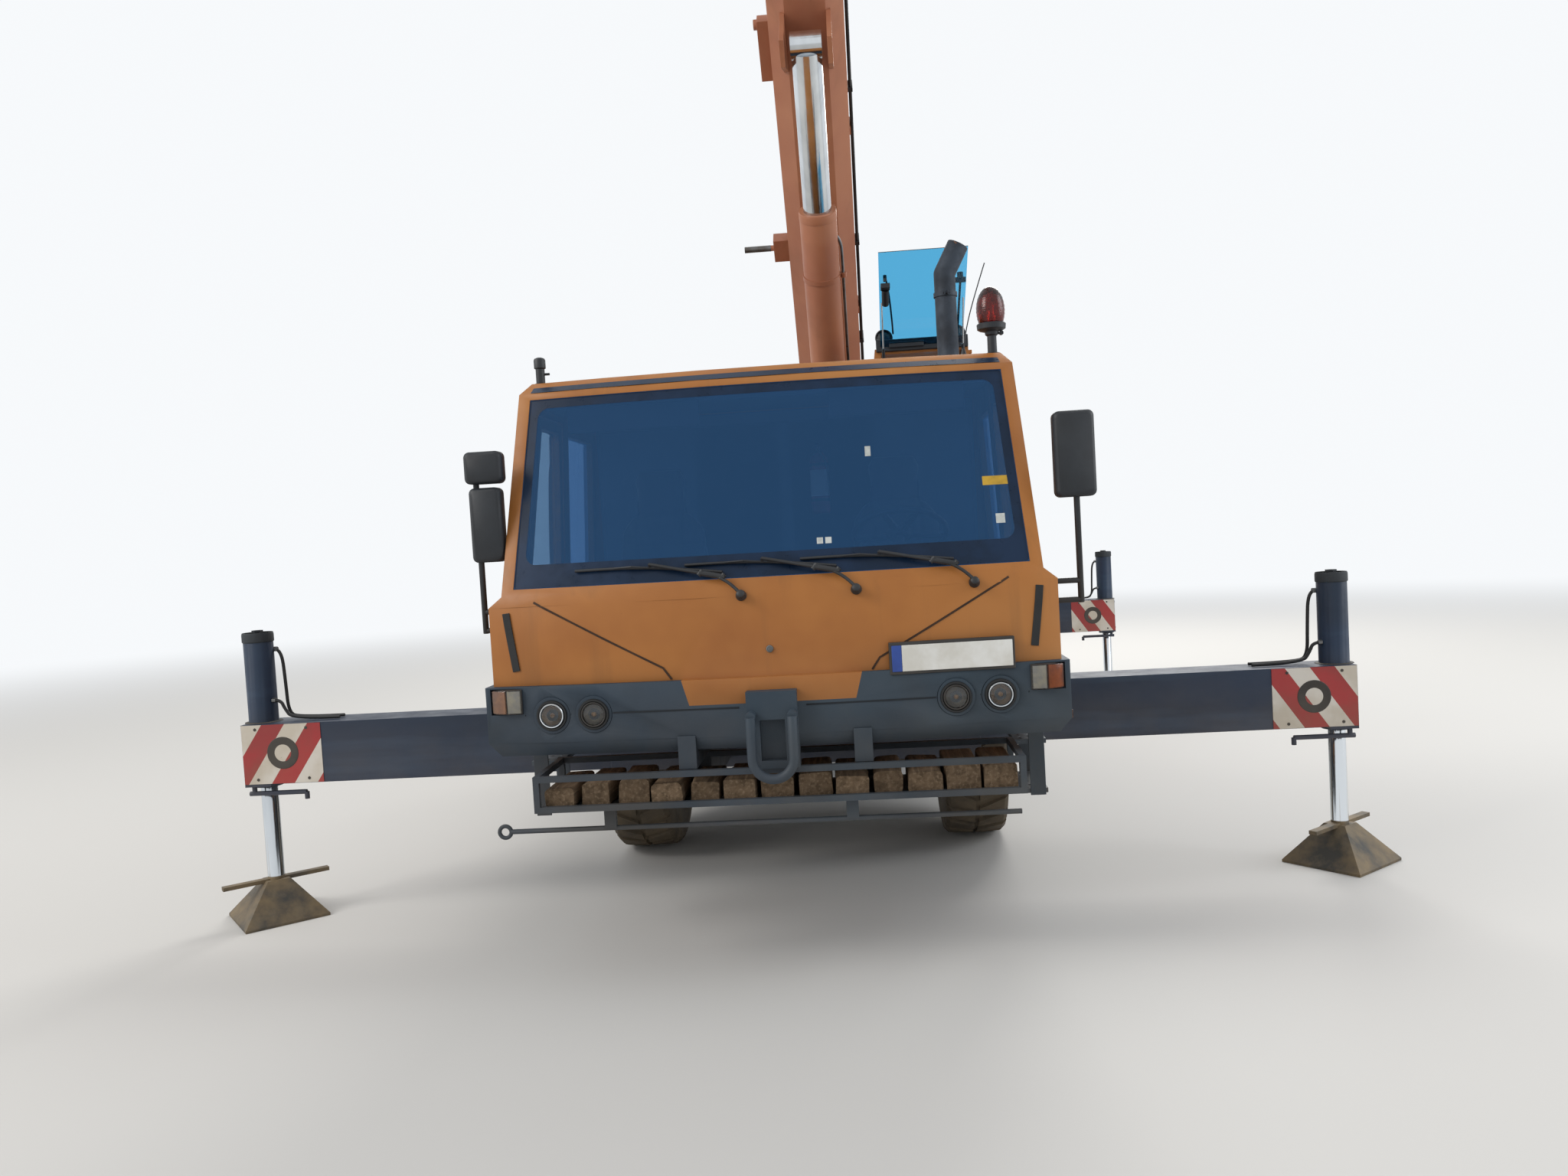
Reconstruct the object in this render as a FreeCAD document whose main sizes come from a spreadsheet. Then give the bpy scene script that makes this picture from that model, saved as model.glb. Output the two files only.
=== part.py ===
import FreeCAD, Part
import math
import os
import re
import Sketcher

# Mobile crane on two axles, in millimetres. It faces -Y, its left side is +X and +Z is up.
# The origin lies on the ground below the middle of the whole machine.
# Setbacks are measured rearward from the bumper's front face, heights from the ground.

# Driving dimensions: name, value, what it measures
SIZES = (
    ("cab_half_width", 1250, "cab below the belt, half its width"),
    ("cab_shoulder_half_width", 1195, "cab just above the belt"),
    ("cab_top_half_width", 1150, "cab at the windscreen's top"),
    ("cab_roof_half_width", 1110, "flat of the roof"),
    ("cab_front_setback", 30, "cab's nose"),
    ("cab_screen_foot_setback", 50, "windscreen's foot"),
    ("cab_screen_head_setback", 390, "windscreen's head"),
    ("cab_roof_front_setback", 480, "front of the flat roof"),
    ("cab_rear_setback", 1850, "cab's rear wall"),
    ("cab_footwell_setback", 1150, "rear of the low footwell"),
    ("cab_bow", 90, "how far the front's middle stands ahead of its corners"),
    ("cab_wall", 45, "thickness of the cab's walls and doors"),
    ("cab_sill_height", 1150, "underside of the footwell"),
    ("cab_rear_floor_height", 1660, "underside of the cab behind the footwell"),
    ("cab_shoulder_height", 1720, "where the sides turn in"),
    ("cab_belt_height", 1767, "windscreen's foot"),
    ("cab_screen_top_height", 2700, "windscreen's head"),
    ("cab_roof_height", 2760, "roof"),
    ("tongue_top_half_width", 420, "nose panel's tongue, at its root"),
    ("tongue_tip_half_width", 360, "nose panel's tongue, at its tip"),
    ("tongue_drop", 110, "how far the tongue hangs into the bumper"),
    ("screen_foot_half_width", 1140, "windscreen's glass at its foot"),
    ("screen_head_half_width", 1095, "windscreen's glass at its head"),
    ("screen_margin", 30, "frame below and above the windscreen's glass"),
    ("glass_thickness", 6, "every pane"),
    ("glass_inset", 8, "panes behind the outer skin"),
    ("door_front_setback", 400, "door's hinge edge"),
    ("door_rear_setback", 1098, "door's lock edge"),
    ("door_bottom_height", 1200, "door's lower edge"),
    ("door_top_height", 2620, "door's upper edge"),
    ("door_lean", 230, "how far the door's front edge leans back at its top"),
    ("door_gap", 8, "gap round the door"),
    ("door_lock_gap", 18, "gap at the lock edge, for the swing"),
    ("hinge_radius", 12, "door's hinge knuckles"),
    ("hinge_tall", 40, "each knuckle"),
    ("hinge_low_height", 1290, "door's lower hinge"),
    ("hinge_high_height", 1590, "door's upper hinge"),
    ("door_frame", 75, "frame round the door's pane"),
    ("quarter_front_setback", 1215, "quarter window's front"),
    ("quarter_rear_setback", 1760, "quarter window's rear"),
    ("side_pane_bottom_height", 1830, "side panes' lower edge"),
    ("side_pane_top_height", 2560, "side panes' upper edge"),
    ("bumper_half_width", 1280, "bumper"),
    ("bumper_foot_half_width", 1180, "bumper's chamfered foot"),
    ("bumper_foot_height", 990, "bumper's lower edge"),
    ("bumper_chamfer_height", 1120, "top of the bumper's chamfer"),
    ("bumper_top_height", 1370, "bumper's upper edge"),
    ("bumper_foot_setback", 70, "bumper's rolled foot"),
    ("bumper_rear_setback", 380, "end of the bumper's side returns"),
    ("lamp_radius", 82, "round front lamps"),
    ("lamp_height", 1240, "round front lamps' centres"),
    ("lamp_outer_place", 975, "outer round lamp from the middle"),
    ("lamp_inner_place", 785, "inner round lamp from the middle"),
    ("lamp_proud", 14, "lamps ahead of the bumper"),
    ("lamp_depth", 36, "lamp bodies"),
    ("indicator_wide", 150, "corner indicator lamps"),
    ("indicator_tall", 115, "corner indicator lamps"),
    ("jaw_wide", 216, "towing jaw's box"),
    ("jaw_tall", 330, "towing jaw's box"),
    ("jaw_top_height", 1315, "towing jaw's upper face"),
    ("jaw_proud", 62, "towing jaw's box ahead of the bumper"),
    ("jaw_bar_radius", 21, "towing jaw's U bar"),
    ("jaw_loop_radius", 88, "bend of the U bar"),
    ("jaw_loop_height", 1040, "centre of the U bar's bend"),
    ("jaw_loop_top_height", 1215, "top of the U bar's legs"),
    ("jaw_loop_proud", 120, "U bar ahead of the bumper"),
    ("rack_half_width", 1060, "rack below the bumper"),
    ("rack_front_setback", -30, "rack's front rail"),
    ("rack_rear_setback", 430, "rack's rear"),
    ("rack_floor_height", 826, "rack's floor, underside"),
    ("rack_bar", 26, "rack's bars"),
    ("rack_rail_height", 985, "rack's upper rail"),
    ("packing_count", 13, "timber blocks in the rack"),
    ("packing_wide", 150, "timber block across the machine"),
    ("packing_tall", 118, "timber block"),
    ("packing_long", 400, "timber block along the machine"),
    ("stowed_bar_radius", 11, "crank bar stowed below the rack"),
    ("stowed_bar_height", 735, "crank bar"),
    ("stowed_bar_length", 2230, "crank bar"),
    ("rail_outer", 420, "chassis rails, outer face from the middle"),
    ("rail_thickness", 80, "chassis rails"),
    ("rail_bottom_height", 800, "chassis rails"),
    ("rail_top_height", 1450, "chassis rails behind the cab"),
    ("nose_rail_top_height", 1130, "chassis rails below the cab"),
    ("rear_end_setback", 7950, "rear end of the machine"),
    ("rear_bumper_depth", 100, "rear crossbeam"),
    ("rear_bumper_half_width", 1200, "rear crossbeam"),
    ("rear_bumper_height", 960, "rear crossbeam's underside"),
    ("rear_bumper_tall", 170, "rear crossbeam"),
    ("slew_setback", 4300, "slewing axis"),
    ("slew_ring_radius", 640, "slewing ring"),
    ("slew_ring_tall", 100, "slewing ring"),
    ("pedestal_drop", 250, "pedestal below the rails' top"),
    ("turn_gap", 0.5, "running gap of faces that turn on each other"),
    ("pin_gap", 0.3, "running gap of pins and shafts"),
    ("front_axle_setback", 2580, "front axle"),
    ("wheelbase", 3680, "front to rear axle"),
    ("tyre_radius", 685, "tyre"),
    ("tyre_half_width", 193, "tyre"),
    ("tyre_tread_half_width", 165, "flat of the tread"),
    ("rim_radius", 318, "rim's outer radius"),
    ("rim_wall", 27, "rim's barrel"),
    ("rim_half_width", 140, "rim"),
    ("hub_radius", 150, "hub"),
    ("wheel_place", 1030, "wheel's centre from the middle"),
    ("kingpin_place", 740, "kingpin from the middle"),
    ("kingpin_radius", 32, "kingpin"),
    ("fork_reach", 205, "axle fork above and below the wheel's centre"),
    ("fork_thickness", 42, "axle fork's ears"),
    ("stub_radius", 50, "stub axle"),
    ("brake_radius", 235, "brake drum"),
    ("axle_tall", 180, "axle beam"),
    ("axle_half_length", 620, "axle beam"),
    ("strut_place", 500, "suspension struts from the middle"),
    ("strut_radius", 55, "suspension struts"),
    ("strut_top_height", 1250, "suspension struts"),
    ("deck_thickness", 15, "deck and mudguards"),
    ("deck_half_width", 1250, "deck"),
    ("guard_half_length", 835, "mudguard each side of the axle"),
    ("guard_flat_half_length", 640, "flat of the mudguard"),
    ("guard_foot_height", 1140, "mudguard's lower edge"),
    ("guard_inner", 640, "mudguard's inner edge"),
    ("locker_bottom_height", 740, "lockers between the axles"),
    ("locker_outer", 1230, "lockers' outer face"),
    ("locker_inner", 700, "lockers' inner face"),
    ("locker_gap", 30, "between lockers"),
    ("tank_radius", 262, "fuel tank"),
    ("engine_length", 1150, "engine block"),
    ("engine_setback", 1980, "engine block"),
    ("stack_place", 985, "exhaust stack from the middle"),
    ("stack_gap", 15, "exhaust silencer behind the cab"),
    ("silencer_radius", 100, "exhaust silencer"),
    ("silencer_top_height", 2420, "exhaust silencer"),
    ("stack_radius", 62, "exhaust pipe"),
    ("stack_bend_height", 3435, "exhaust pipe's bend"),
    ("stack_tip_length", 185, "exhaust pipe above its bend"),
    ("stack_tip_lean", 28, "lean of the exhaust's tip, degrees"),
    ("outrigger_setback", 1178, "front outrigger beam's front face"),
    ("outrigger_base", 5970, "front to rear outriggers"),
    ("outrigger_span", 3030, "beam's outer end from the middle, run out"),
    ("beam_length", 2500, "outrigger beam"),
    ("beam_depth", 250, "outrigger beam, front to rear"),
    ("beam_tall", 330, "outrigger beam"),
    ("beam_bottom_height", 770, "outrigger beam's underside"),
    ("beam_wall", 10, "outrigger beam's wall"),
    ("beam_gap", 6, "beam in its box, front and rear"),
    ("box_wall", 12, "outrigger box's walls"),
    ("box_half_width", 985, "outrigger box"),
    ("jack_inset", 70, "jack's axis inside the beam's end"),
    ("jack_tube_radius", 78, "jack's tube"),
    ("jack_rise", 500, "jack's tube above the beam"),
    ("jack_foot_drop", 28, "jack's tube below the beam"),
    ("jack_rod_radius", 45, "jack's rod"),
    ("pad_side", 440, "jack's foot plate"),
    ("pad_top_side", 120, "top of the foot's pyramid"),
    ("pad_tall", 215, "jack's foot"),
    ("pad_plate", 14, "jack's foot plate"),
    ("pad_turn", 40, "how far the foot is turned, degrees"),
    ("strip_length", 560, "carrying strip across the foot"),
    ("handle_radius", 13, "handle below the beam's end"),
    ("boom_angle", 47, "boom above level, degrees"),
    ("boom_pivot_setback", 5320, "boom's pivot"),
    ("boom_pivot_height", 3100, "boom's pivot"),
    ("boom_place", 240, "boom's middle, to the left of the machine's middle"),
    ("boom_half_width", 255, "boom's base section"),
    ("boom_half_tall", 300, "boom's base section"),
    ("boom_top_chamfer", 45, "upper edges of the sections"),
    ("boom_bottom_chamfer", 120, "lower edges of the sections"),
    ("boom_step", 35, "each section smaller on every side"),
    ("boom_wall", 10, "wall of the sections"),
    ("slide_gap", 0.5, "gap of what slides: boom sections and outrigger beams"),
    ("boom_tail", 280, "base section behind the pivot"),
    ("boom_base_length", 8000, "base section's end from the pivot"),
    ("tele_start", 750, "first telescope's rear end from the pivot"),
    ("tele_step", 220, "each further section's ends"),
    ("collar_length", 120, "collar at a section's end"),
    ("collar_proud", 20, "collar outside its section"),
    ("pad_ring_length", 200, "slide pads at a telescope's rear"),
    ("boom_boss_radius", 120, "boom's pivot boss"),
    ("boom_pin_radius", 60, "boom's pivot pin"),
    ("head_reach", 9000, "head sheaves' axis from the pivot"),
    ("head_drop", 350, "head sheaves' axis below the boom's axis"),
    ("head_radius", 250, "round end of the head's cheeks"),
    ("head_half_width", 170, "head's cheeks"),
    ("head_cheek", 20, "head's cheeks"),
    ("sheave_radius", 205, "head sheaves"),
    ("sheave_half_width", 105, "head sheaves' pack"),
    ("guide_rise", 195, "upper guide sheave above the boom's axis"),
    ("guide_radius", 150, "upper guide sheave"),
    ("luff_base_setback", 5000, "luffing cylinder's foot"),
    ("luff_base_height", 1950, "luffing cylinder's foot"),
    ("luff_eye_reach", 3300, "rod's eye along the boom"),
    ("luff_eye_drop", 660, "rod's eye below the boom's axis"),
    ("luff_barrel_length", 2860, "luffing cylinder's barrel"),
    ("luff_barrel_radius", 130, "luffing cylinder's barrel"),
    ("luff_rod_radius", 98, "luffing cylinder's rod"),
    ("luff_rod_length", 2050, "rod from its eye to its inner end"),
    ("luff_eye_radius", 85, "rod's eye"),
    ("luff_eye_half_width", 100, "rod's eye"),
    ("luff_lug_thickness", 32, "lugs on the boom"),
    ("luff_lug_gap", 36, "lug beside the eye, so that the barrel passes"),
    ("luff_foot_radius", 120, "barrel's foot"),
    ("luff_pin_radius", 48, "barrel's foot pin"),
    ("cheek_inner", 275, "turntable's side plates, inner face"),
    ("cheek_thickness", 60, "turntable's side plates"),
    ("table_thickness", 100, "turntable's base plate"),
    ("table_half_width", 620, "turntable's base plate"),
    ("table_front_setback", 3500, "turntable's base plate"),
    ("table_rear_setback", 5950, "turntable's base plate"),
    ("tail_radius", 2320, "counterweight's swing"),
    ("weight_front_setback", 5980, "counterweight"),
    ("weight_half_width", 1120, "counterweight"),
    ("weight_bottom_height", 1700, "counterweight"),
    ("weight_top_height", 2480, "counterweight"),
    ("winch_setback", 5960, "winch's shaft"),
    ("winch_height", 2780, "winch's shaft"),
    ("winch_radius", 150, "winch's drum"),
    ("winch_flange_radius", 215, "winch's flanges"),
    ("winch_half_width", 240, "winch"),
    ("winch_shaft_radius", 40, "winch's shaft"),
    ("house_inner", 585, "crane cab's inner side"),
    ("house_outer", 1235, "crane cab's outer side"),
    ("house_front_setback", 3300, "crane cab"),
    ("house_rear_setback", 4900, "crane cab"),
    ("house_bottom_height", 1660, "crane cab"),
    ("house_top_height", 3230, "crane cab"),
    ("house_wall", 40, "crane cab's walls"),
    ("house_pane_share", 0.46, "height of the side panes' foot, as a share of the crane cab's height"),
    ("house_door_front_setback", 3420, "crane cab's doorway"),
    ("house_door_rear_setback", 4080, "crane cab's doorway"),
    ("house_door_travel", 640, "crane cab's sliding door"),
    ("runner_wide", 32, "runners of the crane cab's door, outside its wall"),
    ("runner_tall", 26, "runners of the crane cab's door"),
    ("house_pane_length", 870, "swung-up front pane"),
    ("house_pane_rise", 36, "swung-up front pane above level, degrees"),
    ("mirror_setback", 250, "mirrors"),
    ("mirror_depth", 90, "mirror heads"),
    ("mirror_left_place", 1370, "left mirror's tube from the middle"),
    ("mirror_right_place", 1310, "right mirrors' tube from the middle"),
    ("mirror_foot_height", 1600, "lower end of the mirror tubes"),
    ("mirror_tube_length", 800, "mirror tubes"),
    ("mirror_tube_radius", 14, "mirror tubes"),
    ("mirror_arm_pitch", 85, "between a mirror's two arms"),
    ("beacon_place", 1080, "beacon from the middle"),
    ("beacon_setback", 620, "beacon"),
    ("beacon_radius", 66, "beacon's dome"),
    ("beacon_stem_length", 135, "beacon's stem"),
    ("beacon_tall", 185, "beacon's lamp"),
    ("seat_place", 600, "seats from the middle"),
    ("seat_half_width", 250, "seats"),
    ("seat_setback", 620, "seats"),
    ("seat_depth", 470, "seats"),
    ("seat_thickness", 110, "seat cushions"),
    ("seat_height", 1690, "seat cushions' top"),
    ("seat_back_tall", 680, "seat backs above the cushion"),
    ("dash_half_width", 1080, "dashboard"),
    ("dash_front_setback", 250, "dashboard"),
    ("dash_rear_setback", 470, "dashboard"),
    ("dash_bottom_height", 1500, "dashboard"),
    ("dash_top_height", 1800, "dashboard"),
    ("steering_column_lean", 30, "steering column, degrees from upright"),
    ("steering_column_length", 220, "steering column"),
    ("steering_wheel_radius", 215, "steering wheel"),
    ("steering_wheel_grip", 14, "steering wheel's rim"),
    ("bottle_place", 200, "fire bottle from the middle"),
    ("bottle_radius", 55, "fire bottle"),
    ("bottle_height", 2080, "fire bottle's foot"),
    ("bottle_tall", 400, "fire bottle"),
    ("pane_hinge_radius", 12, "front pane's hinge"),
    ("bracket_low_reach", 1550, "lower bracket on the boom's side"),
    ("bracket_high_reach", 3070, "upper bracket on the boom's side"),
    ("bracket_wide", 120, "lower bracket outside the boom"),
    ("jib_pin_radius", 22, "pin of the lower bracket"),
    ("jib_pin_length", 225, "pin of the lower bracket"),
    ("hook_drop", 1500, "hook block's sheave below the head's axis"),
    ("rope_radius", 8, "hoist rope"),
    ("block_sheave_radius", 160, "hook block's sheaves"),
    ("block_half_width", 95, "hook block"),
    ("hook_bar_radius", 34, "hook"),
    ("hook_throat_radius", 72, "hook's throat"),
)

VALUES = {name: value for name, value, meaning in SIZES}


def reach_of(along, below, angle):
    """Forward and upward distance from the boom's pivot of a point on the boom."""
    slope = math.radians(angle)
    forward = along * math.cos(slope) + below * math.sin(slope)
    upward = along * math.sin(slope) - below * math.cos(slope)
    return forward, upward


# The bumper's place puts the origin at the middle of the machine's length: the boom's head leads in front.
head_forward, head_upward = reach_of(VALUES["head_reach"], VALUES["head_drop"], VALUES["boom_angle"])
foremost = VALUES["boom_pivot_setback"] - head_forward - VALUES["head_radius"]
VALUES["nose"] = -(foremost + VALUES["rear_end_setback"]) / 2

# The luffing cylinder at rest points from its foot to the rod's eye.
eye_forward, eye_upward = reach_of(VALUES["luff_eye_reach"], VALUES["luff_eye_drop"], VALUES["boom_angle"])
luff_forward = eye_forward + VALUES["luff_base_setback"] - VALUES["boom_pivot_setback"]
luff_upward = eye_upward + VALUES["boom_pivot_height"] - VALUES["luff_base_height"]
VALUES["luff_length"] = math.hypot(luff_forward, luff_upward)
VALUES["luff_angle"] = math.degrees(math.atan2(luff_upward, luff_forward))

# Where the head sheaves' axis stands at rest, which carries the hook block.
VALUES["head_setback"] = VALUES["boom_pivot_setback"] - head_forward
VALUES["head_height"] = VALUES["boom_pivot_height"] + head_upward

doc = FreeCAD.newDocument("MobileCrane")
sheet = doc.addObject("Spreadsheet::Sheet", "Sizes")
MEANINGS = {name: meaning for name, value, meaning in SIZES}
for row, (name, value) in enumerate(VALUES.items(), start=1):
    sheet.set(f"A{row}", MEANINGS.get(name, "worked out from the sizes above"))
    sheet.set(f"B{row}", str(value))
    sheet.setAlias(f"B{row}", name)
doc.recompute()


def size(name):
    """A size as the sheet holds it."""
    return float(sheet.get(name))


def linked(text):
    """The same formula with every size read from the sheet."""
    text = str(text)
    return re.sub(r"[a-z_]+",
                  lambda word: "Sizes." + word.group() if word.group() in VALUES else word.group(), text)


def bind(item, **formulas):
    """Binds an object's properties to formulas of the sheet; a double underscore stands for a dot."""
    for name, text in formulas.items():
        item.setExpression(name.replace("__", "."), linked(text))
    return item


def put(item, x="0", y="0", z="0"):
    """Binds an object's place."""
    return bind(item, Placement__Base__x=x, Placement__Base__y=y, Placement__Base__z=z)


AXIS_TURNS = {
    "X": FreeCAD.Rotation(FreeCAD.Vector(0, 1, 0), 90),
    "Y": FreeCAD.Rotation(FreeCAD.Vector(1, 0, 0), -90),
    "Z": FreeCAD.Rotation(),
}


def block(name, low, high):
    """A box from its lowest to its highest corner, each given as three formulas."""
    item = doc.addObject("Part::Box", name)
    put(item, *low)
    spans = [f"({top}) - ({bottom})" for bottom, top in zip(low, high)]
    return bind(item, Length=spans[0], Width=spans[1], Height=spans[2])


def bar(name, start, along, radius, length):
    """A round bar from its start along X, Y or Z."""
    item = doc.addObject("Part::Cylinder", name)
    item.Placement = FreeCAD.Placement(FreeCAD.Vector(), AXIS_TURNS[along])
    put(item, *start)
    return bind(item, Radius=radius, Height=length)


def outline_in(body, plane, points, offset):
    """A sketch of straight lines whose corners are bound to the sheet, on one of the body's planes."""
    sketch = body.newObject("Sketcher::SketchObject", body.Name + "_outline")
    planes = [item for item in body.Origin.OriginFeatures if item.Role == plane + "_Plane"]
    sketch.AttachmentSupport = [(planes[0], "")]
    sketch.MapMode = "FlatFace"
    bind(sketch, AttachmentOffset__Base__z=offset)
    corners = [[float(sketch.evalExpression(linked(text))) for text in point] for point in points]
    count = len(corners)
    for index in range(count):
        following = corners[(index + 1) % count]
        line = Part.LineSegment(FreeCAD.Vector(*corners[index], 0), FreeCAD.Vector(*following, 0))
        sketch.addGeometry(line, False)
    for index in range(count):
        sketch.addConstraint(Sketcher.Constraint("Coincident", index, 2, (index + 1) % count, 1))
    for index, point in enumerate(points):
        for kind, text, value in zip(("DistanceX", "DistanceY"), point, corners[index]):
            number = sketch.addConstraint(Sketcher.Constraint(kind, -1, 1, index, 1, value))
            sketch.setExpression(f"Constraints[{number}]", linked(text))
    return sketch


def slab(name, plane, points, start, thickness):
    """A flat piece: an outline padded from its start along the plane's normal.

    The normal is +X for YZ, -Y for XZ and +Z for XY.
    """
    body = doc.addObject("PartDesign::Body", name)
    pad = body.newObject("PartDesign::Pad", name + "_pad")
    pad.Profile = outline_in(body, plane, points, start)
    bind(pad, Length=thickness)
    return body


def turned(name, points, x, y, z):
    """A piece turned about an axis along X; its outline gives places along the axis and radii."""
    body = doc.addObject("PartDesign::Body", name)
    sketch = outline_in(body, "XY", points, "0")
    turn = body.newObject("PartDesign::Revolution", name + "_turn")
    turn.Profile = sketch
    turn.ReferenceAxis = (sketch, ["H_Axis"])
    turn.Angle = 360
    return put(body, x, y, z)


def fused(name, pieces):
    """One solid of several pieces that meet."""
    item = doc.addObject("Part::MultiFuse", name)
    item.Shapes = pieces
    item.Refine = True
    return item


def less(name, base, tools):
    """A piece with holes or room cut out of it."""
    item = doc.addObject("Part::Cut", name)
    item.Base = base
    item.Tool = tools[0] if len(tools) == 1 else fused(name + "_room", tools)
    item.Refine = True
    return item


def shared(name, first, second):
    """What two pieces have in common."""
    item = doc.addObject("Part::MultiCommon", name)
    item.Shapes = [first, second]
    return item


def group(name, pieces):
    """Several pieces as one node."""
    item = doc.addObject("Part::Compound", name)
    item.Links = pieces
    return item


def made(name, shape):
    """A shape that is worked out from the sheet's sizes by formula."""
    item = doc.addObject("Part::Feature", name)
    item.Shape = shape
    return item


def mirrored(name, source):
    """The same piece on the machine's other side."""
    item = doc.addObject("Part::Mirroring", name)
    item.Source = source
    item.Normal = (1, 0, 0)
    item.Base = (0, 0, 0)
    return item


NODES = {}


def node(label, item):
    """Takes an object as one of the machine's pieces, which is written to its own file."""
    item.Label = label
    NODES[label] = item
    return item


# Cab. Its levels are bowed outlines: height, half width, front setback
CAB_LEVELS = (
    ("cab_sill_height", "cab_half_width", "cab_front_setback"),
    ("cab_shoulder_height", "cab_half_width", "cab_front_setback"),
    ("cab_belt_height", "cab_shoulder_half_width", "cab_screen_foot_setback"),
    ("cab_screen_top_height", "cab_top_half_width", "cab_screen_head_setback"),
    ("cab_roof_height", "cab_roof_half_width", "cab_roof_front_setback"),
)


def bowed_level(height, half_width, front, rear):
    """A level outline with a bowed front, straight sides and a straight rear."""
    nose = size("nose")
    bow = size("cab_bow")
    right = FreeCAD.Vector(-half_width, nose + front + bow, height)
    left = FreeCAD.Vector(half_width, nose + front + bow, height)
    middle = FreeCAD.Vector(0, nose + front, height)
    rear_right = FreeCAD.Vector(-half_width, nose + rear, height)
    rear_left = FreeCAD.Vector(half_width, nose + rear, height)
    front_edge = Part.Arc(right, middle, left).toShape()
    sides = [Part.makeLine(left, rear_left), Part.makeLine(rear_left, rear_right),
             Part.makeLine(rear_right, right)]
    return Part.Wire([front_edge] + sides)


def bowed_solid(levels, rear):
    """A solid through bowed levels, each a height, a half width and a front setback."""
    return Part.makeLoft([bowed_level(height, half, front, rear) for height, half, front in levels], True,
                         True)


def cab_solid(inset):
    """The cab's outer form, moved inwards on every side."""
    levels = [[size(height), size(half) - inset, size(front) + inset] for height, half, front in CAB_LEVELS]
    levels[0][0] += inset
    levels[-1][0] -= inset
    return bowed_solid(levels, size("cab_rear_setback") - inset)


def cab_form(name, inset):
    """The cab's form with the room under its rear part, where the retracted jacks stand, left out."""
    room = block(name + "_jack_room",
                 (f"-cab_half_width - cab_wall", f"nose + cab_footwell_setback - {inset}", "0"),
                 (f"cab_half_width + cab_wall", "nose + cab_rear_setback + cab_wall",
                  f"cab_rear_floor_height + {inset}"))
    return less(name, made(name + "_full", cab_solid(float(sheet.evalExpression(linked(inset))))), [room])


def screen_prism(name):
    """The windscreen's opening, seen from the front."""
    return slab(name, "XZ",
                (("-screen_foot_half_width", "cab_belt_height + screen_margin"),
                 ("screen_foot_half_width", "cab_belt_height + screen_margin"),
                 ("screen_head_half_width", "cab_screen_top_height - screen_margin"),
                 ("-screen_head_half_width", "cab_screen_top_height - screen_margin")),
                "-nose - cab_screen_head_setback - cab_bow - 3 * cab_wall",
                "cab_screen_head_setback + 2 * cab_bow + 6 * cab_wall")


def side_prism(name, front, rear, lean, low, high, start, across):
    """A side window's or door's outline, seen from the side, across the machine."""
    return slab(name, "YZ",
                ((f"nose + {front}", low), (f"nose + {rear}", low), (f"nose + {rear}", high),
                 (f"nose + {front} + {lean}", high), (f"nose + {front}", "side_pane_bottom_height")),
                start, across)


def window_prism(name, front, rear, start, across):
    """An upright side window with four corners."""
    return slab(name, "YZ",
                ((f"nose + {front}", "side_pane_bottom_height"),
                 (f"nose + {rear}", "side_pane_bottom_height"),
                 (f"nose + {rear}", "side_pane_top_height"), (f"nose + {front}", "side_pane_top_height")),
                start, across)


def door_pane_prism(name, start, across):
    """The door's pane, with its front edge leaning as the door's does."""
    return slab(name, "YZ",
                (("nose + door_front_setback + door_frame", "side_pane_bottom_height"),
                 ("nose + door_rear_setback - door_frame", "side_pane_bottom_height"),
                 ("nose + door_rear_setback - door_frame", "side_pane_top_height"),
                 ("nose + door_front_setback + door_frame + door_lean", "side_pane_top_height")),
                start, across)


# What is cut from a side wall alone starts this far inside it and ends outside it
SIDE_DEPTH = "4.5 * cab_wall"
SIDE_STARTS = {"left": "cab_half_width - 3.5 * cab_wall", "right": "-cab_half_width - cab_wall"}

cab_outside = cab_form("cab_outside", "0")
cab_inside = cab_form("cab_inside", "cab_wall")
cab_walls = less("cab_walls", cab_outside, [cab_inside])
cab_openings = [
    screen_prism("screen_opening"),
    window_prism("quarter_openings", "quarter_front_setback", "quarter_rear_setback",
                 "-cab_half_width - cab_wall", "2 * cab_half_width + 2 * cab_wall"),
    side_prism("door_opening_left", "door_front_setback", "door_rear_setback", "door_lean",
               "door_bottom_height", "door_top_height", SIDE_STARTS["left"], SIDE_DEPTH),
    side_prism("door_opening_right", "door_front_setback", "door_rear_setback", "door_lean",
               "door_bottom_height", "door_top_height", SIDE_STARTS["right"], SIDE_DEPTH),
]
bumper_levels = (
    (size("bumper_foot_height"), size("bumper_half_width"), size("bumper_foot_setback")),
    (size("bumper_chamfer_height"), size("bumper_half_width"), 0.0),
    (size("bumper_top_height"), size("bumper_half_width"), 0.0),
)
bumper_full = made("bumper_full", bowed_solid(bumper_levels, size("bumper_rear_setback")))
tongue_prism = slab("tongue_prism", "XZ",
                    (("-tongue_tip_half_width", "bumper_top_height - tongue_drop"),
                     ("tongue_tip_half_width", "bumper_top_height - tongue_drop"),
                     ("tongue_top_half_width", "bumper_top_height + tongue_drop"),
                     ("-tongue_top_half_width", "bumper_top_height + tongue_drop")),
                    "-nose - cab_front_setback - cab_bow", "2 * cab_bow")
bumper_core_levels = (
    (size("bumper_foot_height") - size("tongue_drop"), size("cab_half_width"), size("cab_front_setback")),
    (size("bumper_top_height") + size("tongue_drop"), size("cab_half_width"), size("cab_front_setback")),
)
bumper_core = made("bumper_core", bowed_solid(bumper_core_levels, size("cab_rear_setback")))
bumper_skin = less("bumper_skin", bumper_full, [bumper_core])
cab_tongue = shared("cab_tongue", bumper_skin, tongue_prism)


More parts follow.
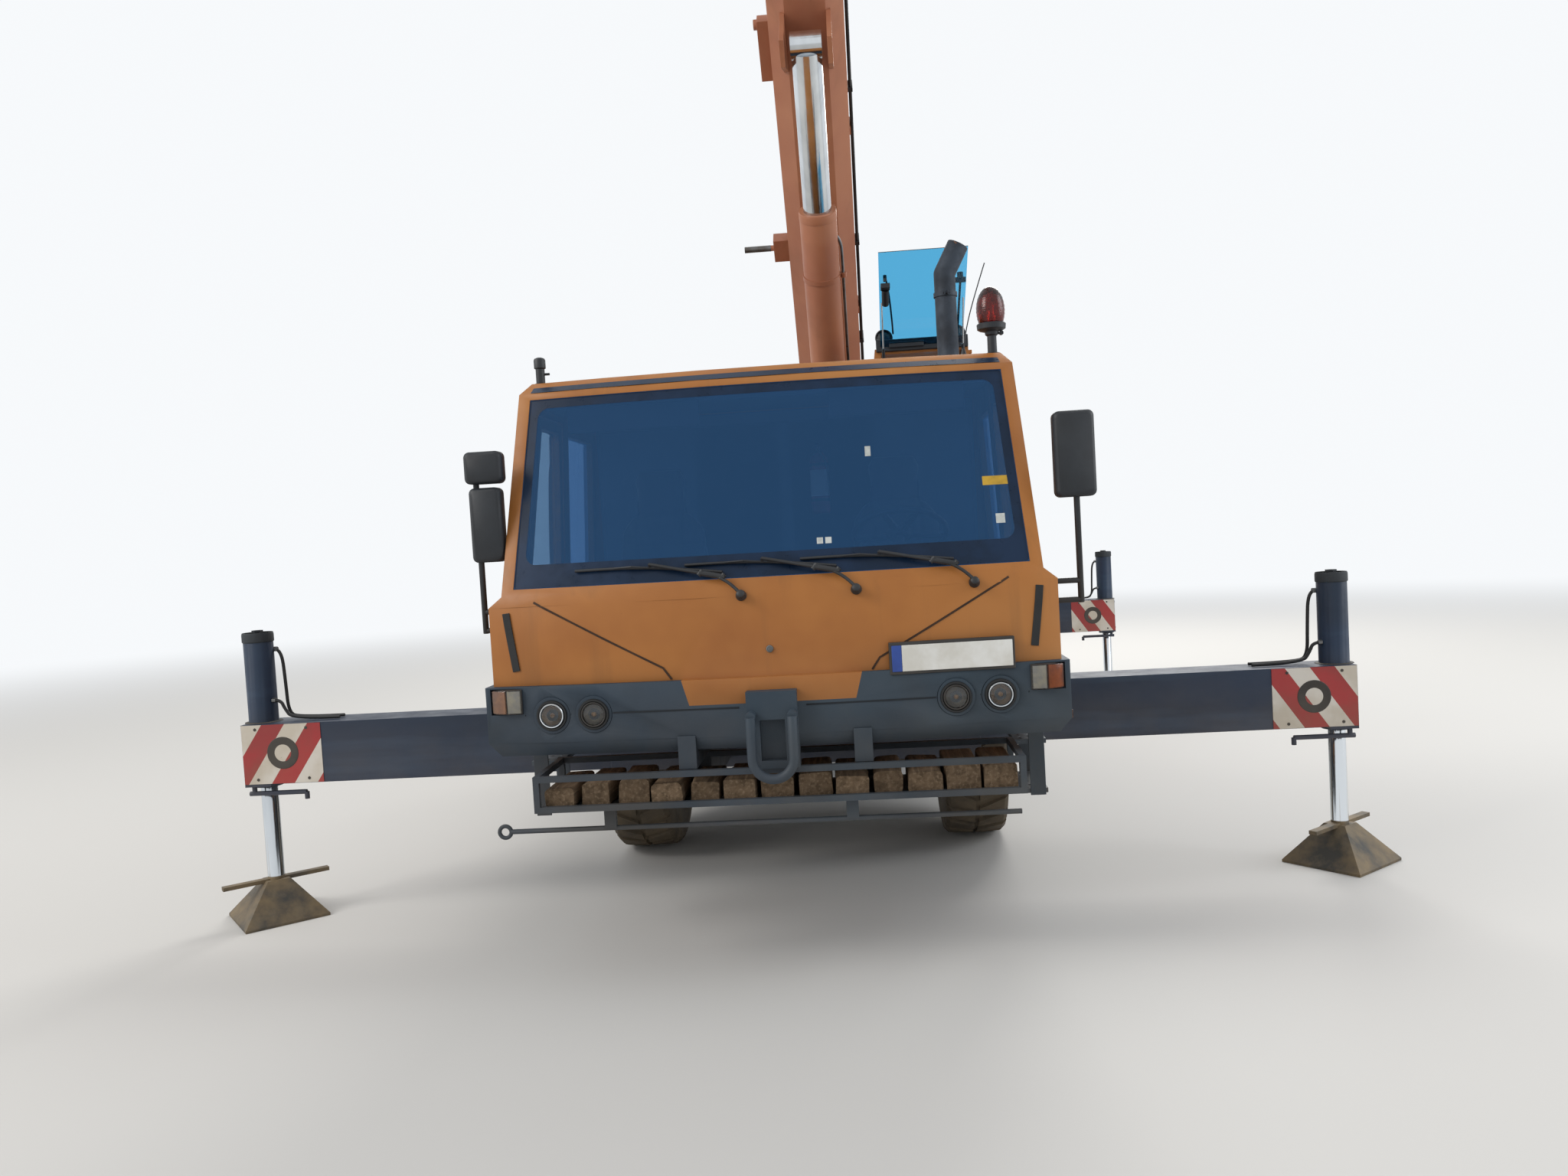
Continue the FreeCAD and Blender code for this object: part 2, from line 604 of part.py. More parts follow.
def hinge_knuckle(name, side, height, reach):
    """Half a hinge: a knuckle on the door's axis, an arm to the shell (reach -1) or the door (reach 1)."""
    sign = 1 if side == "left" else -1
    axis_y = "nose + door_front_setback + door_gap"
    knuckle = bar(name + "_knuckle", (f"{sign} * cab_half_width", axis_y, height), "Z", "hinge_radius",
                  "hinge_tall")
    low, high = ("cab_half_width - 1", "cab_half_width + hinge_radius")
    if sign < 0:
        low, high = f"-({high})", f"-({low})"
    front, rear = (f"{axis_y} - 2 * hinge_radius", axis_y)
    if reach > 0:
        front, rear = (axis_y, f"{axis_y} + 2 * hinge_radius")
    return fused(name,
                 [knuckle, block(name + "_arm", (low, front, height),
                                 (high, rear, f"{height} + hinge_tall"))])


def hinge_room(name, side, height):
    """Room round a knuckle in the other half's wall."""
    sign = 1 if side == "left" else -1
    return bar(name, (f"{sign} * cab_half_width", "nose + door_front_setback + door_gap",
                      f"{height} - turn_gap"), "Z",
               "hinge_radius + turn_gap", "hinge_tall + 2 * turn_gap")


HINGES = (("low", "hinge_low_height"), ("high", "hinge_high_height"))
shell_knuckles = []
shell_hinge_rooms = []
for side in SIDE_STARTS:
    for level, height in HINGES:
        shell_knuckles.append(hinge_knuckle(f"shell_hinge_{side}_{level}", side, height, -1))
        shell_hinge_rooms.append(hinge_room(f"shell_hinge_room_{side}_{level}", side,
                                            f"{height} + hinge_tall + turn_gap"))
cab_pierced = less("cab_pierced", cab_walls, cab_openings + shell_hinge_rooms)
node("cab_shell", fused("cab_body", [cab_pierced, cab_tongue] + shell_knuckles))

# Panes of the cab, flush in their frames
pane_outside = cab_form("pane_outside", "glass_inset")
pane_inside = cab_form("pane_inside", "(glass_inset + glass_thickness)")
pane_skin = less("pane_skin", pane_outside, [pane_inside])
cab_pane_prisms = group("cab_pane_prisms", [
    screen_prism("screen_pane"),
    window_prism("quarter_panes", "quarter_front_setback", "quarter_rear_setback",
                 "-cab_half_width - cab_wall", "2 * cab_half_width + 2 * cab_wall"),
])
node("cab_glass", shared("cab_panes", pane_skin, cab_pane_prisms))

# Doors: pieces of the same wall, with a gap all round
for side, start in SIDE_STARTS.items():
    prism = side_prism(f"door_{side}_prism", "(door_front_setback + door_gap)",
                       "(door_rear_setback - door_lock_gap)",
                       "door_lean", "door_bottom_height + door_gap", "door_top_height - door_gap",
                       start, SIDE_DEPTH)
    leaf = shared(f"door_{side}_leaf", cab_walls, prism)
    rooms = [hinge_room(f"door_hinge_room_{side}_{level}", side, height) for level, height in HINGES]
    knuckles = [hinge_knuckle(f"door_hinge_{side}_{level}", side, f"{height} + hinge_tall + turn_gap", 1)
                for level, height in HINGES]
    panel = less(f"door_{side}_panel", leaf,
                 [door_pane_prism(f"door_{side}_window", start, SIDE_DEPTH)] + rooms)
    node(f"door_{side}", fused(f"door_{side}_hinged", [panel] + knuckles))
    pane = door_pane_prism(f"door_{side}_pane_prism", start, SIDE_DEPTH)
    node(f"door_{side}_glass", shared(f"door_{side}_pane", pane_skin, pane))

# Bumper with its towing jaw; the lamps sit in holes through it
LAMP_PLACES = ("lamp_outer_place", "lamp_inner_place", "-lamp_outer_place", "-lamp_inner_place")


def bow_at(place):
    """How far the bowed front lies behind its middle at a distance from it."""
    return f"cab_bow * ({place}) * ({place}) / (bumper_half_width * bumper_half_width)"


def lamp_body(name, place, shrink):
    """A round lamp's body at its place in the bumper."""
    return bar(name, (place, f"nose + {bow_at(place)} - lamp_proud", "lamp_height"), "Y",
               f"lamp_radius - {shrink}", "lamp_depth")


def indicator(name, side):
    """A corner indicator lamp; side is 1 on the left and -1 on the right."""
    low, high = ("bumper_half_width - indicator_wide", "bumper_half_width - cab_wall / 2")
    if side < 0:
        low, high = f"-({high})", f"-({low})"
    front = "nose + cab_bow - indicator_wide / 4"
    inner_share = "((bumper_half_width - indicator_wide) / cab_half_width)"
    rear = f"nose + cab_front_setback + cab_bow * {inner_share} ^ 2 - turn_gap"
    return block(name, (low, front, "bumper_top_height - indicator_tall - glass_inset"),
                 (high, rear, "bumper_top_height - glass_inset"))


lamp_holes = [lamp_body(f"lamp_hole_{index}", place, "0") for index, place in enumerate(LAMP_PLACES)]
lamp_holes += [indicator("indicator_hole_left", 1), indicator("indicator_hole_right", -1)]
bumper_chamfers = [
    slab(f"bumper_chamfer_{side}", "XZ",
         ((f"{sign} * bumper_foot_half_width", "bumper_foot_height - cab_wall"),
          (f"{sign} * (bumper_half_width + cab_wall)", "bumper_foot_height - cab_wall"),
          (f"{sign} * (bumper_half_width + cab_wall)", "bumper_chamfer_height"),
          (f"{sign} * bumper_half_width", "bumper_chamfer_height"),
          (f"{sign} * bumper_foot_half_width", "bumper_foot_height")),
         "-nose - bumper_rear_setback - cab_wall", "bumper_rear_setback + 3 * cab_wall")
    for side, sign in (("left", 1), ("right", -1))
]
jaw_box = block("jaw_box", ("-jaw_wide / 2", "nose - jaw_proud", "jaw_top_height - jaw_tall"),
                ("jaw_wide / 2", "nose + cab_front_setback", "jaw_top_height"))
jaw_mouth = block("jaw_mouth", ("-jaw_wide / 4", "nose - jaw_proud - 1",
                                "jaw_loop_height - jaw_bar_radius"),
                  ("jaw_wide / 4", "nose - jaw_bar_radius", "jaw_loop_top_height - jaw_bar_radius"))


def jaw_loop():
    """The U bar that hangs ahead of the jaw, and the pin that holds it."""
    radius = size("jaw_loop_radius")
    plane_y = size("nose") - size("jaw_loop_proud")
    bottom = FreeCAD.Vector(0, plane_y, size("jaw_loop_height"))
    top = size("jaw_loop_top_height")
    ends = [FreeCAD.Vector(sign * radius, plane_y, top) for sign in (1, -1)]
    starts = [FreeCAD.Vector(sign * radius, plane_y, bottom.z) for sign in (1, -1)]
    low_point = bottom - FreeCAD.Vector(0, 0, radius)
    path = Part.Wire([Part.makeLine(ends[0], starts[0]),
                      Part.Arc(starts[0], low_point, starts[1]).toShape(),
                      Part.makeLine(starts[1], ends[1])])
    ring = Part.Wire(Part.makeCircle(size("jaw_bar_radius"), ends[0], FreeCAD.Vector(0, 0, -1)))
    return path.makePipeShell([ring], True, True)


jaw_pins = [bar(f"jaw_pin_{side}", (f"{sign} * jaw_loop_radius", "nose - jaw_loop_proud",
                                    "jaw_loop_top_height"),
                "Y", "jaw_bar_radius", "jaw_loop_proud")
            for side, sign in (("left", 1), ("right", -1))]
bumper_plain = less("bumper_plain", bumper_skin, [tongue_prism] + lamp_holes + bumper_chamfers)
jaw = less("jaw", jaw_box, [jaw_mouth, cab_tongue])
node("front_bumper", fused("bumper", [bumper_plain, jaw, made("jaw_loop", jaw_loop())] + jaw_pins))

lamp_bodies = [lamp_body(f"lamp_{index}", place, "0") for index, place in enumerate(LAMP_PLACES)]
lamp_bodies += [indicator("indicator_left", 1), indicator("indicator_right", -1)]
for side, sign in (("left", 1), ("right", -1)):
    low, high = ("rear_bumper_half_width - 3 * indicator_wide",
                 "rear_bumper_half_width - indicator_wide / 4")
    if sign < 0:
        low, high = f"-({high})", f"-({low})"
    lamp_bodies.append(block(f"rear_lamp_{side}",
                             (low, "nose + rear_end_setback - lamp_proud",
                              "rear_bumper_height + 2 * lamp_proud"),
                             (high, "nose + rear_end_setback",
                              "rear_bumper_height + 2 * lamp_proud + indicator_tall")))
node("lamps", group("lamp_set", lamp_bodies))

# Rack below the bumper, with its packing blocks and the stowed crank bar
rack_parts = [
    block("rack_floor", ("-rack_half_width", "nose + rack_front_setback", "rack_floor_height"),
          ("rack_half_width", "nose + rack_rear_setback", "rack_floor_height + glass_thickness")),
    block("rack_front_rail", ("-rack_half_width", "nose + rack_front_setback",
                              "rack_rail_height - rack_bar"),
          ("rack_half_width", "nose + rack_front_setback + rack_bar", "rack_rail_height")),
    block("rack_front_foot", ("-rack_half_width", "nose + rack_front_setback", "rack_floor_height"),
          ("rack_half_width", "nose + rack_front_setback + rack_bar", "rack_floor_height + rack_bar")),
]
for side, sign in (("left", 1), ("right", -1)):
    low, high = ("rack_half_width - rack_bar", "rack_half_width")
    if sign < 0:
        low, high = "-rack_half_width", "-rack_half_width + rack_bar"
    rack_parts.append(block(f"rack_post_{side}", (low, "nose + rack_front_setback", "rack_floor_height"),
                            (high, "nose + rack_front_setback + rack_bar", "rack_rail_height")))
    rack_parts.append(block(f"rack_side_{side}",
                            (low, "nose + rack_front_setback", "rack_rail_height - rack_bar"),
                            (high, "nose + rack_rear_setback", "rack_rail_height")))
    rack_parts.append(block(f"rack_rear_post_{side}",
                            (low, "nose + rack_rear_setback - rack_bar", "rack_floor_height"),
                            (high, "nose + rack_rear_setback", "rack_rail_height")))
rack_parts.append(block("rack_rear_beam", ("-rack_half_width", "nose + rack_rear_setback - rack_bar",
                                           "rack_rail_height - rack_bar"),
                        ("rack_half_width", "nose + rack_rear_setback", "rack_rail_height")))
hanger_places = (("right", "-rack_half_width * 0.7"), ("left", "rack_half_width * 0.3"))
for side, place in hanger_places:
    rack_parts.append(block(f"bar_hanger_{side}",
                            (f"{place} - rack_bar", "nose + rack_bar", "stowed_bar_height"),
                            (f"{place} + rack_bar", "nose + 2 * rack_bar", "rack_floor_height")))
rack_parts.append(bar("stowed_bar", ("-rack_half_width - 5 * rack_bar", "nose + rack_bar * 1.5",
                                     "stowed_bar_height"), "X",
                      "stowed_bar_radius", "stowed_bar_length"))
bar_ring = doc.addObject("Part::Torus", "bar_ring")
bar_ring.Placement = FreeCAD.Placement(FreeCAD.Vector(), AXIS_TURNS["Y"])
put(bar_ring, "-rack_half_width - 6 * rack_bar", "nose + rack_bar * 1.5", "stowed_bar_height")
bind(bar_ring, Radius1="rack_bar", Radius2="stowed_bar_radius * 0.8")
rack_parts.append(bar_ring)
node("front_rack", fused("rack", rack_parts))

packing = []
for index in range(int(size("packing_count"))):
    pitch = "((2 * rack_half_width - 2 * rack_bar) / packing_count)"
    low = f"-rack_half_width + rack_bar + {pitch} * {index} + ({pitch} - packing_wide) / 2"
    packing.append(block(f"packing_{index}", (low, "nose + rack_front_setback + 1.5 * rack_bar",
                                              "rack_floor_height + glass_thickness"),
                         (f"{low} + packing_wide",
                          "nose + rack_front_setback + 1.5 * rack_bar + packing_long",
                          "rack_floor_height + glass_thickness + packing_tall")))
node("packing_blocks", group("packing", packing))

# Mirrors on tubes at the cab's front corners: head centres x, low and high heights, half widths
MIRROR_HEADS = (
    ("left", 1365, 2065, 2440, 88),
    ("right", 1265, 2280, 2425, 86),
    ("right", 1265, 1925, 2262, 72),
)
mirror_parts = []
for index, (side, place, low, high, half) in enumerate(MIRROR_HEADS):
    sign = 1 if side == "left" else -1
    centre = f"{sign} * {place}"
    mirror_parts.append(block(f"mirror_head_{index}",
                              (f"{centre} - {half}", "nose + mirror_setback - mirror_depth / 2", str(low)),
                              (f"{centre} + {half}", "nose + mirror_setback + mirror_depth / 2",
                               str(high))))
for side, sign, place in (("left", 1, "mirror_left_place"), ("right", -1, "mirror_right_place")):
    mirror_parts.append(bar(f"mirror_tube_{side}",
                            (f"{sign} * {place}", "nose + mirror_setback", "mirror_foot_height"), "Z",
                            "mirror_tube_radius", "mirror_tube_length"))
    for level, lift in (("low", "0"), ("high", "mirror_arm_pitch")):
        start = "cab_half_width" if sign > 0 else f"-{place}"
        mirror_parts.append(bar(f"mirror_arm_{side}_{level}",
                                (start, "nose + mirror_setback",
                                 f"mirror_foot_height + mirror_tube_radius + {lift}"),
                                "X", "mirror_tube_radius", f"{place} - cab_half_width"))
node("mirrors", group("mirror_set", [
    fused("mirror_left",
          [part for part in mirror_parts if "left" in part.Name or part.Name == "mirror_head_0"]),
    fused("mirror_right", [part for part in mirror_parts
                           if "right" in part.Name or part.Name in ("mirror_head_1", "mirror_head_2")]),
]))

# Beacon and the roof's other post
beacon_parts = [
    bar("beacon_stem", ("beacon_place", "nose + beacon_setback", "cab_roof_height"), "Z",
        "beacon_radius / 3",
        "beacon_stem_length"),
    bar("beacon_lamp", ("beacon_place", "nose + beacon_setback", "cab_roof_height + beacon_stem_length"),
        "Z",
        "beacon_radius", "beacon_tall - beacon_radius"),
]
beacon_dome = doc.addObject("Part::Sphere", "beacon_dome")
put(beacon_dome, "beacon_place", "nose + beacon_setback",
    "cab_roof_height + beacon_stem_length + beacon_tall - beacon_radius")
bind(beacon_dome, Radius="beacon_radius")
roof_post = bar("roof_post", ("-beacon_place", "nose + beacon_setback", "cab_roof_height"), "Z",
                "beacon_radius / 3",
                "beacon_stem_length")
node("beacon", group("roof_fittings", [fused("beacon_body", beacon_parts + [beacon_dome]), roof_post]))

# Inside the cab: two seats, dashboard with steering wheel, fire bottle
inside = []
for side, sign in (("left", 1), ("right", -1)):
    centre = f"{sign} * seat_place"
    inside.append(fused(f"seat_{side}", [
        block(f"seat_{side}_base", (f"{centre} - seat_half_width / 2", "nose + seat_setback",
                                    "cab_sill_height + cab_wall"),
              (f"{centre} + seat_half_width / 2", "nose + seat_setback + seat_depth / 2",
               "seat_height - seat_thickness")),
        block(f"seat_{side}_cushion", (f"{centre} - seat_half_width",
                                       "nose + seat_setback - seat_thickness",
                                       "seat_height - seat_thickness"),
              (f"{centre} + seat_half_width", "nose + seat_setback + seat_depth - seat_thickness",
               "seat_height")),
        block(f"seat_{side}_back", (f"{centre} - seat_half_width",
                                    "nose + seat_setback + seat_depth - seat_thickness",
                                    "seat_height - seat_thickness"),
              (f"{centre} + seat_half_width", "nose + seat_setback + seat_depth",
               "seat_height + seat_back_tall")),
    ]))
dash = block("dash", ("-dash_half_width", "nose + dash_front_setback", "dash_bottom_height"),
             ("dash_half_width", "nose + dash_rear_setback", "dash_top_height"))
dash_leg = block("dash_leg", ("-seat_half_width", "nose + dash_front_setback",
                              "cab_sill_height + cab_wall"),
                 ("seat_half_width", "nose + dash_rear_setback - cab_wall", "dash_bottom_height"))
column = bar("steering_column", ("seat_place", "nose + dash_rear_setback - cab_wall",
                                 "dash_top_height - cab_wall"),
             "Z", "steering_wheel_grip * 1.5", "steering_column_length")
column.Placement.Rotation = FreeCAD.Rotation(FreeCAD.Vector(1, 0, 0), -size("steering_column_lean"))
wheel_ring = doc.addObject("Part::Torus", "steering_wheel")
bind(wheel_ring, Radius1="steering_wheel_radius", Radius2="steering_wheel_grip")
wheel_spoke = block("steering_spoke", ("-steering_wheel_radius", "-steering_wheel_grip",
                                       "-steering_wheel_grip"),
                    ("steering_wheel_radius", "steering_wheel_grip", "steering_wheel_grip"))
steering_wheel = fused("steering_wheel_body", [wheel_ring, wheel_spoke])
steering_wheel.Placement = FreeCAD.Placement(
    FreeCAD.Vector(), FreeCAD.Rotation(FreeCAD.Vector(1, 0, 0), -size("steering_column_lean")))
put(steering_wheel, "seat_place",
    "nose + dash_rear_setback - cab_wall + steering_column_length * sin(steering_column_lean)",
    "dash_top_height - cab_wall + steering_column_length * cos(steering_column_lean)")
inside.append(fused("dashboard", [dash, dash_leg, column, steering_wheel]))
inside.append(bar("fire_bottle", ("bottle_place", "nose + cab_rear_setback - cab_wall - bottle_radius",
                                  "bottle_height"),
                  "Z", "bottle_radius", "bottle_tall"))
node("cab_interior", group("cab_fittings", inside))

# Chassis: rails, outrigger boxes, pedestal and rear crossbeam
FRONT_BOX = "outrigger_setback - beam_gap - box_wall"
BOX_DEPTH = "(2 * beam_depth + 4 * beam_gap + 3 * box_wall)"
BEAM_PITCH = "(beam_depth + 2 * beam_gap + box_wall)"
REAR_BOX = f"{FRONT_BOX} + outrigger_base"


def outrigger_box(name, front):
    """A box with two cells side by side, open at both ends."""
    bottom = "beam_bottom_height - slide_gap - box_wall"
    top = "beam_bottom_height + beam_tall + slide_gap + box_wall"
    body = block(name, ("-box_half_width", f"nose + {front}", bottom),
                 ("box_half_width", f"nose + {front} + {BOX_DEPTH}", top))
    cells = []
    for index in range(2):
        start = f"nose + {front} + box_wall + {index} * {BEAM_PITCH}"
        cells.append(block(f"{name}_cell_{index}", ("-box_half_width - 1", start, f"{bottom} + box_wall"),
                           ("box_half_width + 1", f"{start} + beam_depth + 2 * beam_gap",
                            f"{top} - box_wall")))
    return less(name + "_hollow", body, cells)


def rail(name, front, rear, top, bottom="rail_bottom_height"):
    """Both chassis rails over a stretch of the machine."""
    pieces = []
    for side, sign in (("left", 1), ("right", -1)):
        low, high = ("rail_outer - rail_thickness", "rail_outer")
        if sign < 0:
            low, high = "-rail_outer", "-(rail_outer - rail_thickness)"
        pieces.append(block(f"{name}_{side}", (low, f"nose + {front}", bottom),
                            (high, f"nose + {rear}", top)))
    return pieces


def crossmember(name, setback, low, high, length="2 * rail_thickness"):
    """A member from rail to rail."""
    return block(name, ("-rail_outer", f"nose + {setback}", low),
                 ("rail_outer", f"nose + {setback} + {length}", high))


node("outrigger_box_front", outrigger_box("front_box", FRONT_BOX))
node("outrigger_box_rear", outrigger_box("rear_box", REAR_BOX))
frame_parts = rail("nose_tip", "0", "rack_rear_setback", "nose_rail_top_height", "rack_rail_height")
frame_parts += rail("nose_rail", "rack_rear_setback", FRONT_BOX, "nose_rail_top_height")
frame_parts += rail("main_rail", f"{FRONT_BOX} + {BOX_DEPTH}", REAR_BOX, "rail_top_height")
frame_parts += rail("tail_rail", f"{REAR_BOX} + {BOX_DEPTH}", "rear_end_setback - rear_bumper_depth",
                    "nose_rail_top_height")
frame_parts += [
    crossmember("engine_cross_front", "engine_setback + rail_thickness", "rail_bottom_height",
                "rail_bottom_height + cab_wall"),
    crossmember("engine_cross_rear", "engine_setback + engine_length - 2 * rail_thickness",
                "rail_bottom_height", "rail_bottom_height + cab_wall"),
    crossmember("rear_cross", "front_axle_setback + wheelbase - rail_thickness",
                "rail_bottom_height + rail_thickness", "rail_top_height - rail_thickness"),
    bar("pedestal", ("0", "nose + slew_setback", "rail_top_height - pedestal_drop"), "Z",
        "slew_ring_radius + 20", "pedestal_drop"),
    block("rear_crossbeam", ("-rear_bumper_half_width", "nose + rear_end_setback - rear_bumper_depth",
                             "rear_bumper_height"),
          ("rear_bumper_half_width", "nose + rear_end_setback - lamp_proud",
           "rear_bumper_height + rear_bumper_tall")),
]
AXLES = (("front", "front_axle_setback"), ("rear", "(front_axle_setback + wheelbase)"))
for end, setback in AXLES:
    for side, sign in (("left", 1), ("right", -1)):
        low, high = ("rail_outer", "strut_place + strut_radius")
        if sign < 0:
            low, high = "-strut_place - strut_radius", "-rail_outer"
        frame_parts.append(block(f"strut_bracket_{end}_{side}",
                                 (low, f"nose + {setback} - strut_radius", "strut_top_height"),
                                 (high, f"nose + {setback} + strut_radius", "rail_top_height - cab_wall")))
for side, sign in (("left", 1), ("right", -1)):
    frame_parts.append(block(f"cab_mount_{side}",
                             (f"{sign} * rail_outer - cab_wall", f"nose + {FRONT_BOX} + {BOX_DEPTH}",
                              "rail_top_height"),
                             (f"{sign} * rail_outer + cab_wall", "nose + cab_rear_setback",
                              "cab_rear_floor_height")))
    frame_parts.append(block(f"cab_foot_{side}",
                             (f"{sign} * rail_outer - cab_wall",
                              "nose + cab_footwell_setback - 3 * cab_wall",
                              "nose_rail_top_height"),
                             (f"{sign} * rail_outer + cab_wall", "nose + cab_footwell_setback - cab_wall",
                              "cab_sill_height")))
node("chassis_frame", less("chassis", fused("chassis_whole", frame_parts),
                           [bumper_skin, jaw_box, cab_tongue]))

node("slew_ring", bar("slewing_ring", ("0", "nose + slew_setback", "rail_top_height"), "Z",
                      "slew_ring_radius", "slew_ring_tall"))

node("engine_block", block("engine",
                           ("-rail_outer + rail_thickness + glass_inset", "nose + engine_setback",
                            "rail_bottom_height + cab_wall"),
                           ("rail_outer - rail_thickness - glass_inset",
                            "nose + engine_setback + engine_length",
                            "rail_top_height - cab_wall / 2")))

# Deck and mudguards over the wheels
deck_plate = block("deck_plate", ("-deck_half_width", f"nose + {FRONT_BOX} + {BOX_DEPTH} + 2 * cab_wall",
                                  "rail_top_height"),
                   ("deck_half_width", f"nose + {REAR_BOX}", "rail_top_height + deck_thickness"))
deck_hole = bar("deck_hole", ("0", "nose + slew_setback", "rail_top_height - 1"), "Z",
                "slew_ring_radius + 20",
                "deck_thickness + 2")
mount_room = block("mount_room", ("-rail_outer - cab_wall", f"nose + {FRONT_BOX}", "rail_top_height - 1"),
                   ("rail_outer + cab_wall", "nose + cab_rear_setback",
                    "rail_top_height + deck_thickness + 1"))
node("deck", less("deck_flat", deck_plate, [deck_hole, mount_room]))
guard_parts = []
for end, setback in AXLES:
    for slope, sense in (("front", -1), ("rear", 1)):
        flat = f"nose + {setback} + {sense} * guard_flat_half_length"
        foot = f"nose + {setback} + {sense} * guard_half_length"
        for side, start in (("left", "guard_inner"), ("right", "-deck_half_width")):
            guard_parts.append(slab(f"guard_{end}_{slope}_{side}", "YZ",
                                   ((flat, "rail_top_height"), (flat, "rail_top_height + deck_thickness"),
                                    (f"{foot} + {sense} * deck_thickness", "guard_foot_height"),
                                    (foot, "guard_foot_height")),
                                   start, "deck_half_width - guard_inner"))
node("mudguards", less("guards", group("guard_slopes", guard_parts), [deck_plate]))

# Lockers and fuel tank between the axles, on brackets from the rails
LOCKER_FRONT = "(front_axle_setback + guard_half_length + 2 * deck_thickness)"
LOCKER_REAR = "(front_axle_setback + wheelbase - guard_half_length - 2 * deck_thickness)"
LOCKER_LENGTH = f"({LOCKER_REAR} - {LOCKER_FRONT})"
lockers = [
    block("locker_left", ("locker_inner", f"nose + {LOCKER_FRONT}", "locker_bottom_height"),
          ("locker_outer", f"nose + {LOCKER_FRONT} + {LOCKER_LENGTH} * 0.4",
           "rail_top_height - locker_gap")),
    bar("fuel_tank", ("(locker_inner + locker_outer) / 2",
                      f"nose + {LOCKER_FRONT} + {LOCKER_LENGTH} * 0.4 + locker_gap",
                      "(locker_bottom_height + rail_top_height) / 2"),
        "Y", "tank_radius", f"{LOCKER_LENGTH} * 0.6 - locker_gap"),
    block("locker_right_front", ("-locker_outer", f"nose + {LOCKER_FRONT}", "locker_bottom_height"),
          ("-locker_inner", f"nose + {LOCKER_FRONT} + {LOCKER_LENGTH} * 0.55",
           "rail_top_height - locker_gap")),
    block("locker_right_rear",
          ("-locker_outer", f"nose + {LOCKER_FRONT} + {LOCKER_LENGTH} * 0.55 + locker_gap",
                                "locker_bottom_height + 4 * locker_gap"),
          ("-locker_inner", f"nose + {LOCKER_REAR}", "rail_top_height - locker_gap")),
]
locker_sets = []
for side, sign in (("left", 1), ("right", -1)):
    low, high = ("rail_outer", "locker_inner + locker_gap")
    if sign < 0:
        low, high = "-locker_inner - locker_gap", "-rail_outer"
    brackets = [block(f"locker_bracket_{side}_{index}",
                      (low, f"nose + {LOCKER_FRONT} + {LOCKER_LENGTH} * {share}",
                       "rail_bottom_height + 3 * locker_gap"),
                      (high, f"nose + {LOCKER_FRONT} + {LOCKER_LENGTH} * {share} + 3 * locker_gap",
                       "rail_top_height - pedestal_drop - locker_gap"))
                for index, share in enumerate((0.15, 0.7))]
    beam = block(f"locker_beam_{side}",
                 (low if sign < 0 else "locker_inner - 3 * locker_gap", f"nose + {LOCKER_FRONT}",
                  "rail_bottom_height + 4 * locker_gap"),
                 ("-locker_inner + 3 * locker_gap" if sign < 0 else high, f"nose + {LOCKER_REAR}",
                  "rail_bottom_height + 7 * locker_gap"))
    boxes = [item for item in lockers if side in item.Name or (side == "left" and item.Name == "fuel_tank")]
    locker_sets.append(fused(f"lockers_{side}", boxes + brackets + [beam]))
node("side_lockers", group("locker_groups", locker_sets))

# Exhaust stack behind the cab
stack_y = "nose + cab_rear_setback + stack_gap + silencer_radius"
stack_tip = bar("stack_tip", ("stack_place", stack_y, "stack_bend_height"), "Z", "stack_radius",
                "stack_tip_length")
stack_tip.Placement.Rotation = FreeCAD.Rotation(FreeCAD.Vector(0, 1, 0), 1)
bind(stack_tip, Placement__Rotation__Angle="stack_tip_lean")
stack_bend = doc.addObject("Part::Sphere", "stack_bend")
put(stack_bend, "stack_place", stack_y, "stack_bend_height")
bind(stack_bend, Radius="stack_radius")
node("exhaust_stack", fused("exhaust", [
    bar("silencer", ("stack_place", stack_y, "rail_top_height + deck_thickness"), "Z", "silencer_radius",
        "silencer_top_height - rail_top_height - deck_thickness"),
    bar("stack_pipe", ("stack_place", stack_y, "silencer_top_height"), "Z", "stack_radius",
        "stack_bend_height - silencer_top_height"),
    stack_bend, stack_tip]))

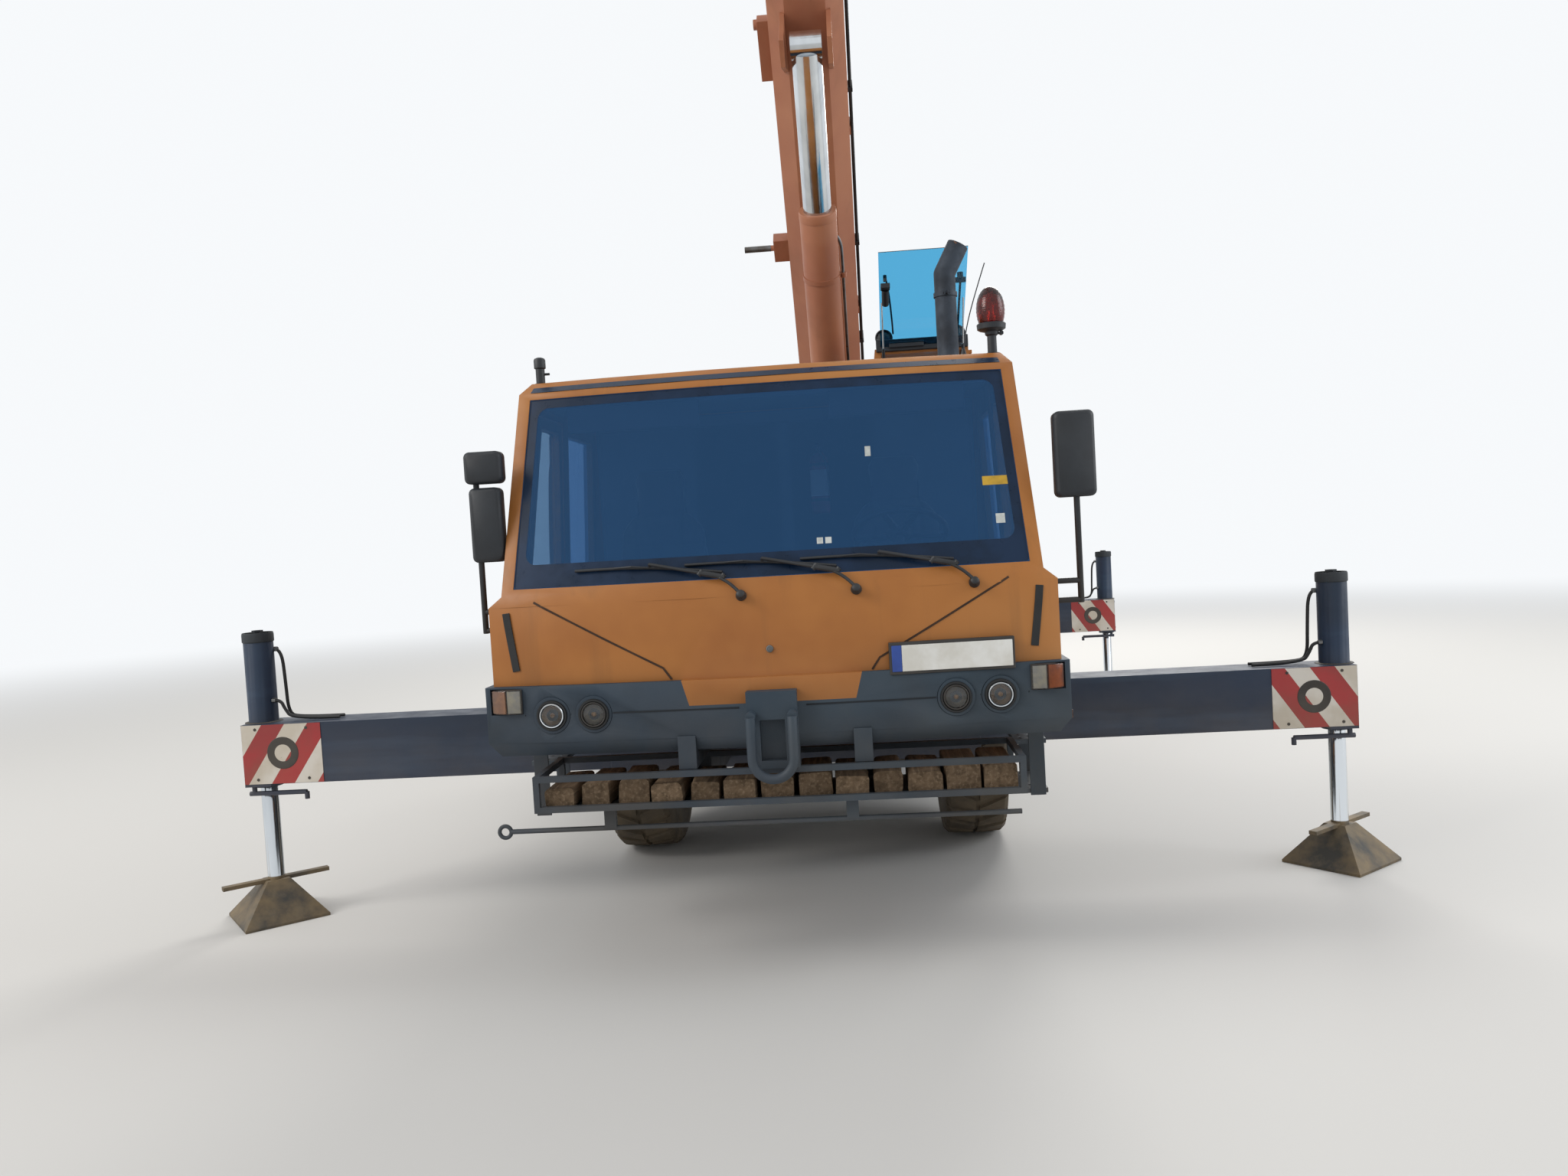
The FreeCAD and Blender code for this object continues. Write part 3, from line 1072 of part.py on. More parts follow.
# Axles with forks and struts, knuckles with stub axles, tyres and rims
WHEELS = [(f"{end}_{side}", setback, sign) for end, setback in AXLES for side,
          sign in (("left", 1), ("right", -1))]
for end, setback in AXLES:
    y = f"nose + {setback}"
    parts = [
        block(f"axle_{end}_beam", ("-axle_half_length", f"{y} - axle_tall / 2",
                                   "tyre_radius - axle_tall / 2"),
              ("axle_half_length", f"{y} + axle_tall / 2", "tyre_radius + axle_tall / 2")),
        bar(f"axle_{end}_gear", ("-axle_tall", y, "tyre_radius"), "X", "axle_tall * 0.8", "2 * axle_tall"),
    ]
    bores = []
    for side, sign in (("left", 1), ("right", -1)):
        def span(low, high):
            """A stretch across the machine on this side."""
            return (low, high) if sign > 0 else (f"-({high})", f"-({low})")
        low, high = span("axle_half_length - 60", "axle_half_length")
        parts.append(block(f"axle_{end}_end_{side}",
                           (low, f"{y} - axle_tall / 2", "tyre_radius - fork_reach"),
                           (high, f"{y} + axle_tall / 2", "tyre_radius + fork_reach")))
        low, high = span("axle_half_length", "kingpin_place + 2 * kingpin_radius")
        for level, ear_low in (("low", "tyre_radius - fork_reach"),
                               ("high", "tyre_radius + fork_reach - fork_thickness")):
            parts.append(block(f"axle_{end}_ear_{side}_{level}",
                               (low, f"{y} - 2 * kingpin_radius", ear_low),
                               (high, f"{y} + 2 * kingpin_radius", f"{ear_low} + fork_thickness")))
        bores.append(bar(f"axle_{end}_bore_{side}",
                         (f"{sign} * kingpin_place", y, "tyre_radius - fork_reach - 1"), "Z",
                         "kingpin_radius + pin_gap", "2 * fork_reach + 2"))
        parts.append(bar(f"strut_{end}_{side}", (f"{sign} * strut_place", y, "tyre_radius"), "Z",
                         "strut_radius",
                         "strut_top_height - tyre_radius"))
    node(f"axle_{end}", less(f"axle_{end}_bored", fused(f"axle_{end}_body", parts), bores))

for name, setback, sign in WHEELS:
    y = f"nose + {setback}"
    stub_start = "kingpin_place" if sign > 0 else "-(wheel_place + rim_half_width - 2 * fork_thickness / 3)"
    drum_start = "kingpin_place + 2 * kingpin_radius + 3 * stub_radius / 4" if sign > 0 else \
        "-(kingpin_place + 2 * kingpin_radius + 3 * stub_radius / 4 + brake_radius / 3)"
    node(f"knuckle_{name}", fused(f"knuckle_{name}_body", [
        bar(f"knuckle_{name}_pin", (f"{sign} * kingpin_place", y, "tyre_radius - fork_reach"), "Z",
            "kingpin_radius",
            "2 * fork_reach"),
        bar(f"knuckle_{name}_post", (f"{sign} * kingpin_place", y,
                                     "tyre_radius - fork_reach + fork_thickness + turn_gap"), "Z",
            "2 * kingpin_radius", "2 * (fork_reach - fork_thickness - turn_gap)"),
        bar(f"knuckle_{name}_stub", (stub_start, y, "tyre_radius"), "X", "stub_radius",
            "wheel_place + rim_half_width - 2 * fork_thickness / 3 - kingpin_place"),
        bar(f"knuckle_{name}_brake", (drum_start, y, "tyre_radius"), "X", "brake_radius",
            "brake_radius / 3"),
    ]))
    node(f"tyre_{name}", turned(f"tyre_{name}_body", [
        (f"-{sign} * tyre_tread_half_width", "tyre_radius"),
        (f"{sign} * tyre_tread_half_width", "tyre_radius"),
        (f"{sign} * tyre_half_width", "tyre_radius * 0.955"),
        (f"{sign} * tyre_half_width", "tyre_radius * 0.66"),
        (f"{sign} * rim_half_width", "rim_radius"), (f"-{sign} * rim_half_width", "rim_radius"),
        (f"-{sign} * tyre_half_width", "tyre_radius * 0.66"),
        (f"-{sign} * tyre_half_width", "tyre_radius * 0.955"),
    ], f"{sign} * wheel_place", y, "tyre_radius"))
    node(f"rim_{name}", turned(f"rim_{name}_body", [
        (f"-{sign} * rim_half_width", "rim_radius"), (f"{sign} * rim_half_width", "rim_radius"),
        (f"{sign} * rim_half_width", "rim_radius - rim_wall"),
        (f"{sign} * rim_half_width * 0.6", "rim_radius - rim_wall"),
        (f"{sign} * rim_half_width * 0.6", "hub_radius"),
        (f"{sign} * (rim_half_width + 20)", "hub_radius * 0.85"),
        (f"{sign} * (rim_half_width + 20)", "0"), (f"{sign} * (rim_half_width - 20)", "0"),
        (f"{sign} * (rim_half_width - 20)", "stub_radius + pin_gap"),
        (f"-{sign} * 45", "stub_radius + pin_gap"), (f"-{sign} * 45", "hub_radius"),
        (f"{sign} * rim_half_width * 0.45", "hub_radius"),
        (f"{sign} * rim_half_width * 0.45", "rim_radius - rim_wall"),
        (f"-{sign} * rim_half_width", "rim_radius - rim_wall"),
    ], f"{sign} * wheel_place", y, "tyre_radius"))

# Outriggers: the right-hand beam runs in the front cell of each box, the left-hand one in the rear cell
OUTRIGGERS = [(f"{end}_{side}", place + cell, sign)
              for end, place in (("front", "outrigger_setback"),
                                 ("rear", "outrigger_setback + outrigger_base"))
              for side, sign, cell in (("left", 1, f" + {BEAM_PITCH}"), ("right", -1, ""))]


def across(sign, low, high):
    """A stretch between two distances from the middle, on one side of the machine."""
    return (low, high) if sign > 0 else (f"-({high})", f"-({low})")


for name, front, sign in OUTRIGGERS:
    y_low = f"nose + {front}"
    y_mid = f"nose + {front} + beam_depth / 2"
    jack_x = f"{sign} * (outrigger_span - jack_inset)"
    low, high = across(sign, "outrigger_span - beam_length", "outrigger_span")
    beam = block(f"beam_{name}_tube", (low, y_low, "beam_bottom_height"),
                 (high, f"{y_low} + beam_depth", "beam_bottom_height + beam_tall"))
    low, high = across(sign, "outrigger_span - beam_length - 1", "outrigger_span - beam_wall")
    hollow = block(f"beam_{name}_hollow", (low, f"{y_low} + beam_wall", "beam_bottom_height + beam_wall"),
                   (high, f"{y_low} + beam_depth - beam_wall",
                    "beam_bottom_height + beam_tall - beam_wall"))
    low, high = across(sign, "outrigger_span - jack_inset - jack_tube_radius", "outrigger_span")
    foot_plate = block(f"beam_{name}_foot_plate", (low, y_low, "beam_bottom_height - jack_foot_drop / 2"),
                       (high, f"{y_low} + beam_depth", "beam_bottom_height"))
    tube = bar(f"jack_{name}_tube", (jack_x, y_mid, "beam_bottom_height - jack_foot_drop"), "Z",
               "jack_tube_radius",
               "beam_tall + jack_rise + jack_foot_drop")
    bore = bar(f"jack_{name}_bore", (jack_x, y_mid, "beam_bottom_height - jack_foot_drop - 1"), "Z",
               "jack_rod_radius + pin_gap", "beam_tall + jack_rise + jack_foot_drop - beam_wall")
    low, high = across(sign, "outrigger_span - jack_inset - 3.4 * jack_tube_radius",
                       "outrigger_span - handle_radius")
    handle_z = "beam_bottom_height - jack_foot_drop - 2 * handle_radius"
    handle_y = f"{y_low} + 2 * handle_radius"
    handle = bar(f"handle_{name}_grip", (low, handle_y, handle_z), "X", "handle_radius",
                 f"{high} - ({low})")
    inner_end = low if sign > 0 else high
    outer_end = high if sign > 0 else low
    hook_down = bar(f"handle_{name}_end", (inner_end, handle_y, f"{handle_z} - 3 * handle_radius"), "Z",
                    "handle_radius", "3 * handle_radius")
    hanger = bar(f"handle_{name}_hanger",
                 (f"{outer_end} - {sign} * 2 * handle_radius", handle_y, handle_z), "Z",
                 "handle_radius", "jack_foot_drop / 2 + 2 * handle_radius")
    shell = less(f"beam_{name}_shell", beam, [hollow])
    body = fused(f"beam_{name}_body", [shell, foot_plate, tube, handle, hook_down, hanger])
    node(f"outrigger_{name}", less(f"beam_{name}_bored", body, [bore]))

    foot = doc.addObject("Part::Wedge", f"pad_{name}_pyramid")
    bind(foot, Xmin="-pad_side / 2", Xmax="pad_side / 2", Zmin="-pad_side / 2", Zmax="pad_side / 2",
         X2min="-pad_top_side / 2", X2max="pad_top_side / 2", Z2min="-pad_top_side / 2",
         Z2max="pad_top_side / 2",
         Ymin="0", Ymax="pad_tall - pad_plate")
    foot.Placement = FreeCAD.Placement(FreeCAD.Vector(), FreeCAD.Rotation(FreeCAD.Vector(1, 0, 0), 90))
    put(foot, "0", "0", "pad_plate")
    plate = block(f"pad_{name}_plate", ("-pad_side / 2", "-pad_side / 2", "0"),
                  ("pad_side / 2", "pad_side / 2", "pad_plate"))
    strip = block(f"pad_{name}_strip", ("-strip_length / 2", "-jack_rod_radius / 2",
                                        "pad_tall - pad_plate"),
                  ("strip_length / 2", "jack_rod_radius / 2", "pad_tall + pad_plate / 2"))
    pad = fused(f"pad_{name}_body", [foot, plate, strip])
    pad.Placement = FreeCAD.Placement(FreeCAD.Vector(), FreeCAD.Rotation(FreeCAD.Vector(0, 0, 1), 1))
    put(pad, jack_x, y_mid, "0")
    bind(pad, Placement__Rotation__Angle="pad_turn")
    rod = bar(f"rod_{name}", (jack_x, y_mid, "pad_tall - pad_plate"), "Z", "jack_rod_radius",
              "beam_bottom_height + beam_tall + jack_foot_drop - pad_tall")
    node(f"jack_{name}", fused(f"jack_{name}_body", [pad, rod]))

# Turntable: base plate, side plates that carry the boom and the winch, lugs for the cylinder's foot
cheek_points = (
    ("table_front_setback + 300", "table_low"), ("table_rear_setback", "table_low"),
    ("table_rear_setback + 20", "weight_top_height"), ("winch_setback + 170", "winch_height"),
    ("winch_setback + 60", "winch_height + 150"), ("boom_pivot_setback + 200", "boom_pivot_height + 180"),
    ("boom_pivot_setback - 150", "boom_pivot_height + 200"),
    ("boom_pivot_setback - 270", "boom_pivot_height - 40"),
    ("luff_base_setback - 650", "luff_base_height + 150"),
    ("table_front_setback + 300", "luff_base_height - 130"),
)
FOOT_LUG_INNER = "luff_barrel_radius + door_gap"
cheeks = []
for side, start in (("left", "boom_place + cheek_inner"),
                    ("right", "boom_place - cheek_inner - cheek_thickness")):
    outline = [(f"nose + {y}",
                z.replace("table_low", "rail_top_height + slew_ring_tall + turn_gap + table_thickness / 2"))
               for y, z in cheek_points]
    cheeks.append(slab(f"cheek_{side}", "YZ", outline, start, "cheek_thickness"))
    lug_start = f"boom_place + {FOOT_LUG_INNER}"
    if side == "right":
        lug_start = f"boom_place - ({FOOT_LUG_INNER}) - luff_lug_thickness"
    cheeks.append(slab(f"foot_lug_{side}", "YZ",
                       (("nose + luff_base_setback - 280",
                         "rail_top_height + slew_ring_tall + table_thickness / 2"),
                        ("nose + luff_base_setback + 200",
                         "rail_top_height + slew_ring_tall + table_thickness / 2"),
                        ("nose + luff_base_setback + 110", "luff_base_height + 80"),
                        ("nose + luff_base_setback - 110", "luff_base_height + 80")),
                       lug_start, "luff_lug_thickness"))
TABLE_LOW = "rail_top_height + slew_ring_tall + turn_gap"
table_parts = cheeks + [
    block("table_plate", ("-table_half_width", "nose + table_front_setback", TABLE_LOW),
          ("table_half_width", "nose + table_rear_setback", f"{TABLE_LOW} + table_thickness")),
    block("house_arm", ("table_half_width - 1", "nose + house_front_setback + 300", TABLE_LOW),
          ("house_outer - 100", "nose + house_rear_setback - 200", f"{TABLE_LOW} + table_thickness")),
    block("house_seat", ("house_inner + 100", "nose + house_front_setback + 300",
                         f"{TABLE_LOW} + table_thickness / 2"),
          ("house_outer - 100", "nose + house_rear_setback - 200", "house_bottom_height")),
    block("weight_beam", ("-weight_half_width * 0.6", "nose + table_rear_setback - 140",
                          "weight_bottom_height - 20"),
          ("weight_half_width * 0.6", "nose + weight_front_setback", "weight_bottom_height + 280")),
]
table_bores = [
    bar("pivot_bore", ("boom_place - cheek_inner - cheek_thickness - 1", "nose + boom_pivot_setback",
                       "boom_pivot_height"), "X",
        "boom_pin_radius + pin_gap", "2 * cheek_inner + 2 * cheek_thickness + 2"),
    bar("winch_bore", ("boom_place - cheek_inner - cheek_thickness - 1", "nose + winch_setback",
                       "winch_height"), "X",
        "winch_shaft_radius + pin_gap", "2 * cheek_inner + 2 * cheek_thickness + 2"),
    bar("foot_bore", ("boom_place - cheek_inner + 1", "nose + luff_base_setback", "luff_base_height"), "X",
        "luff_pin_radius + pin_gap", "2 * cheek_inner - 2"),
]
node("turntable", less("turntable_bored", fused("turntable_body", table_parts), table_bores))

weight_block = block("weight_block", ("-weight_half_width", "nose + weight_front_setback",
                                      "weight_bottom_height"),
                     ("weight_half_width", "nose + slew_setback + tail_radius", "weight_top_height"))
weight_round = bar("weight_round", ("0", "nose + slew_setback", "weight_bottom_height"), "Z", "tail_radius",
                   "weight_top_height - weight_bottom_height")
node("counterweight", shared("weight", weight_block, weight_round))

# Winch drum on its shaft
node("winch_drum", turned("winch_body", [
    ("-cheek_inner - cheek_thickness", "0"), ("cheek_inner + cheek_thickness", "0"),
    ("cheek_inner + cheek_thickness", "winch_shaft_radius"), ("winch_half_width", "winch_shaft_radius"),
    ("winch_half_width", "winch_flange_radius"), ("winch_half_width - 20", "winch_flange_radius"),
    ("winch_half_width - 20", "winch_radius"), ("-winch_half_width + 20", "winch_radius"),
    ("-winch_half_width + 20", "winch_flange_radius"), ("-winch_half_width", "winch_flange_radius"),
    ("-winch_half_width", "winch_shaft_radius"), ("-cheek_inner - cheek_thickness", "winch_shaft_radius"),
], "boom_place", "nose + winch_setback", "winch_height"))

# Crane cab with its sliding door, front pane swung up
house_body = block("house_body", ("house_inner", "nose + house_front_setback", "house_bottom_height"),
                   ("house_outer", "nose + house_rear_setback", "house_top_height"))
house_room = block("house_room",
                   ("house_inner + house_wall", "nose + house_front_setback + house_wall",
                    "house_bottom_height + house_wall"),
                   ("house_outer - house_wall", "nose + house_rear_setback - house_wall",
                    "house_top_height - house_wall"))
HOUSE_PANE_FOOT = "house_bottom_height + house_pane_share * (house_top_height - house_bottom_height)"
house_openings = [
    block("house_front_opening",
          ("house_inner + house_wall", "nose + house_front_setback - 1",
           "house_bottom_height + 8 * house_wall"),
          ("house_outer - house_wall", "nose + house_front_setback + house_wall + 1",
           "house_top_height - house_wall")),
    block("house_doorway",
          ("house_outer - house_wall - 1", "nose + house_door_front_setback",
           "house_bottom_height + 3 * house_wall"),
          ("house_outer + 1", "nose + house_door_rear_setback", "house_top_height - 2 * house_wall")),
    block("house_side_window",
          ("house_inner - 1", "nose + house_door_front_setback", HOUSE_PANE_FOOT),
          ("house_inner + house_wall + 1", "nose + house_rear_setback - 4 * house_wall",
           "house_top_height - 3 * house_wall")),
    block("house_rear_side_window",
          ("house_outer - house_wall - 1", "nose + house_door_rear_setback + 3 * house_wall",
           HOUSE_PANE_FOOT),
          ("house_outer + 1", "nose + house_rear_setback - 4 * house_wall",
           "house_top_height - 3 * house_wall")),
    block("house_rear_window",
          ("house_inner + 3 * house_wall", "nose + house_rear_setback - house_wall - 1",
           HOUSE_PANE_FOOT),
          ("house_outer - 3 * house_wall", "nose + house_rear_setback + 1",
           "house_top_height - 3 * house_wall")),
]
runners = []
for level, low in (("low", "house_bottom_height + 2.5 * house_wall - turn_gap - runner_tall"),
                   ("high", "house_top_height - 1.5 * house_wall + turn_gap")):
    runners.append(block(f"door_runner_{level}",
                         ("house_outer - 1", "nose + house_door_front_setback - house_wall", low),
                         ("house_outer + runner_wide",
                          "nose + house_door_rear_setback + house_door_travel + house_wall",
                          f"{low} + runner_tall")))
node("crane_cab",
     fused("house_with_runners", [less("house", house_body, [house_room] + house_openings)] + runners))
house_panes = [
    block("pane_inner_side",
          ("house_inner + house_wall / 2", "nose + house_door_front_setback",
           HOUSE_PANE_FOOT),
          ("house_inner + house_wall / 2 + glass_thickness", "nose + house_rear_setback - 4 * house_wall",
           "house_top_height - 3 * house_wall")),
    block("pane_outer_side",
          ("house_outer - house_wall / 2", "nose + house_door_rear_setback + 3 * house_wall",
           HOUSE_PANE_FOOT),
          ("house_outer - house_wall / 2 + glass_thickness", "nose + house_rear_setback - 4 * house_wall",
           "house_top_height - 3 * house_wall")),
    block("pane_rear",
          ("house_inner + 3 * house_wall", "nose + house_rear_setback - house_wall / 2",
           HOUSE_PANE_FOOT),
          ("house_outer - 3 * house_wall", "nose + house_rear_setback - house_wall / 2 + glass_thickness",
           "house_top_height - 3 * house_wall")),
]
swung_pane = block("swung_pane", ("house_inner + house_wall", "-house_pane_length", "0"),
                   ("house_outer - house_wall", "0", "glass_thickness"))
swung = fused("swung_pane_hinged", [
    swung_pane,
    bar("pane_hinge", ("house_inner + 2 * house_wall", "0", "0"), "X", "pane_hinge_radius",
        "house_outer - house_inner - 4 * house_wall")])
swung.Placement = FreeCAD.Placement(FreeCAD.Vector(), FreeCAD.Rotation(FreeCAD.Vector(1, 0, 0), -1))
put(swung, "0", "nose + house_front_setback - pane_hinge_radius", "house_top_height - pane_hinge_radius")
bind(swung, Placement__Rotation__Angle="-house_pane_rise")
node("crane_cab_glass", group("house_glass", house_panes + [swung]))
node("crane_cab_seat", fused("house_seat_body", [
    block("house_chair_base", ("house_inner + 200", "nose + house_front_setback + 700",
                               "house_bottom_height + house_wall"),
          ("house_outer - 200", "nose + house_front_setback + 1100", "house_bottom_height + 420")),
    block("house_chair_cushion", ("house_inner + 110", "nose + house_front_setback + 640",
                                  "house_bottom_height + 420"),
          ("house_outer - 110", "nose + house_front_setback + 1160", "house_bottom_height + 540")),
    block("house_chair_back", ("house_inner + 110", "nose + house_front_setback + 1060",
                               "house_bottom_height + 540"),
          ("house_outer - 110", "nose + house_front_setback + 1160", "house_bottom_height + 1180")),
]))
node("crane_cab_door", less("house_door", block(
    "house_door_leaf",
    ("house_outer + door_gap", "nose + house_door_front_setback - house_wall / 2",
     "house_bottom_height + 2.5 * house_wall"),
    ("house_outer + runner_wide", "nose + house_door_rear_setback + house_wall / 2",
     "house_top_height - 1.5 * house_wall")),
    [block("house_door_window",
           ("house_outer - 1", "nose + house_door_front_setback + house_wall",
            HOUSE_PANE_FOOT),
           ("house_outer + house_wall", "nose + house_door_rear_setback - house_wall",
            "house_top_height - 3 * house_wall"))]))


# Boom: modelled level, pointing to -Y from its pivot, then raised about it
def raise_boom(item):
    """Puts a piece that is modelled level with the pivot at the origin in its place on the raised boom."""
    item.Placement = FreeCAD.Placement(FreeCAD.Vector(), FreeCAD.Rotation(FreeCAD.Vector(1, 0, 0), -1))
    put(item, "boom_place", "nose + boom_pivot_setback", "boom_pivot_height")
    return bind(item, Placement__Rotation__Angle="-boom_angle")


def section_outline(shrink):
    """The boom's cross-section, smaller by this much on every side: x and z."""
    half = f"(boom_half_width - ({shrink}))"
    tall = f"(boom_half_tall - ({shrink}))"
    top = f"(boom_top_chamfer * {half} / boom_half_width)"
    low = f"(boom_bottom_chamfer * {half} / boom_half_width)"
    return ((f"-{half} + {top}", tall), (f"{half} - {top}", tall), (half, f"{tall} - {top}"),
            (half, f"-{tall} + {low}"),
            (f"{half} - {low}", f"-{tall}"), (f"-{half} + {low}", f"-{tall}"),
            (f"-{half}", f"-{tall} + {low}"),
            (f"-{half}", f"{tall} - {top}"))


def section(name, shrink, start, length):
    """A stretch of the boom's section as a solid."""
    return slab(name, "XZ", section_outline(shrink), start, length)


def cross_bar(name, along, below, radius, half_width):
    """A round bar across the boom."""
    return bar(name, (f"-({half_width})", f"-({along})", f"-({below})"), "X", radius, f"2 * ({half_width})")


def collar(name, shrink, end):
    """The collar at a section's end, which guides the next section."""
    ring = section(name, f"{shrink} - collar_proud", f"{end} - collar_length", "collar_length")
    return less(name + "_ring", ring, [section(name + "_bore", f"{shrink} + boom_step - slide_gap",
                                               f"{end} - collar_length - 1", "collar_length + 2")])


def tube(name, shrink, start, end):
    """A hollow stretch of the boom."""
    return less(name + "_hollow", section(name, shrink, start, f"{end} - ({start})"),
                [section(name + "_room", f"{shrink} + boom_wall", f"{start} - 1",
                         f"{end} - ({start}) + 2")])


def pad_ring(name, shrink, start):
    """Slide pads round a telescope's rear end, which run inside the section before it."""
    ring = section(name, f"{shrink} - boom_step + boom_wall + slide_gap", start, "pad_ring_length")
    return less(name + "_ring", ring, [section(name + "_bore", f"{shrink} + boom_wall", f"{start} - 1",
                                               "pad_ring_length + 2")])


lugs = []
for side, start in (("left", "luff_eye_half_width + luff_lug_gap"),
                    ("right", "-luff_eye_half_width - luff_lug_gap - luff_lug_thickness")):
    lugs.append(slab(f"boom_lug_{side}", "YZ",
                     (("-luff_eye_reach - 75", "-boom_half_tall + boom_bottom_chamfer / 2"),
                      ("-luff_eye_reach + 330", "-boom_half_tall + boom_bottom_chamfer / 2"),
                      ("-luff_eye_reach + 95", "-luff_eye_drop - 85"),
                      ("-luff_eye_reach - 75", "-luff_eye_drop - 85")),
                     start, "luff_lug_thickness"))
lug_bore = bar("boom_lug_bore", ("-boom_half_width", "-luff_eye_reach", "-luff_eye_drop"), "X",
               "luff_pin_radius",
               "2 * boom_half_width")
boom_brackets = [
    block("side_bracket_low", ("-boom_half_width - bracket_wide", "-bracket_low_reach - 90", "-90"),
          ("-boom_half_width + 5", "-bracket_low_reach + 90", "30")),
    bar("side_bracket_pin", ("-boom_half_width - bracket_wide - jib_pin_length", "-bracket_low_reach",
                             "-30"), "X",
        "jib_pin_radius", "jib_pin_length + 5"),
    block("side_bracket_high", ("-boom_half_width - 80", "-bracket_high_reach - 200", "-110"),
          ("-boom_half_width + 5", "-bracket_high_reach + 200", "10")),
    bar("side_bracket_cap", ("-boom_half_width - 105", "-bracket_high_reach - 160", "-50"), "X", "34",
        "60"),
]
boom_tail_plate = section("boom_tail_plate", "0", "-boom_tail", "3 * boom_wall")
boom_boss = cross_bar("boom_boss", "0", "0", "boom_boss_radius", "cheek_inner - 10")
boom_pin = cross_bar("boom_pin", "0", "0", "boom_pin_radius", "cheek_inner + cheek_thickness")
boom_solid = fused("boom_base_body", [
    tube("boom_tube", "0", "-boom_tail", "boom_base_length"),
    collar("boom_collar", "0", "boom_base_length"),
    boom_tail_plate, boom_boss, boom_pin] + boom_brackets)
# The lugs are plates of their own, cut to the slope of the boom's lower edges
boom_lugs = less("boom_lugs", group("boom_lug_pair", lugs),
                 [section("boom_lug_room", "0", "luff_eye_reach - 2 * boom_half_tall", "4 * boom_half_tall"),
                  lug_bore])
node("boom_base", raise_boom(group("boom_base_parts", [boom_solid, boom_lugs])))

for index in (1, 2, 3):
    shrink = f"{index} * boom_step"
    start = f"tele_start + {index - 1} * tele_step"
    end = f"boom_base_length + {index} * tele_step"
    pieces = [tube(f"tele_{index}_tube", shrink, start, end), pad_ring(f"tele_{index}_pads", shrink, start)]
    if index < 3:
        pieces.append(collar(f"tele_{index}_collar", shrink, end))
    else:
        head_start = f"({end} - 120)"
        pieces.append(section("head_plug", shrink, f"{end} - 30", "30"))
        for side, low in (("left", "head_half_width - head_cheek"), ("right", "-head_half_width")):
            pieces.append(slab(f"head_cheek_{side}", "YZ",
                               ((f"-{head_start}", "guide_rise + 60"),
                                (f"-{head_start}", "-head_drop - 20"),
                                ("-head_reach + 200", "-head_drop - head_radius + 60"),
                                ("-head_reach - 60", "-head_drop - head_radius + 30"),
                                ("-head_reach - 190", "-head_drop"),
                                ("-head_reach - 100", "guide_rise + 60")),
                               low, "head_cheek"))
        pieces += [
            cross_bar("head_shaft", "head_reach", "head_drop", "winch_shaft_radius", "head_half_width"),
            cross_bar("head_sheaves", "head_reach", "head_drop", "sheave_radius", "sheave_half_width"),
            cross_bar("guide_shaft", "head_reach - 80", "-guide_rise", "winch_shaft_radius",
                      "head_half_width"),
            cross_bar("guide_sheave", "head_reach - 80", "-guide_rise", "guide_radius",
                      "sheave_half_width / 2"),
        ]
        for side, sign in (("left", 1), ("right", -1)):
            pieces.append(bar(f"head_disc_{side}",
                              (f"{sign} * (head_half_width - head_cheek / 2) - head_cheek / 2",
                                                    "-head_reach", "-head_drop"), "X", "head_radius",
                                                    "head_cheek"))
    node(f"tele_{index}", raise_boom(fused(f"tele_{index}_body", pieces)))


# Luffing cylinder: modelled level, pointing to -Y from its foot, then turned to the rod's eye
def aim_luff(item):
    """Puts a piece of the cylinder in its place between foot and eye."""
    item.Placement = FreeCAD.Placement(FreeCAD.Vector(), FreeCAD.Rotation(FreeCAD.Vector(1, 0, 0), -1))
    put(item, "boom_place", "nose + luff_base_setback", "luff_base_height")
    return bind(item, Placement__Rotation__Angle="-luff_angle")


def lengthwise(name, start, radius, length):
    """A round bar along the cylinder, from a distance ahead of its foot."""
    return bar(name, ("0", f"-({start}) - ({length})", "0"), "Y", radius, length)


barrel = fused("barrel_body", [
    lengthwise("barrel_tube", "luff_foot_radius / 2", "luff_barrel_radius",
               "luff_barrel_length - luff_foot_radius / 2"),
    cross_bar("barrel_foot", "0", "0", "luff_foot_radius", f"{FOOT_LUG_INNER} - turn_gap"),
    cross_bar("barrel_pin", "0", "0", "luff_pin_radius", f"{FOOT_LUG_INNER} + luff_lug_thickness"),
])
barrel_bore = lengthwise("barrel_bore", "2 * luff_foot_radius", "luff_rod_radius + pin_gap",
                         "luff_barrel_length")
node("luff_barrel", aim_luff(less("barrel", barrel, [barrel_bore])))
rod = fused("rod_body", [
    lengthwise("rod_bar", "luff_length - luff_rod_length", "luff_rod_radius",
               "luff_rod_length - luff_eye_radius / 2"),
    cross_bar("rod_eye", "luff_length", "0", "luff_eye_radius", "luff_eye_half_width"),
])
node("luff_rod", aim_luff(less("rod", rod, [cross_bar("rod_eye_bore", "luff_length", "0", "luff_pin_radius",
                                                      "luff_eye_half_width + 1")])))

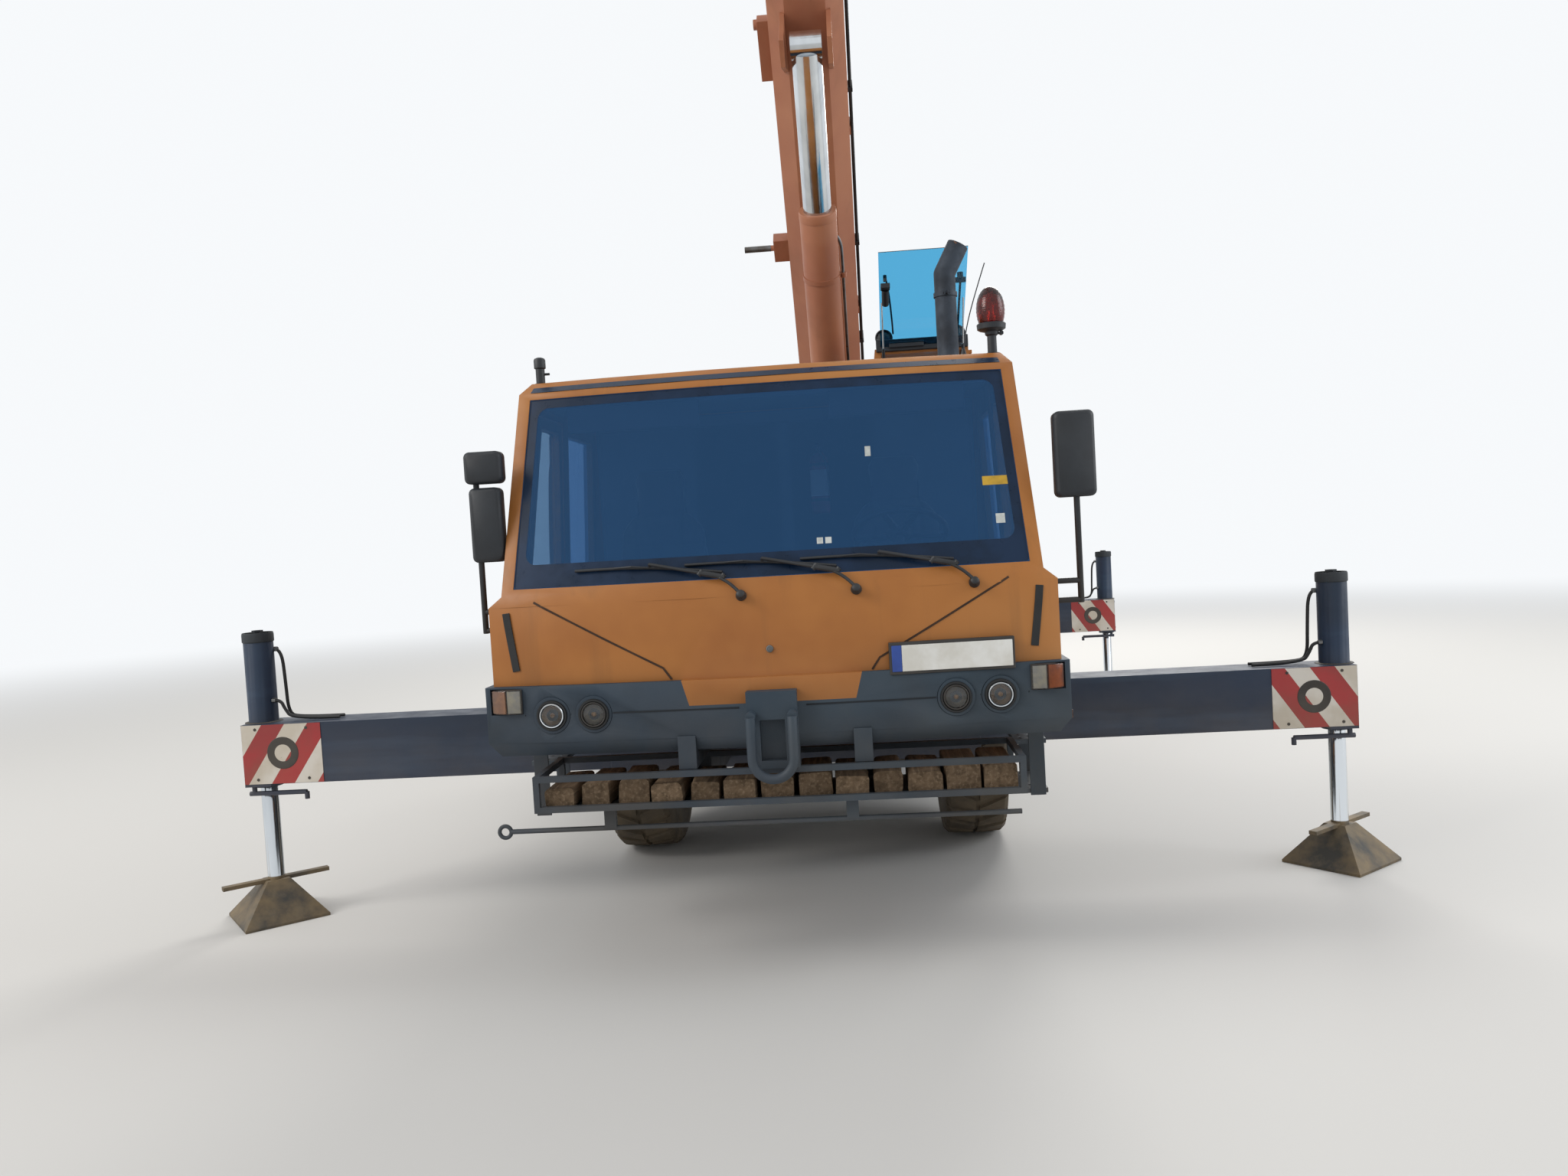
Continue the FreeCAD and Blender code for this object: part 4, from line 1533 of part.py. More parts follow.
# Hook block below the head, on its rope falls
HEAD_Y = "nose + head_setback"
BLOCK_Z = "head_height - hook_drop"
block_parts = [
    cross_bar("block_sheave_bar", "0", "0", "block_sheave_radius", "block_half_width - head_cheek - 5"),
    cross_bar("block_shaft", "0", "0", "winch_shaft_radius", "block_half_width + 20"),
]
for side, low in (("left", "block_half_width - head_cheek"), ("right", "-block_half_width")):
    block_parts.append(slab(f"block_cheek_{side}", "YZ",
                            (("-150", "120"), ("-80", "215"), ("80", "215"), ("150", "120"),
                             ("150", "-150"),
                             ("80", "-300"), ("-80", "-300"), ("-150", "-150")), low, "head_cheek"))
block_parts.append(block("block_yoke", ("-block_half_width", "-80", "-300"),
                         ("block_half_width", "80", "-220")))
block_body = less("block_body", fused("block_whole", block_parts),
                  [bar("block_swivel_bore", ("0", "0", "-301"), "Z", "hook_bar_radius + pin_gap", "82")])
put(block_body, "boom_place", HEAD_Y, BLOCK_Z)
node("hook_block", block_body)

# The falls end where they meet the head sheaves' rims
FALL_TOP = "sqrt((sheave_radius + pin_gap) ^ 2 - (block_sheave_radius + pin_gap) ^ 2)"
falls = []
for index, (x, sense) in enumerate(((55, -1), (-55, -1), (55, 1), (-55, 1))):
    y = f"{HEAD_Y} + {sense} * (block_sheave_radius + rope_radius + pin_gap)"
    falls.append(bar(f"rope_fall_{index}", (f"boom_place + {x}", y, BLOCK_Z), "Z", "rope_radius",
                     f"hook_drop - {FALL_TOP}"))
node("hoist_falls", group("rope_falls", falls))


def hook_shape():
    """A single hook: shank, round throat and upturned tip."""
    bar_radius = size("hook_bar_radius")
    throat = size("hook_throat_radius") + bar_radius
    centre = FreeCAD.Vector(size("boom_place"), size("nose") + size("head_setback"),
                            size("head_height") - size("hook_drop") - 300 - 2.6 * throat)
    start = centre + FreeCAD.Vector(0, 0, throat)
    side = centre + FreeCAD.Vector(0, throat, 0)
    bottom = centre - FreeCAD.Vector(0, 0, throat)
    tip = centre - FreeCAD.Vector(0, throat, 0)
    bend = Part.Arc(start, side, bottom).toShape()
    rise = Part.Arc(bottom, centre - FreeCAD.Vector(0, throat * math.sqrt(0.5), throat * math.sqrt(0.5)),
                    tip).toShape()
    ring = Part.Wire(Part.makeCircle(bar_radius, start, FreeCAD.Vector(0, 1, 0)))
    curved = Part.Wire([bend, rise]).makePipeShell([ring], True, True)
    shank = Part.makeCylinder(bar_radius, 1.6 * throat + 130 + size("turn_gap"),
                              start - FreeCAD.Vector(0, 0, 10))
    nut = Part.makeCylinder(bar_radius * 1.6, 40,
                            centre + FreeCAD.Vector(0, 0, 2.6 * throat + 80 + size("turn_gap")))
    return curved.fuse([shank, nut]).removeSplitter()


node("lifting_hook", made("hook", hook_shape()))

# Every object is worked out and every piece checked before anything is written
doc.recompute()
failed = [item.Name for item in doc.Objects if "Invalid" in item.State or "Error" in item.State]
if failed:
    raise SystemExit(f"failed objects: {failed}")
os.makedirs("parts", exist_ok=True)
for label, item in NODES.items():
    shape = item.Shape
    if shape.isNull() or not shape.isValid() or shape.Volume <= 0:
        raise SystemExit(f"{label} has no valid shape")
for label, item in NODES.items():
    item.Shape.exportStep(f"parts/{label}.step")
print(len(NODES), "pieces written")
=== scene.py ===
# %% [markdown]
# # A mobile crane on its outriggers
# The model that this script loads already holds every piece at its real size: cab, boom, beams, wheels.
# What it lacks is the look: paint, glass, rubber, timber, and the many small things that nobody would cut
# from solid, such as wipers, hoses, tyre tread and wheel nuts. The script adds them one step at a time.
# Every new piece rides on the body that carries it on the real machine, so that it moves when the boom or a
# wheel moves.
# %% Load the frame
import math
import random

import bmesh
import bpy
from mathutils import Matrix, Vector


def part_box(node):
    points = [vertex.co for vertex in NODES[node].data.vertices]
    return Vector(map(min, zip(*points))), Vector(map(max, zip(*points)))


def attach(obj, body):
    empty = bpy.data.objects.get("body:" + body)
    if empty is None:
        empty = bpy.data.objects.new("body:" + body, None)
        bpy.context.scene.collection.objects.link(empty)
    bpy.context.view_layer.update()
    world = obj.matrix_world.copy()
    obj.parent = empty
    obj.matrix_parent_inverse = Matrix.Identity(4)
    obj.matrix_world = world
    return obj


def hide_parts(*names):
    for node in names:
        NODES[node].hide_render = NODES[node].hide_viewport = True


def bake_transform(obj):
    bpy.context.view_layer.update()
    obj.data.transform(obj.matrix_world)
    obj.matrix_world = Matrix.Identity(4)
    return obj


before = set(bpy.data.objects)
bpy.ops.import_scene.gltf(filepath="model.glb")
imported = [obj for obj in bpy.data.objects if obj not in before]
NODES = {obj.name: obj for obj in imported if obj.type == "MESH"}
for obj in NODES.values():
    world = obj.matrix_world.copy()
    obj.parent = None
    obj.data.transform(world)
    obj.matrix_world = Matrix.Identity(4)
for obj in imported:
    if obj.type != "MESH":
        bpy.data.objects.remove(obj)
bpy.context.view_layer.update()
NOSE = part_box("cab_shell")[0].y
random.seed(7)

# %% [markdown]
# ## The camera
# The photographer stood in front of the machine, a little to one side, and held the telephone slightly
# askew. The values come from matching corners whose real places are known: the cab, both beams and the rear
# outrigger. A lens of about 27 mm on a 36 mm wide sensor gives the strong perspective. The small roll tilts
# the beams as in the picture.
# %% Camera
CAMERA_PLACE = Vector((0.417, NOSE - 4.926, 1.973))
CAMERA_YAW, CAMERA_PITCH, CAMERA_ROLL = -3.93, -2.63, -3.32
PICTURE_WIDTH = 2048
FOCAL_PIXELS = 1514.4

camera_data = bpy.data.cameras.new("front_camera")
camera_data.sensor_width = 36
camera_data.lens = FOCAL_PIXELS / PICTURE_WIDTH * camera_data.sensor_width
camera_data.clip_end = 200
camera = bpy.data.objects.new("front_camera", camera_data)
bpy.context.scene.collection.objects.link(camera)
turn = Matrix.Rotation(math.radians(-CAMERA_YAW), 4, "Z")
tilt = Matrix.Rotation(math.radians(90 + CAMERA_PITCH), 4, "X")
roll = Matrix.Rotation(math.radians(CAMERA_ROLL), 4, "Z")
camera.matrix_world = Matrix.Translation(CAMERA_PLACE) @ turn @ tilt @ roll
bpy.context.scene.camera = camera
print("lens in mm:", round(camera_data.lens, 1))

# %% [markdown]
# ## Floor and light
# A studio set is a pale floor that runs on to a pale backdrop. The backdrop here is the world itself: Light
# Path lets the camera, and what mirrors or passes light, see it almost white, while the world lights the
# machine at a calmer level. Three wide area lamps give soft shadows: one high in front, one from the side,
# and one from behind that draws a bright edge along the roof and the beams.
# %% Floor, world and lamps
FLOOR_COLOUR = (0.62, 0.61, 0.59, 1)
BACKDROP_COLOUR = (0.93, 0.95, 0.97, 1)
WORLD_LEVEL = 0.62
FLOOR_REACH = 60.0
FADE_START, FADE_END = 9.0, 26.0

floor_mesh = bpy.data.meshes.new("floor")
floor_corners = [(x * FLOOR_REACH, y * FLOOR_REACH, 0) for x, y in ((-1, -1), (1, -1), (1, 1), (-1, 1))]
floor_mesh.from_pydata(floor_corners, [], [(0, 1, 2, 3)])
floor = bpy.data.objects.new("floor", floor_mesh)
bpy.context.scene.collection.objects.link(floor)
floor_finish = bpy.data.materials.new("floor")
floor_finish.use_nodes = True
floor_nodes, floor_links = floor_finish.node_tree.nodes, floor_finish.node_tree.links
floor_shader = floor_nodes["Principled BSDF"]
floor_shader.inputs["Base Color"].default_value = FLOOR_COLOUR
floor_shader.inputs["Roughness"].default_value = 0.9
floor_place = floor_nodes.new("ShaderNodeTexCoord")
floor_far = floor_nodes.new("ShaderNodeVectorMath")
floor_far.operation = "LENGTH"
fade = floor_nodes.new("ShaderNodeMapRange")
fade.interpolation_type = "SMOOTHSTEP"
fade.inputs["From Min"].default_value = FADE_START
fade.inputs["From Max"].default_value = FADE_END
haze = floor_nodes.new("ShaderNodeEmission")
haze.inputs["Color"].default_value = BACKDROP_COLOUR
blend_floor = floor_nodes.new("ShaderNodeMixShader")
floor_links.new(floor_place.outputs["Object"], floor_far.inputs[0])
floor_links.new(floor_far.outputs["Value"], fade.inputs["Value"])
floor_links.new(fade.outputs["Result"], blend_floor.inputs["Fac"])
floor_links.new(floor_shader.outputs["BSDF"], blend_floor.inputs[1])
floor_links.new(haze.outputs["Emission"], blend_floor.inputs[2])
floor_links.new(blend_floor.outputs["Shader"], floor_nodes["Material Output"].inputs["Surface"])
floor_mesh.materials.append(floor_finish)

world = bpy.data.worlds.new("studio")
bpy.context.scene.world = world
world.use_nodes = True
tree = world.node_tree
backdrop = tree.nodes["Background"]
backdrop.inputs["Color"].default_value = BACKDROP_COLOUR
path = tree.nodes.new("ShaderNodeLightPath")
seen = tree.nodes.new("ShaderNodeMath")
seen.operation = "MAXIMUM"
seen_too = tree.nodes.new("ShaderNodeMath")
seen_too.operation = "MAXIMUM"
level = tree.nodes.new("ShaderNodeMapRange")
level.inputs["To Min"].default_value = WORLD_LEVEL
level.inputs["To Max"].default_value = 1.0
tree.links.new(path.outputs["Is Camera Ray"], seen.inputs[0])
tree.links.new(path.outputs["Is Glossy Ray"], seen.inputs[1])
tree.links.new(seen.outputs[0], seen_too.inputs[0])
tree.links.new(path.outputs["Is Transmission Ray"], seen_too.inputs[1])
tree.links.new(seen_too.outputs[0], level.inputs["Value"])
tree.links.new(level.outputs["Result"], backdrop.inputs["Strength"])


def area_lamp(name, place, aim, size, power, colour=(1, 1, 1)):
    """A square soft lamp that looks at a point."""
    data = bpy.data.lights.new(name, "AREA")
    data.size = size
    data.energy = power
    data.color = colour
    lamp = bpy.data.objects.new(name, data)
    bpy.context.scene.collection.objects.link(lamp)
    lamp.location = place
    lamp.rotation_euler = (Vector(aim) - Vector(place)).to_track_quat("-Z", "Y").to_euler()


area_lamp("key_lamp", (-15, NOSE - 7, 12), (0, 0, 2), 9, 1900, (1, 0.97, 0.93))
area_lamp("side_lamp", (13, -3, 7), (0, 0, 2), 8, 700, (0.93, 0.96, 1))
area_lamp("rear_lamp", (4, 12, 12), (0, 0, 2), 8, 1600, (1, 0.98, 0.94))
view_settings = bpy.context.scene.view_settings
view_settings.view_transform = "Standard"

# %% [markdown]
# ## A way to write finishes
# Each finish is one Principled shader whose colour passes through a few steps: a slow noise that varies the
# paint, dust that gathers low on the machine, chips along worn areas, and a fine bump. The class below
# keeps the colour socket that comes last, so each step is one call and a finish reads like a recipe.
# %% Finish recipes


def tint(text):
    """A colour written as six hex digits, as the shader's linear values."""
    parts = [int(text[i:i + 2], 16) / 255 for i in (0, 2, 4)]
    return tuple(p / 12.92 if p <= 0.04045 else ((p + 0.055) / 1.055) ** 2.4 for p in parts) + (1,)


class Finish:
    """A node material that is built step by step."""

    def __init__(self, name, colour, roughness=0.5, metallic=0.0):
        self.name = name
        self.material = bpy.data.materials.new(name)
        self.material.use_nodes = True
        self.nodes = self.material.node_tree.nodes
        self.links = self.material.node_tree.links
        self.shader = self.nodes["Principled BSDF"]
        self.shader.inputs["Base Color"].default_value = tint(colour)
        self.shader.inputs["Roughness"].default_value = roughness
        self.shader.inputs["Metallic"].default_value = metallic
        self.place = self.nodes.new("ShaderNodeTexCoord").outputs["Object"]
        self.last = None
        self.first = tint(colour)
        self.height = None

    def socket(self, name, value):
        """A value that is the same all over, set on the shader."""
        self.shader.inputs[name].default_value = value
        return self

    def noise(self, scale, detail=4.0, stretch=(1, 1, 1), roughness=0.6):
        """Noise in metres of the machine's own frame."""
        source = self.place
        if stretch != (1, 1, 1):
            mapping = self.nodes.new("ShaderNodeMapping")
            mapping.inputs["Scale"].default_value = stretch
            self.links.new(self.place, mapping.inputs["Vector"])
            source = mapping.outputs["Vector"]
        node = self.nodes.new("ShaderNodeTexNoise")
        node.inputs["Scale"].default_value = scale
        node.inputs["Detail"].default_value = detail
        node.inputs["Roughness"].default_value = roughness
        self.links.new(source, node.inputs["Vector"])
        return node.outputs["Fac"]

    def ranged(self, value, low, high, to_low=0.0, to_high=1.0):
        """A value carried from one range to another, and kept inside it."""
        node = self.nodes.new("ShaderNodeMapRange")
        for name, number in (("From Min", low), ("From Max", high), ("To Min", to_low), ("To Max", to_high)):
            node.inputs[name].default_value = number
        self.links.new(value, node.inputs["Value"])
        return node.outputs["Result"]

    def times(self, one, other, operation="MULTIPLY"):
        """Two values joined by a sum or product; the second may be a number."""
        node = self.nodes.new("ShaderNodeMath")
        node.operation = operation
        self.links.new(one, node.inputs[0])
        if isinstance(other, (int, float)):
            node.inputs[1].default_value = other
        else:
            self.links.new(other, node.inputs[1])
        return node.outputs[0]

    def cover(self, amount, colour):
        """Lays a colour over what is there, by an amount from 0 to 1."""
        node = self.nodes.new("ShaderNodeMix")
        node.data_type = "RGBA"
        self.links.new(amount, node.inputs[0])
        if self.last is None:
            node.inputs[6].default_value = self.first
        else:
            self.links.new(self.last, node.inputs[6])
        node.inputs[7].default_value = tint(colour)
        self.last = node.outputs[2]
        self.links.new(self.last, self.shader.inputs["Base Color"])
        return self

    def vary(self, colour, scale=1.5, low=0.42, high=0.62, stretch=(1, 1, 1)):
        """Patches of a second colour with soft edges."""
        return self.cover(self.ranged(self.noise(scale, stretch=stretch), low, high), colour)

    def dust(self, colour, bottom, top, strength=0.6, scale=3.0):
        """Dust that is thick below one height and thins out up to another."""
        split = self.nodes.new("ShaderNodeSeparateXYZ")
        self.links.new(self.place, split.inputs[0])
        low_down = self.ranged(split.outputs["Z"], bottom, top, strength, 0.0)
        return self.cover(self.times(low_down, self.ranged(self.noise(scale, 8), 0.3, 0.6, 0.35, 1)), colour)

    def chips(self, colour, scale=30.0, share=0.66):
        """Small hard-edged spots where the paint is gone."""
        return self.cover(self.ranged(self.noise(scale, 6, roughness=0.7), share, share + 0.02), colour)

    def streaks(self, colour, scale=6.0, low=0.55, high=0.75, strength=0.5):
        """Runs of dirt that water draws down a wall."""
        value = self.ranged(self.noise(scale, 5, stretch=(1, 1, 0.08)), low, high, 0, strength)
        return self.cover(value, colour)

    def gloss(self, low, high, scale=8.0):
        """Roughness that wanders between two values."""
        value = self.ranged(self.noise(scale, 6), 0.3, 0.7, low, high)
        self.links.new(value, self.shader.inputs["Roughness"])
        return self

    def relief(self, scale, depth, detail=3.0, stretch=(1, 1, 1)):
        """A fine bump; depth is in metres."""
        bump = self.nodes.new("ShaderNodeBump")
        bump.inputs["Strength"].default_value = 1.0
        bump.inputs["Distance"].default_value = depth
        self.links.new(self.noise(scale, detail, stretch), bump.inputs["Height"])
        if self.height is not None:
            self.links.new(self.height, bump.inputs["Normal"])
        self.height = bump.outputs["Normal"]
        self.links.new(self.height, self.shader.inputs["Normal"])
        return self


# %% [markdown]
# ## The finishes
# The bodywork is an ochre orange, written duller and darker than its paint as painted shade, the carrier a
# blue-grey that is nearly black in shadow. The beams are the same blue-grey, scuffed where they slide. Dust
# is the colour of the yard's dry clay and only shows low down. Chrome rods are true metal with a trace of
# oil.
# %% Paint, metal, glass, rubber and timber
DUST = "A8906C"
# The ochre is written duller and darker than the machine's paint: painted shade.
ochre = Finish("ochre_paint", "A86C34").vary("985E2C", 1.1).vary("B07840", 0.6, 0.5, 0.7)
ochre.streaks("7A5430", 5.0).dust(DUST, 0.9, 1.5, 0.22).chips("5A4026", 34, 0.71)
ochre.gloss(0.36, 0.54).relief(260, 0.0002).socket("Specular IOR Level", 0.35)
boom_ochre = Finish("boom_paint", "A86E50").vary("9A6046", 0.9).vary("B27C5C", 0.5, 0.5, 0.7)
boom_ochre.streaks("85583E", 4.0).chips("6B4A30", 30, 0.72)
boom_ochre.gloss(0.38, 0.55).relief(220, 0.0002).socket("Specular IOR Level", 0.35)
slate = Finish("slate_paint", "2B3A48").vary("23313D", 1.6).vary("344552", 0.7, 0.5, 0.7)
slate.dust(DUST, 0.55, 1.5, 0.16).chips("6A6258", 40, 0.73)
slate.gloss(0.46, 0.64).relief(200, 0.0003).socket("Specular IOR Level", 0.3)
beam_slate = Finish("beam_paint", "24344A").vary("1D2B3D", 1.2, stretch=(0.3, 1, 1))
beam_slate.vary("304257", 2.0, 0.52, 0.72, (0.25, 1, 2)).dust(DUST, 0.7, 1.2, 0.12).chips("7C746A", 45, 0.73)
beam_slate.gloss(0.38, 0.6).relief(150, 0.0003, stretch=(0.2, 1, 1)).socket("Specular IOR Level", 0.35)
under = Finish("underbody_paint", "23282D").vary("2E3338", 2.0).dust(DUST, 0.2, 1.4, 0.55, 4)
under.gloss(0.6, 0.8).relief(60, 0.001)
# The black is tinted slightly blue, a painted blue cast of skylight on shaded plastic.
black = Finish("black_plastic", "14181D").vary("1D2228", 3.0).dust(DUST, 0.5, 2.0, 0.15)
black.gloss(0.45, 0.62).relief(500, 0.0002)
chrome = Finish("chrome", "D5D9DC", 0.16, 1.0).vary("B9BEC2", 3.0, stretch=(1, 1, 0.2)).gloss(0.1, 0.22, 20)
steel = Finish("bare_steel", "77797A", 0.45, 0.9).vary("5E5A56", 6.0).chips("6A4128", 25, 0.62)
steel.gloss(0.35, 0.6).relief(90, 0.0005)
stack_steel = Finish("stack_steel", "363E48", 0.55, 0.5).vary("2A3038", 7.0).chips("6B4A36", 14, 0.68)
stack_steel.gloss(0.5, 0.75).relief(80, 0.0006)
rubber = Finish("tyre_rubber", "1F1F20", 0.75).vary("2A2926", 3.0).dust(DUST, -0.2, 1.3, 0.35, 5)
rubber.gloss(0.65, 0.85).relief(120, 0.0008)
rubber_trim = Finish("rubber_trim", "151617", 0.6).gloss(0.5, 0.7).relief(300, 0.0003)
rim_paint = Finish("rim_paint", "B9BABA").vary("A3A19C", 4.0).dust(DUST, 0.2, 1.2, 0.5, 5)
rim_paint.chips("6A5140", 30, 0.68).gloss(0.4, 0.6).relief(140, 0.0003)
seat_cloth = Finish("seat_cloth", "3A3D42", 0.9).vary("2F3236", 30).relief(900, 0.0006)
seat_cloth.socket("Sheen Weight", 0.3)
dash_plastic = Finish("dash_plastic", "2A2D31", 0.6).vary("33363A", 4).relief(700, 0.0003)
panel_grey = Finish("cab_lining", "6C7176", 0.8).vary("60656A", 2.0).relief(300, 0.0004)
white_paint = Finish("white_paint", "D9D4CB", 0.45).vary("C8C0B2", 3.0).dust(DUST, 0.6, 1.3, 0.3, 6)
white_paint.chips("8C8070", 50, 0.7)
red_paint = Finish("red_paint", "A3262C", 0.42).vary("8E2228", 3.0).dust(DUST, 0.6, 1.3, 0.2, 6)
red_paint.chips("6A2A28", 50, 0.7)
blue_band = Finish("blue_band", "2A4A9A", 0.4).vary("24428C", 8)
print("finishes so far:", len(bpy.data.materials))

# %% [markdown]
# ## Dressing the loaded pieces
# The loaded pieces have knife-sharp edges, and real sheet metal doesn't. A Weld modifier joins the loose
# triangles, a planar Decimate turns them back into whole faces, and a narrow Bevel rounds each sharp edge
# so that it catches the light. Modifiers leave the loaded mesh itself alone, so the piece stays exactly
# where it was.
# %% Finishes for the loaded nodes
NODE_FINISH = {
    "cab_shell": ochre, "door_left": ochre, "door_right": ochre, "crane_cab": ochre, "crane_cab_door": ochre,
    "boom_base": boom_ochre, "tele_1": boom_ochre, "tele_2": boom_ochre, "tele_3": boom_ochre,
    "turntable": ochre,
    "counterweight": ochre, "luff_barrel": boom_ochre, "luff_rod": chrome, "winch_drum": slate,
    "hook_block": ochre,
    "chassis_frame": slate, "front_bumper": slate, "front_rack": slate, "deck": slate, "side_lockers": slate,
    "slew_ring": under, "engine_block": under, "axle_front": under, "axle_rear": under,
    "exhaust_stack": stack_steel,
    "lifting_hook": steel, "hoist_falls": steel,
}
EDGE_WIDTH = {"counterweight": 0.02, "cab_shell": 0.006, "front_bumper": 0.008, "turntable": 0.006}
USUAL_EDGE = 0.003
PLAIN_NODES = ("hoist_falls", "luff_rod")


def by_prefix(name):
    """The finish of nodes that come in sets."""
    for start, finish in (("outrigger_", beam_slate), ("jack_", chrome), ("knuckle_", under),
                          ("tyre_", rubber),
                          ("rim_", rim_paint)):
        if name.startswith(start):
            return finish
    return NODE_FINISH.get(name)


def soften(obj, width):
    """Rounds the sharp edges of a loaded piece with modifiers."""
    weld = obj.modifiers.new("weld", "WELD")
    weld.merge_threshold = 0.00005
    plane = obj.modifiers.new("whole_faces", "DECIMATE")
    plane.decimate_type = "DISSOLVE"
    plane.angle_limit = math.radians(1.5)
    bevel = obj.modifiers.new("soft_edges", "BEVEL")
    bevel.width = width
    bevel.segments = 2
    bevel.limit_method = "ANGLE"
    bevel.angle_limit = math.radians(40)
    bevel.harden_normals = True


def paint_node(name, finish):
    """Gives a loaded node its finish."""
    materials = NODES[name].data.materials
    materials.clear()
    materials.append(finish.material)


for name, obj in NODES.items():
    finish = by_prefix(name)
    if finish is None:
        continue
    paint_node(name, finish)
    if name not in PLAIN_NODES:
        soften(obj, EDGE_WIDTH.get(name, USUAL_EDGE))
print("loaded nodes:", len(NODES))

# %% [markdown]
# ## Tools for building pieces
# The functions below draw into a bmesh, in metres of the machine's frame: a box, a round bar, a turned
# shape, a plate cut from an outline, a loft from ring to ring, a flat band. `show` turns the result into an
# object with a finish and hangs it on the body that carries it; `boxes` and `spun` do both steps for the
# simplest pieces.
# `Skin` finds the loaded surface behind a point, so that thin pieces such as the wipers lie on the curved
# nose or screen and neither float nor sink.
# %% Drawing and placing
from mathutils.bvhtree import BVHTree


def slab(bm, one, other):
    """A box between two opposite corners."""
    low = Vector([min(pair) for pair in zip(one, other)])
    high = Vector([max(pair) for pair in zip(one, other)])
    made = bmesh.ops.create_cube(bm, size=1)["verts"]
    bmesh.ops.scale(bm, vec=high - low, verts=made)
    bmesh.ops.translate(bm, vec=(low + high) / 2, verts=made)
    return made


def rod(bm, start, end, radius, sides=16, far_radius=None):
    """A round bar, or a cone, between two points."""
    start, end = Vector(start), Vector(end)
    run = end - start
    far_radius = radius if far_radius is None else far_radius
    made = bmesh.ops.create_cone(bm, cap_ends=True, segments=sides, radius1=radius, radius2=far_radius,
                                 depth=run.length)["verts"]
    place = Matrix.Translation((start + end) / 2) @ run.to_track_quat("Z", "Y").to_matrix().to_4x4()
    bmesh.ops.transform(bm, matrix=place, verts=made)
    return made


def turned(bm, profile, base, axis, sides=32, closed=False):
    """A shape turned round an axis; the profile holds distances along it and radii."""
    base, axis = Vector(base), Vector(axis).normalized()
    across = axis.orthogonal().normalized()
    other = axis.cross(across)
    rings = []
    for along, radius in profile:
        middle = base + axis * along
        if radius == 0:
            rings.append([bm.verts.new(middle)])
            continue
        rings.append([bm.verts.new(middle + radius * (across * math.cos(a) + other * math.sin(a)))
                      for a in (2 * math.pi * i / sides for i in range(sides))])
    pairs = list(zip(rings, rings[1:]))
    if closed:
        pairs.append((rings[-1], rings[0]))
    for one, two in pairs:
        for i in range(sides):
            j = (i + 1) % sides
            corners = [one[i % len(one)], one[j % len(one)], two[j % len(two)], two[i % len(two)]]
            corners = list(dict.fromkeys(corners))
            if len(corners) > 2:
                bm.faces.new(corners)
    return [v for ring in rings for v in ring]


def plate(bm, outline, direction):
    """A plate: an outline of points, and how far and which way it is thick."""
    front = [bm.verts.new(Vector(p)) for p in outline]
    back = [bm.verts.new(Vector(p) + Vector(direction)) for p in outline]
    bm.faces.new(front)
    bm.faces.new(back[::-1])
    count = len(front)
    for i in range(count):
        j = (i + 1) % count
        bm.faces.new((front[i], back[i], back[j], front[j]))
    return front + back


def loft(bm, rings, capped=True):
    """Faces from one ring of points to the next; capped closes both ends."""
    count = len(rings[0])
    for one, two in zip(rings, rings[1:]):
        for i in range(count):
            j = (i + 1) % count
            bm.faces.new((one[i], one[j], two[j], two[i]))
    if capped:
        bm.faces.new(rings[0])
        bm.faces.new(rings[-1][::-1])


def band(bm, base, axis, start, width, inner, outer, sides=36):
    """A flat ring round an axis, from a start along it."""
    profile = [(start, inner), (start, outer), (start + width, outer), (start + width, inner)]
    turned(bm, profile, base, axis, sides, closed=True)


def chain(start, *steps):
    """Points, each given by how far it lies from a start."""
    return [start + Vector(step) for step in steps]


def place_piece(obj, body):
    """Puts a new object in the scene and on its body."""
    bpy.context.scene.collection.objects.link(obj)
    if body:
        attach(obj, body)


def show(bm, name, finish, body="carrier", slot=None, bevel=0.0, smooth_angle=35):
    """Makes an object of what was drawn, and hangs it on a body."""
    finishes = finish if isinstance(finish, tuple) else (finish,)
    bmesh.ops.recalc_face_normals(bm, faces=bm.faces)
    mesh = bpy.data.meshes.new(name)
    bm.to_mesh(mesh)
    bm.free()
    mesh.shade_smooth()
    mesh.set_sharp_from_angle(angle=math.radians(smooth_angle))
    for item in finishes:
        mesh.materials.append(item.material)
    obj = bpy.data.objects.new(name, mesh)
    if bevel:
        edge = obj.modifiers.new("soft_edges", "BEVEL")
        edge.width = bevel
        edge.segments = 2
        edge.limit_method = "ANGLE"
        edge.angle_limit = math.radians(smooth_angle)
        edge.harden_normals = True
    place_piece(obj, body)
    return obj


def boxes(name, finish, *corners, **look):
    """A piece of one or more boxes, each given by two corners."""
    bm = bmesh.new()
    for one, other in corners:
        slab(bm, one, other)
    return show(bm, name, finish, **look)


def spun(name, finish, profile, base, axis, sides, **look):
    """A piece that is one turned shape."""
    bm = bmesh.new()
    turned(bm, profile, base, axis, sides)
    return show(bm, name, finish, **look)


def pipe(name, points, radius, finish, body="carrier", straight=False, sides=3):
    """A pipe, hose or bent bar along points; straight keeps its runs straight."""
    data = bpy.data.curves.new(name, "CURVE")
    data.dimensions = "3D"
    data.bevel_depth = radius
    data.bevel_resolution = sides
    data.use_fill_caps = True
    spline = data.splines.new("POLY" if straight else "NURBS")
    spline.points.add(len(points) - 1)
    for knot, point in zip(spline.points, points):
        knot.co = (*point, 1)
    if not straight:
        spline.order_u = 3
        spline.use_endpoint_u = True
        spline.resolution_u = 8
    data.materials.append(finish.material)
    obj = bpy.data.objects.new(name, data)
    place_piece(obj, body)
    return obj


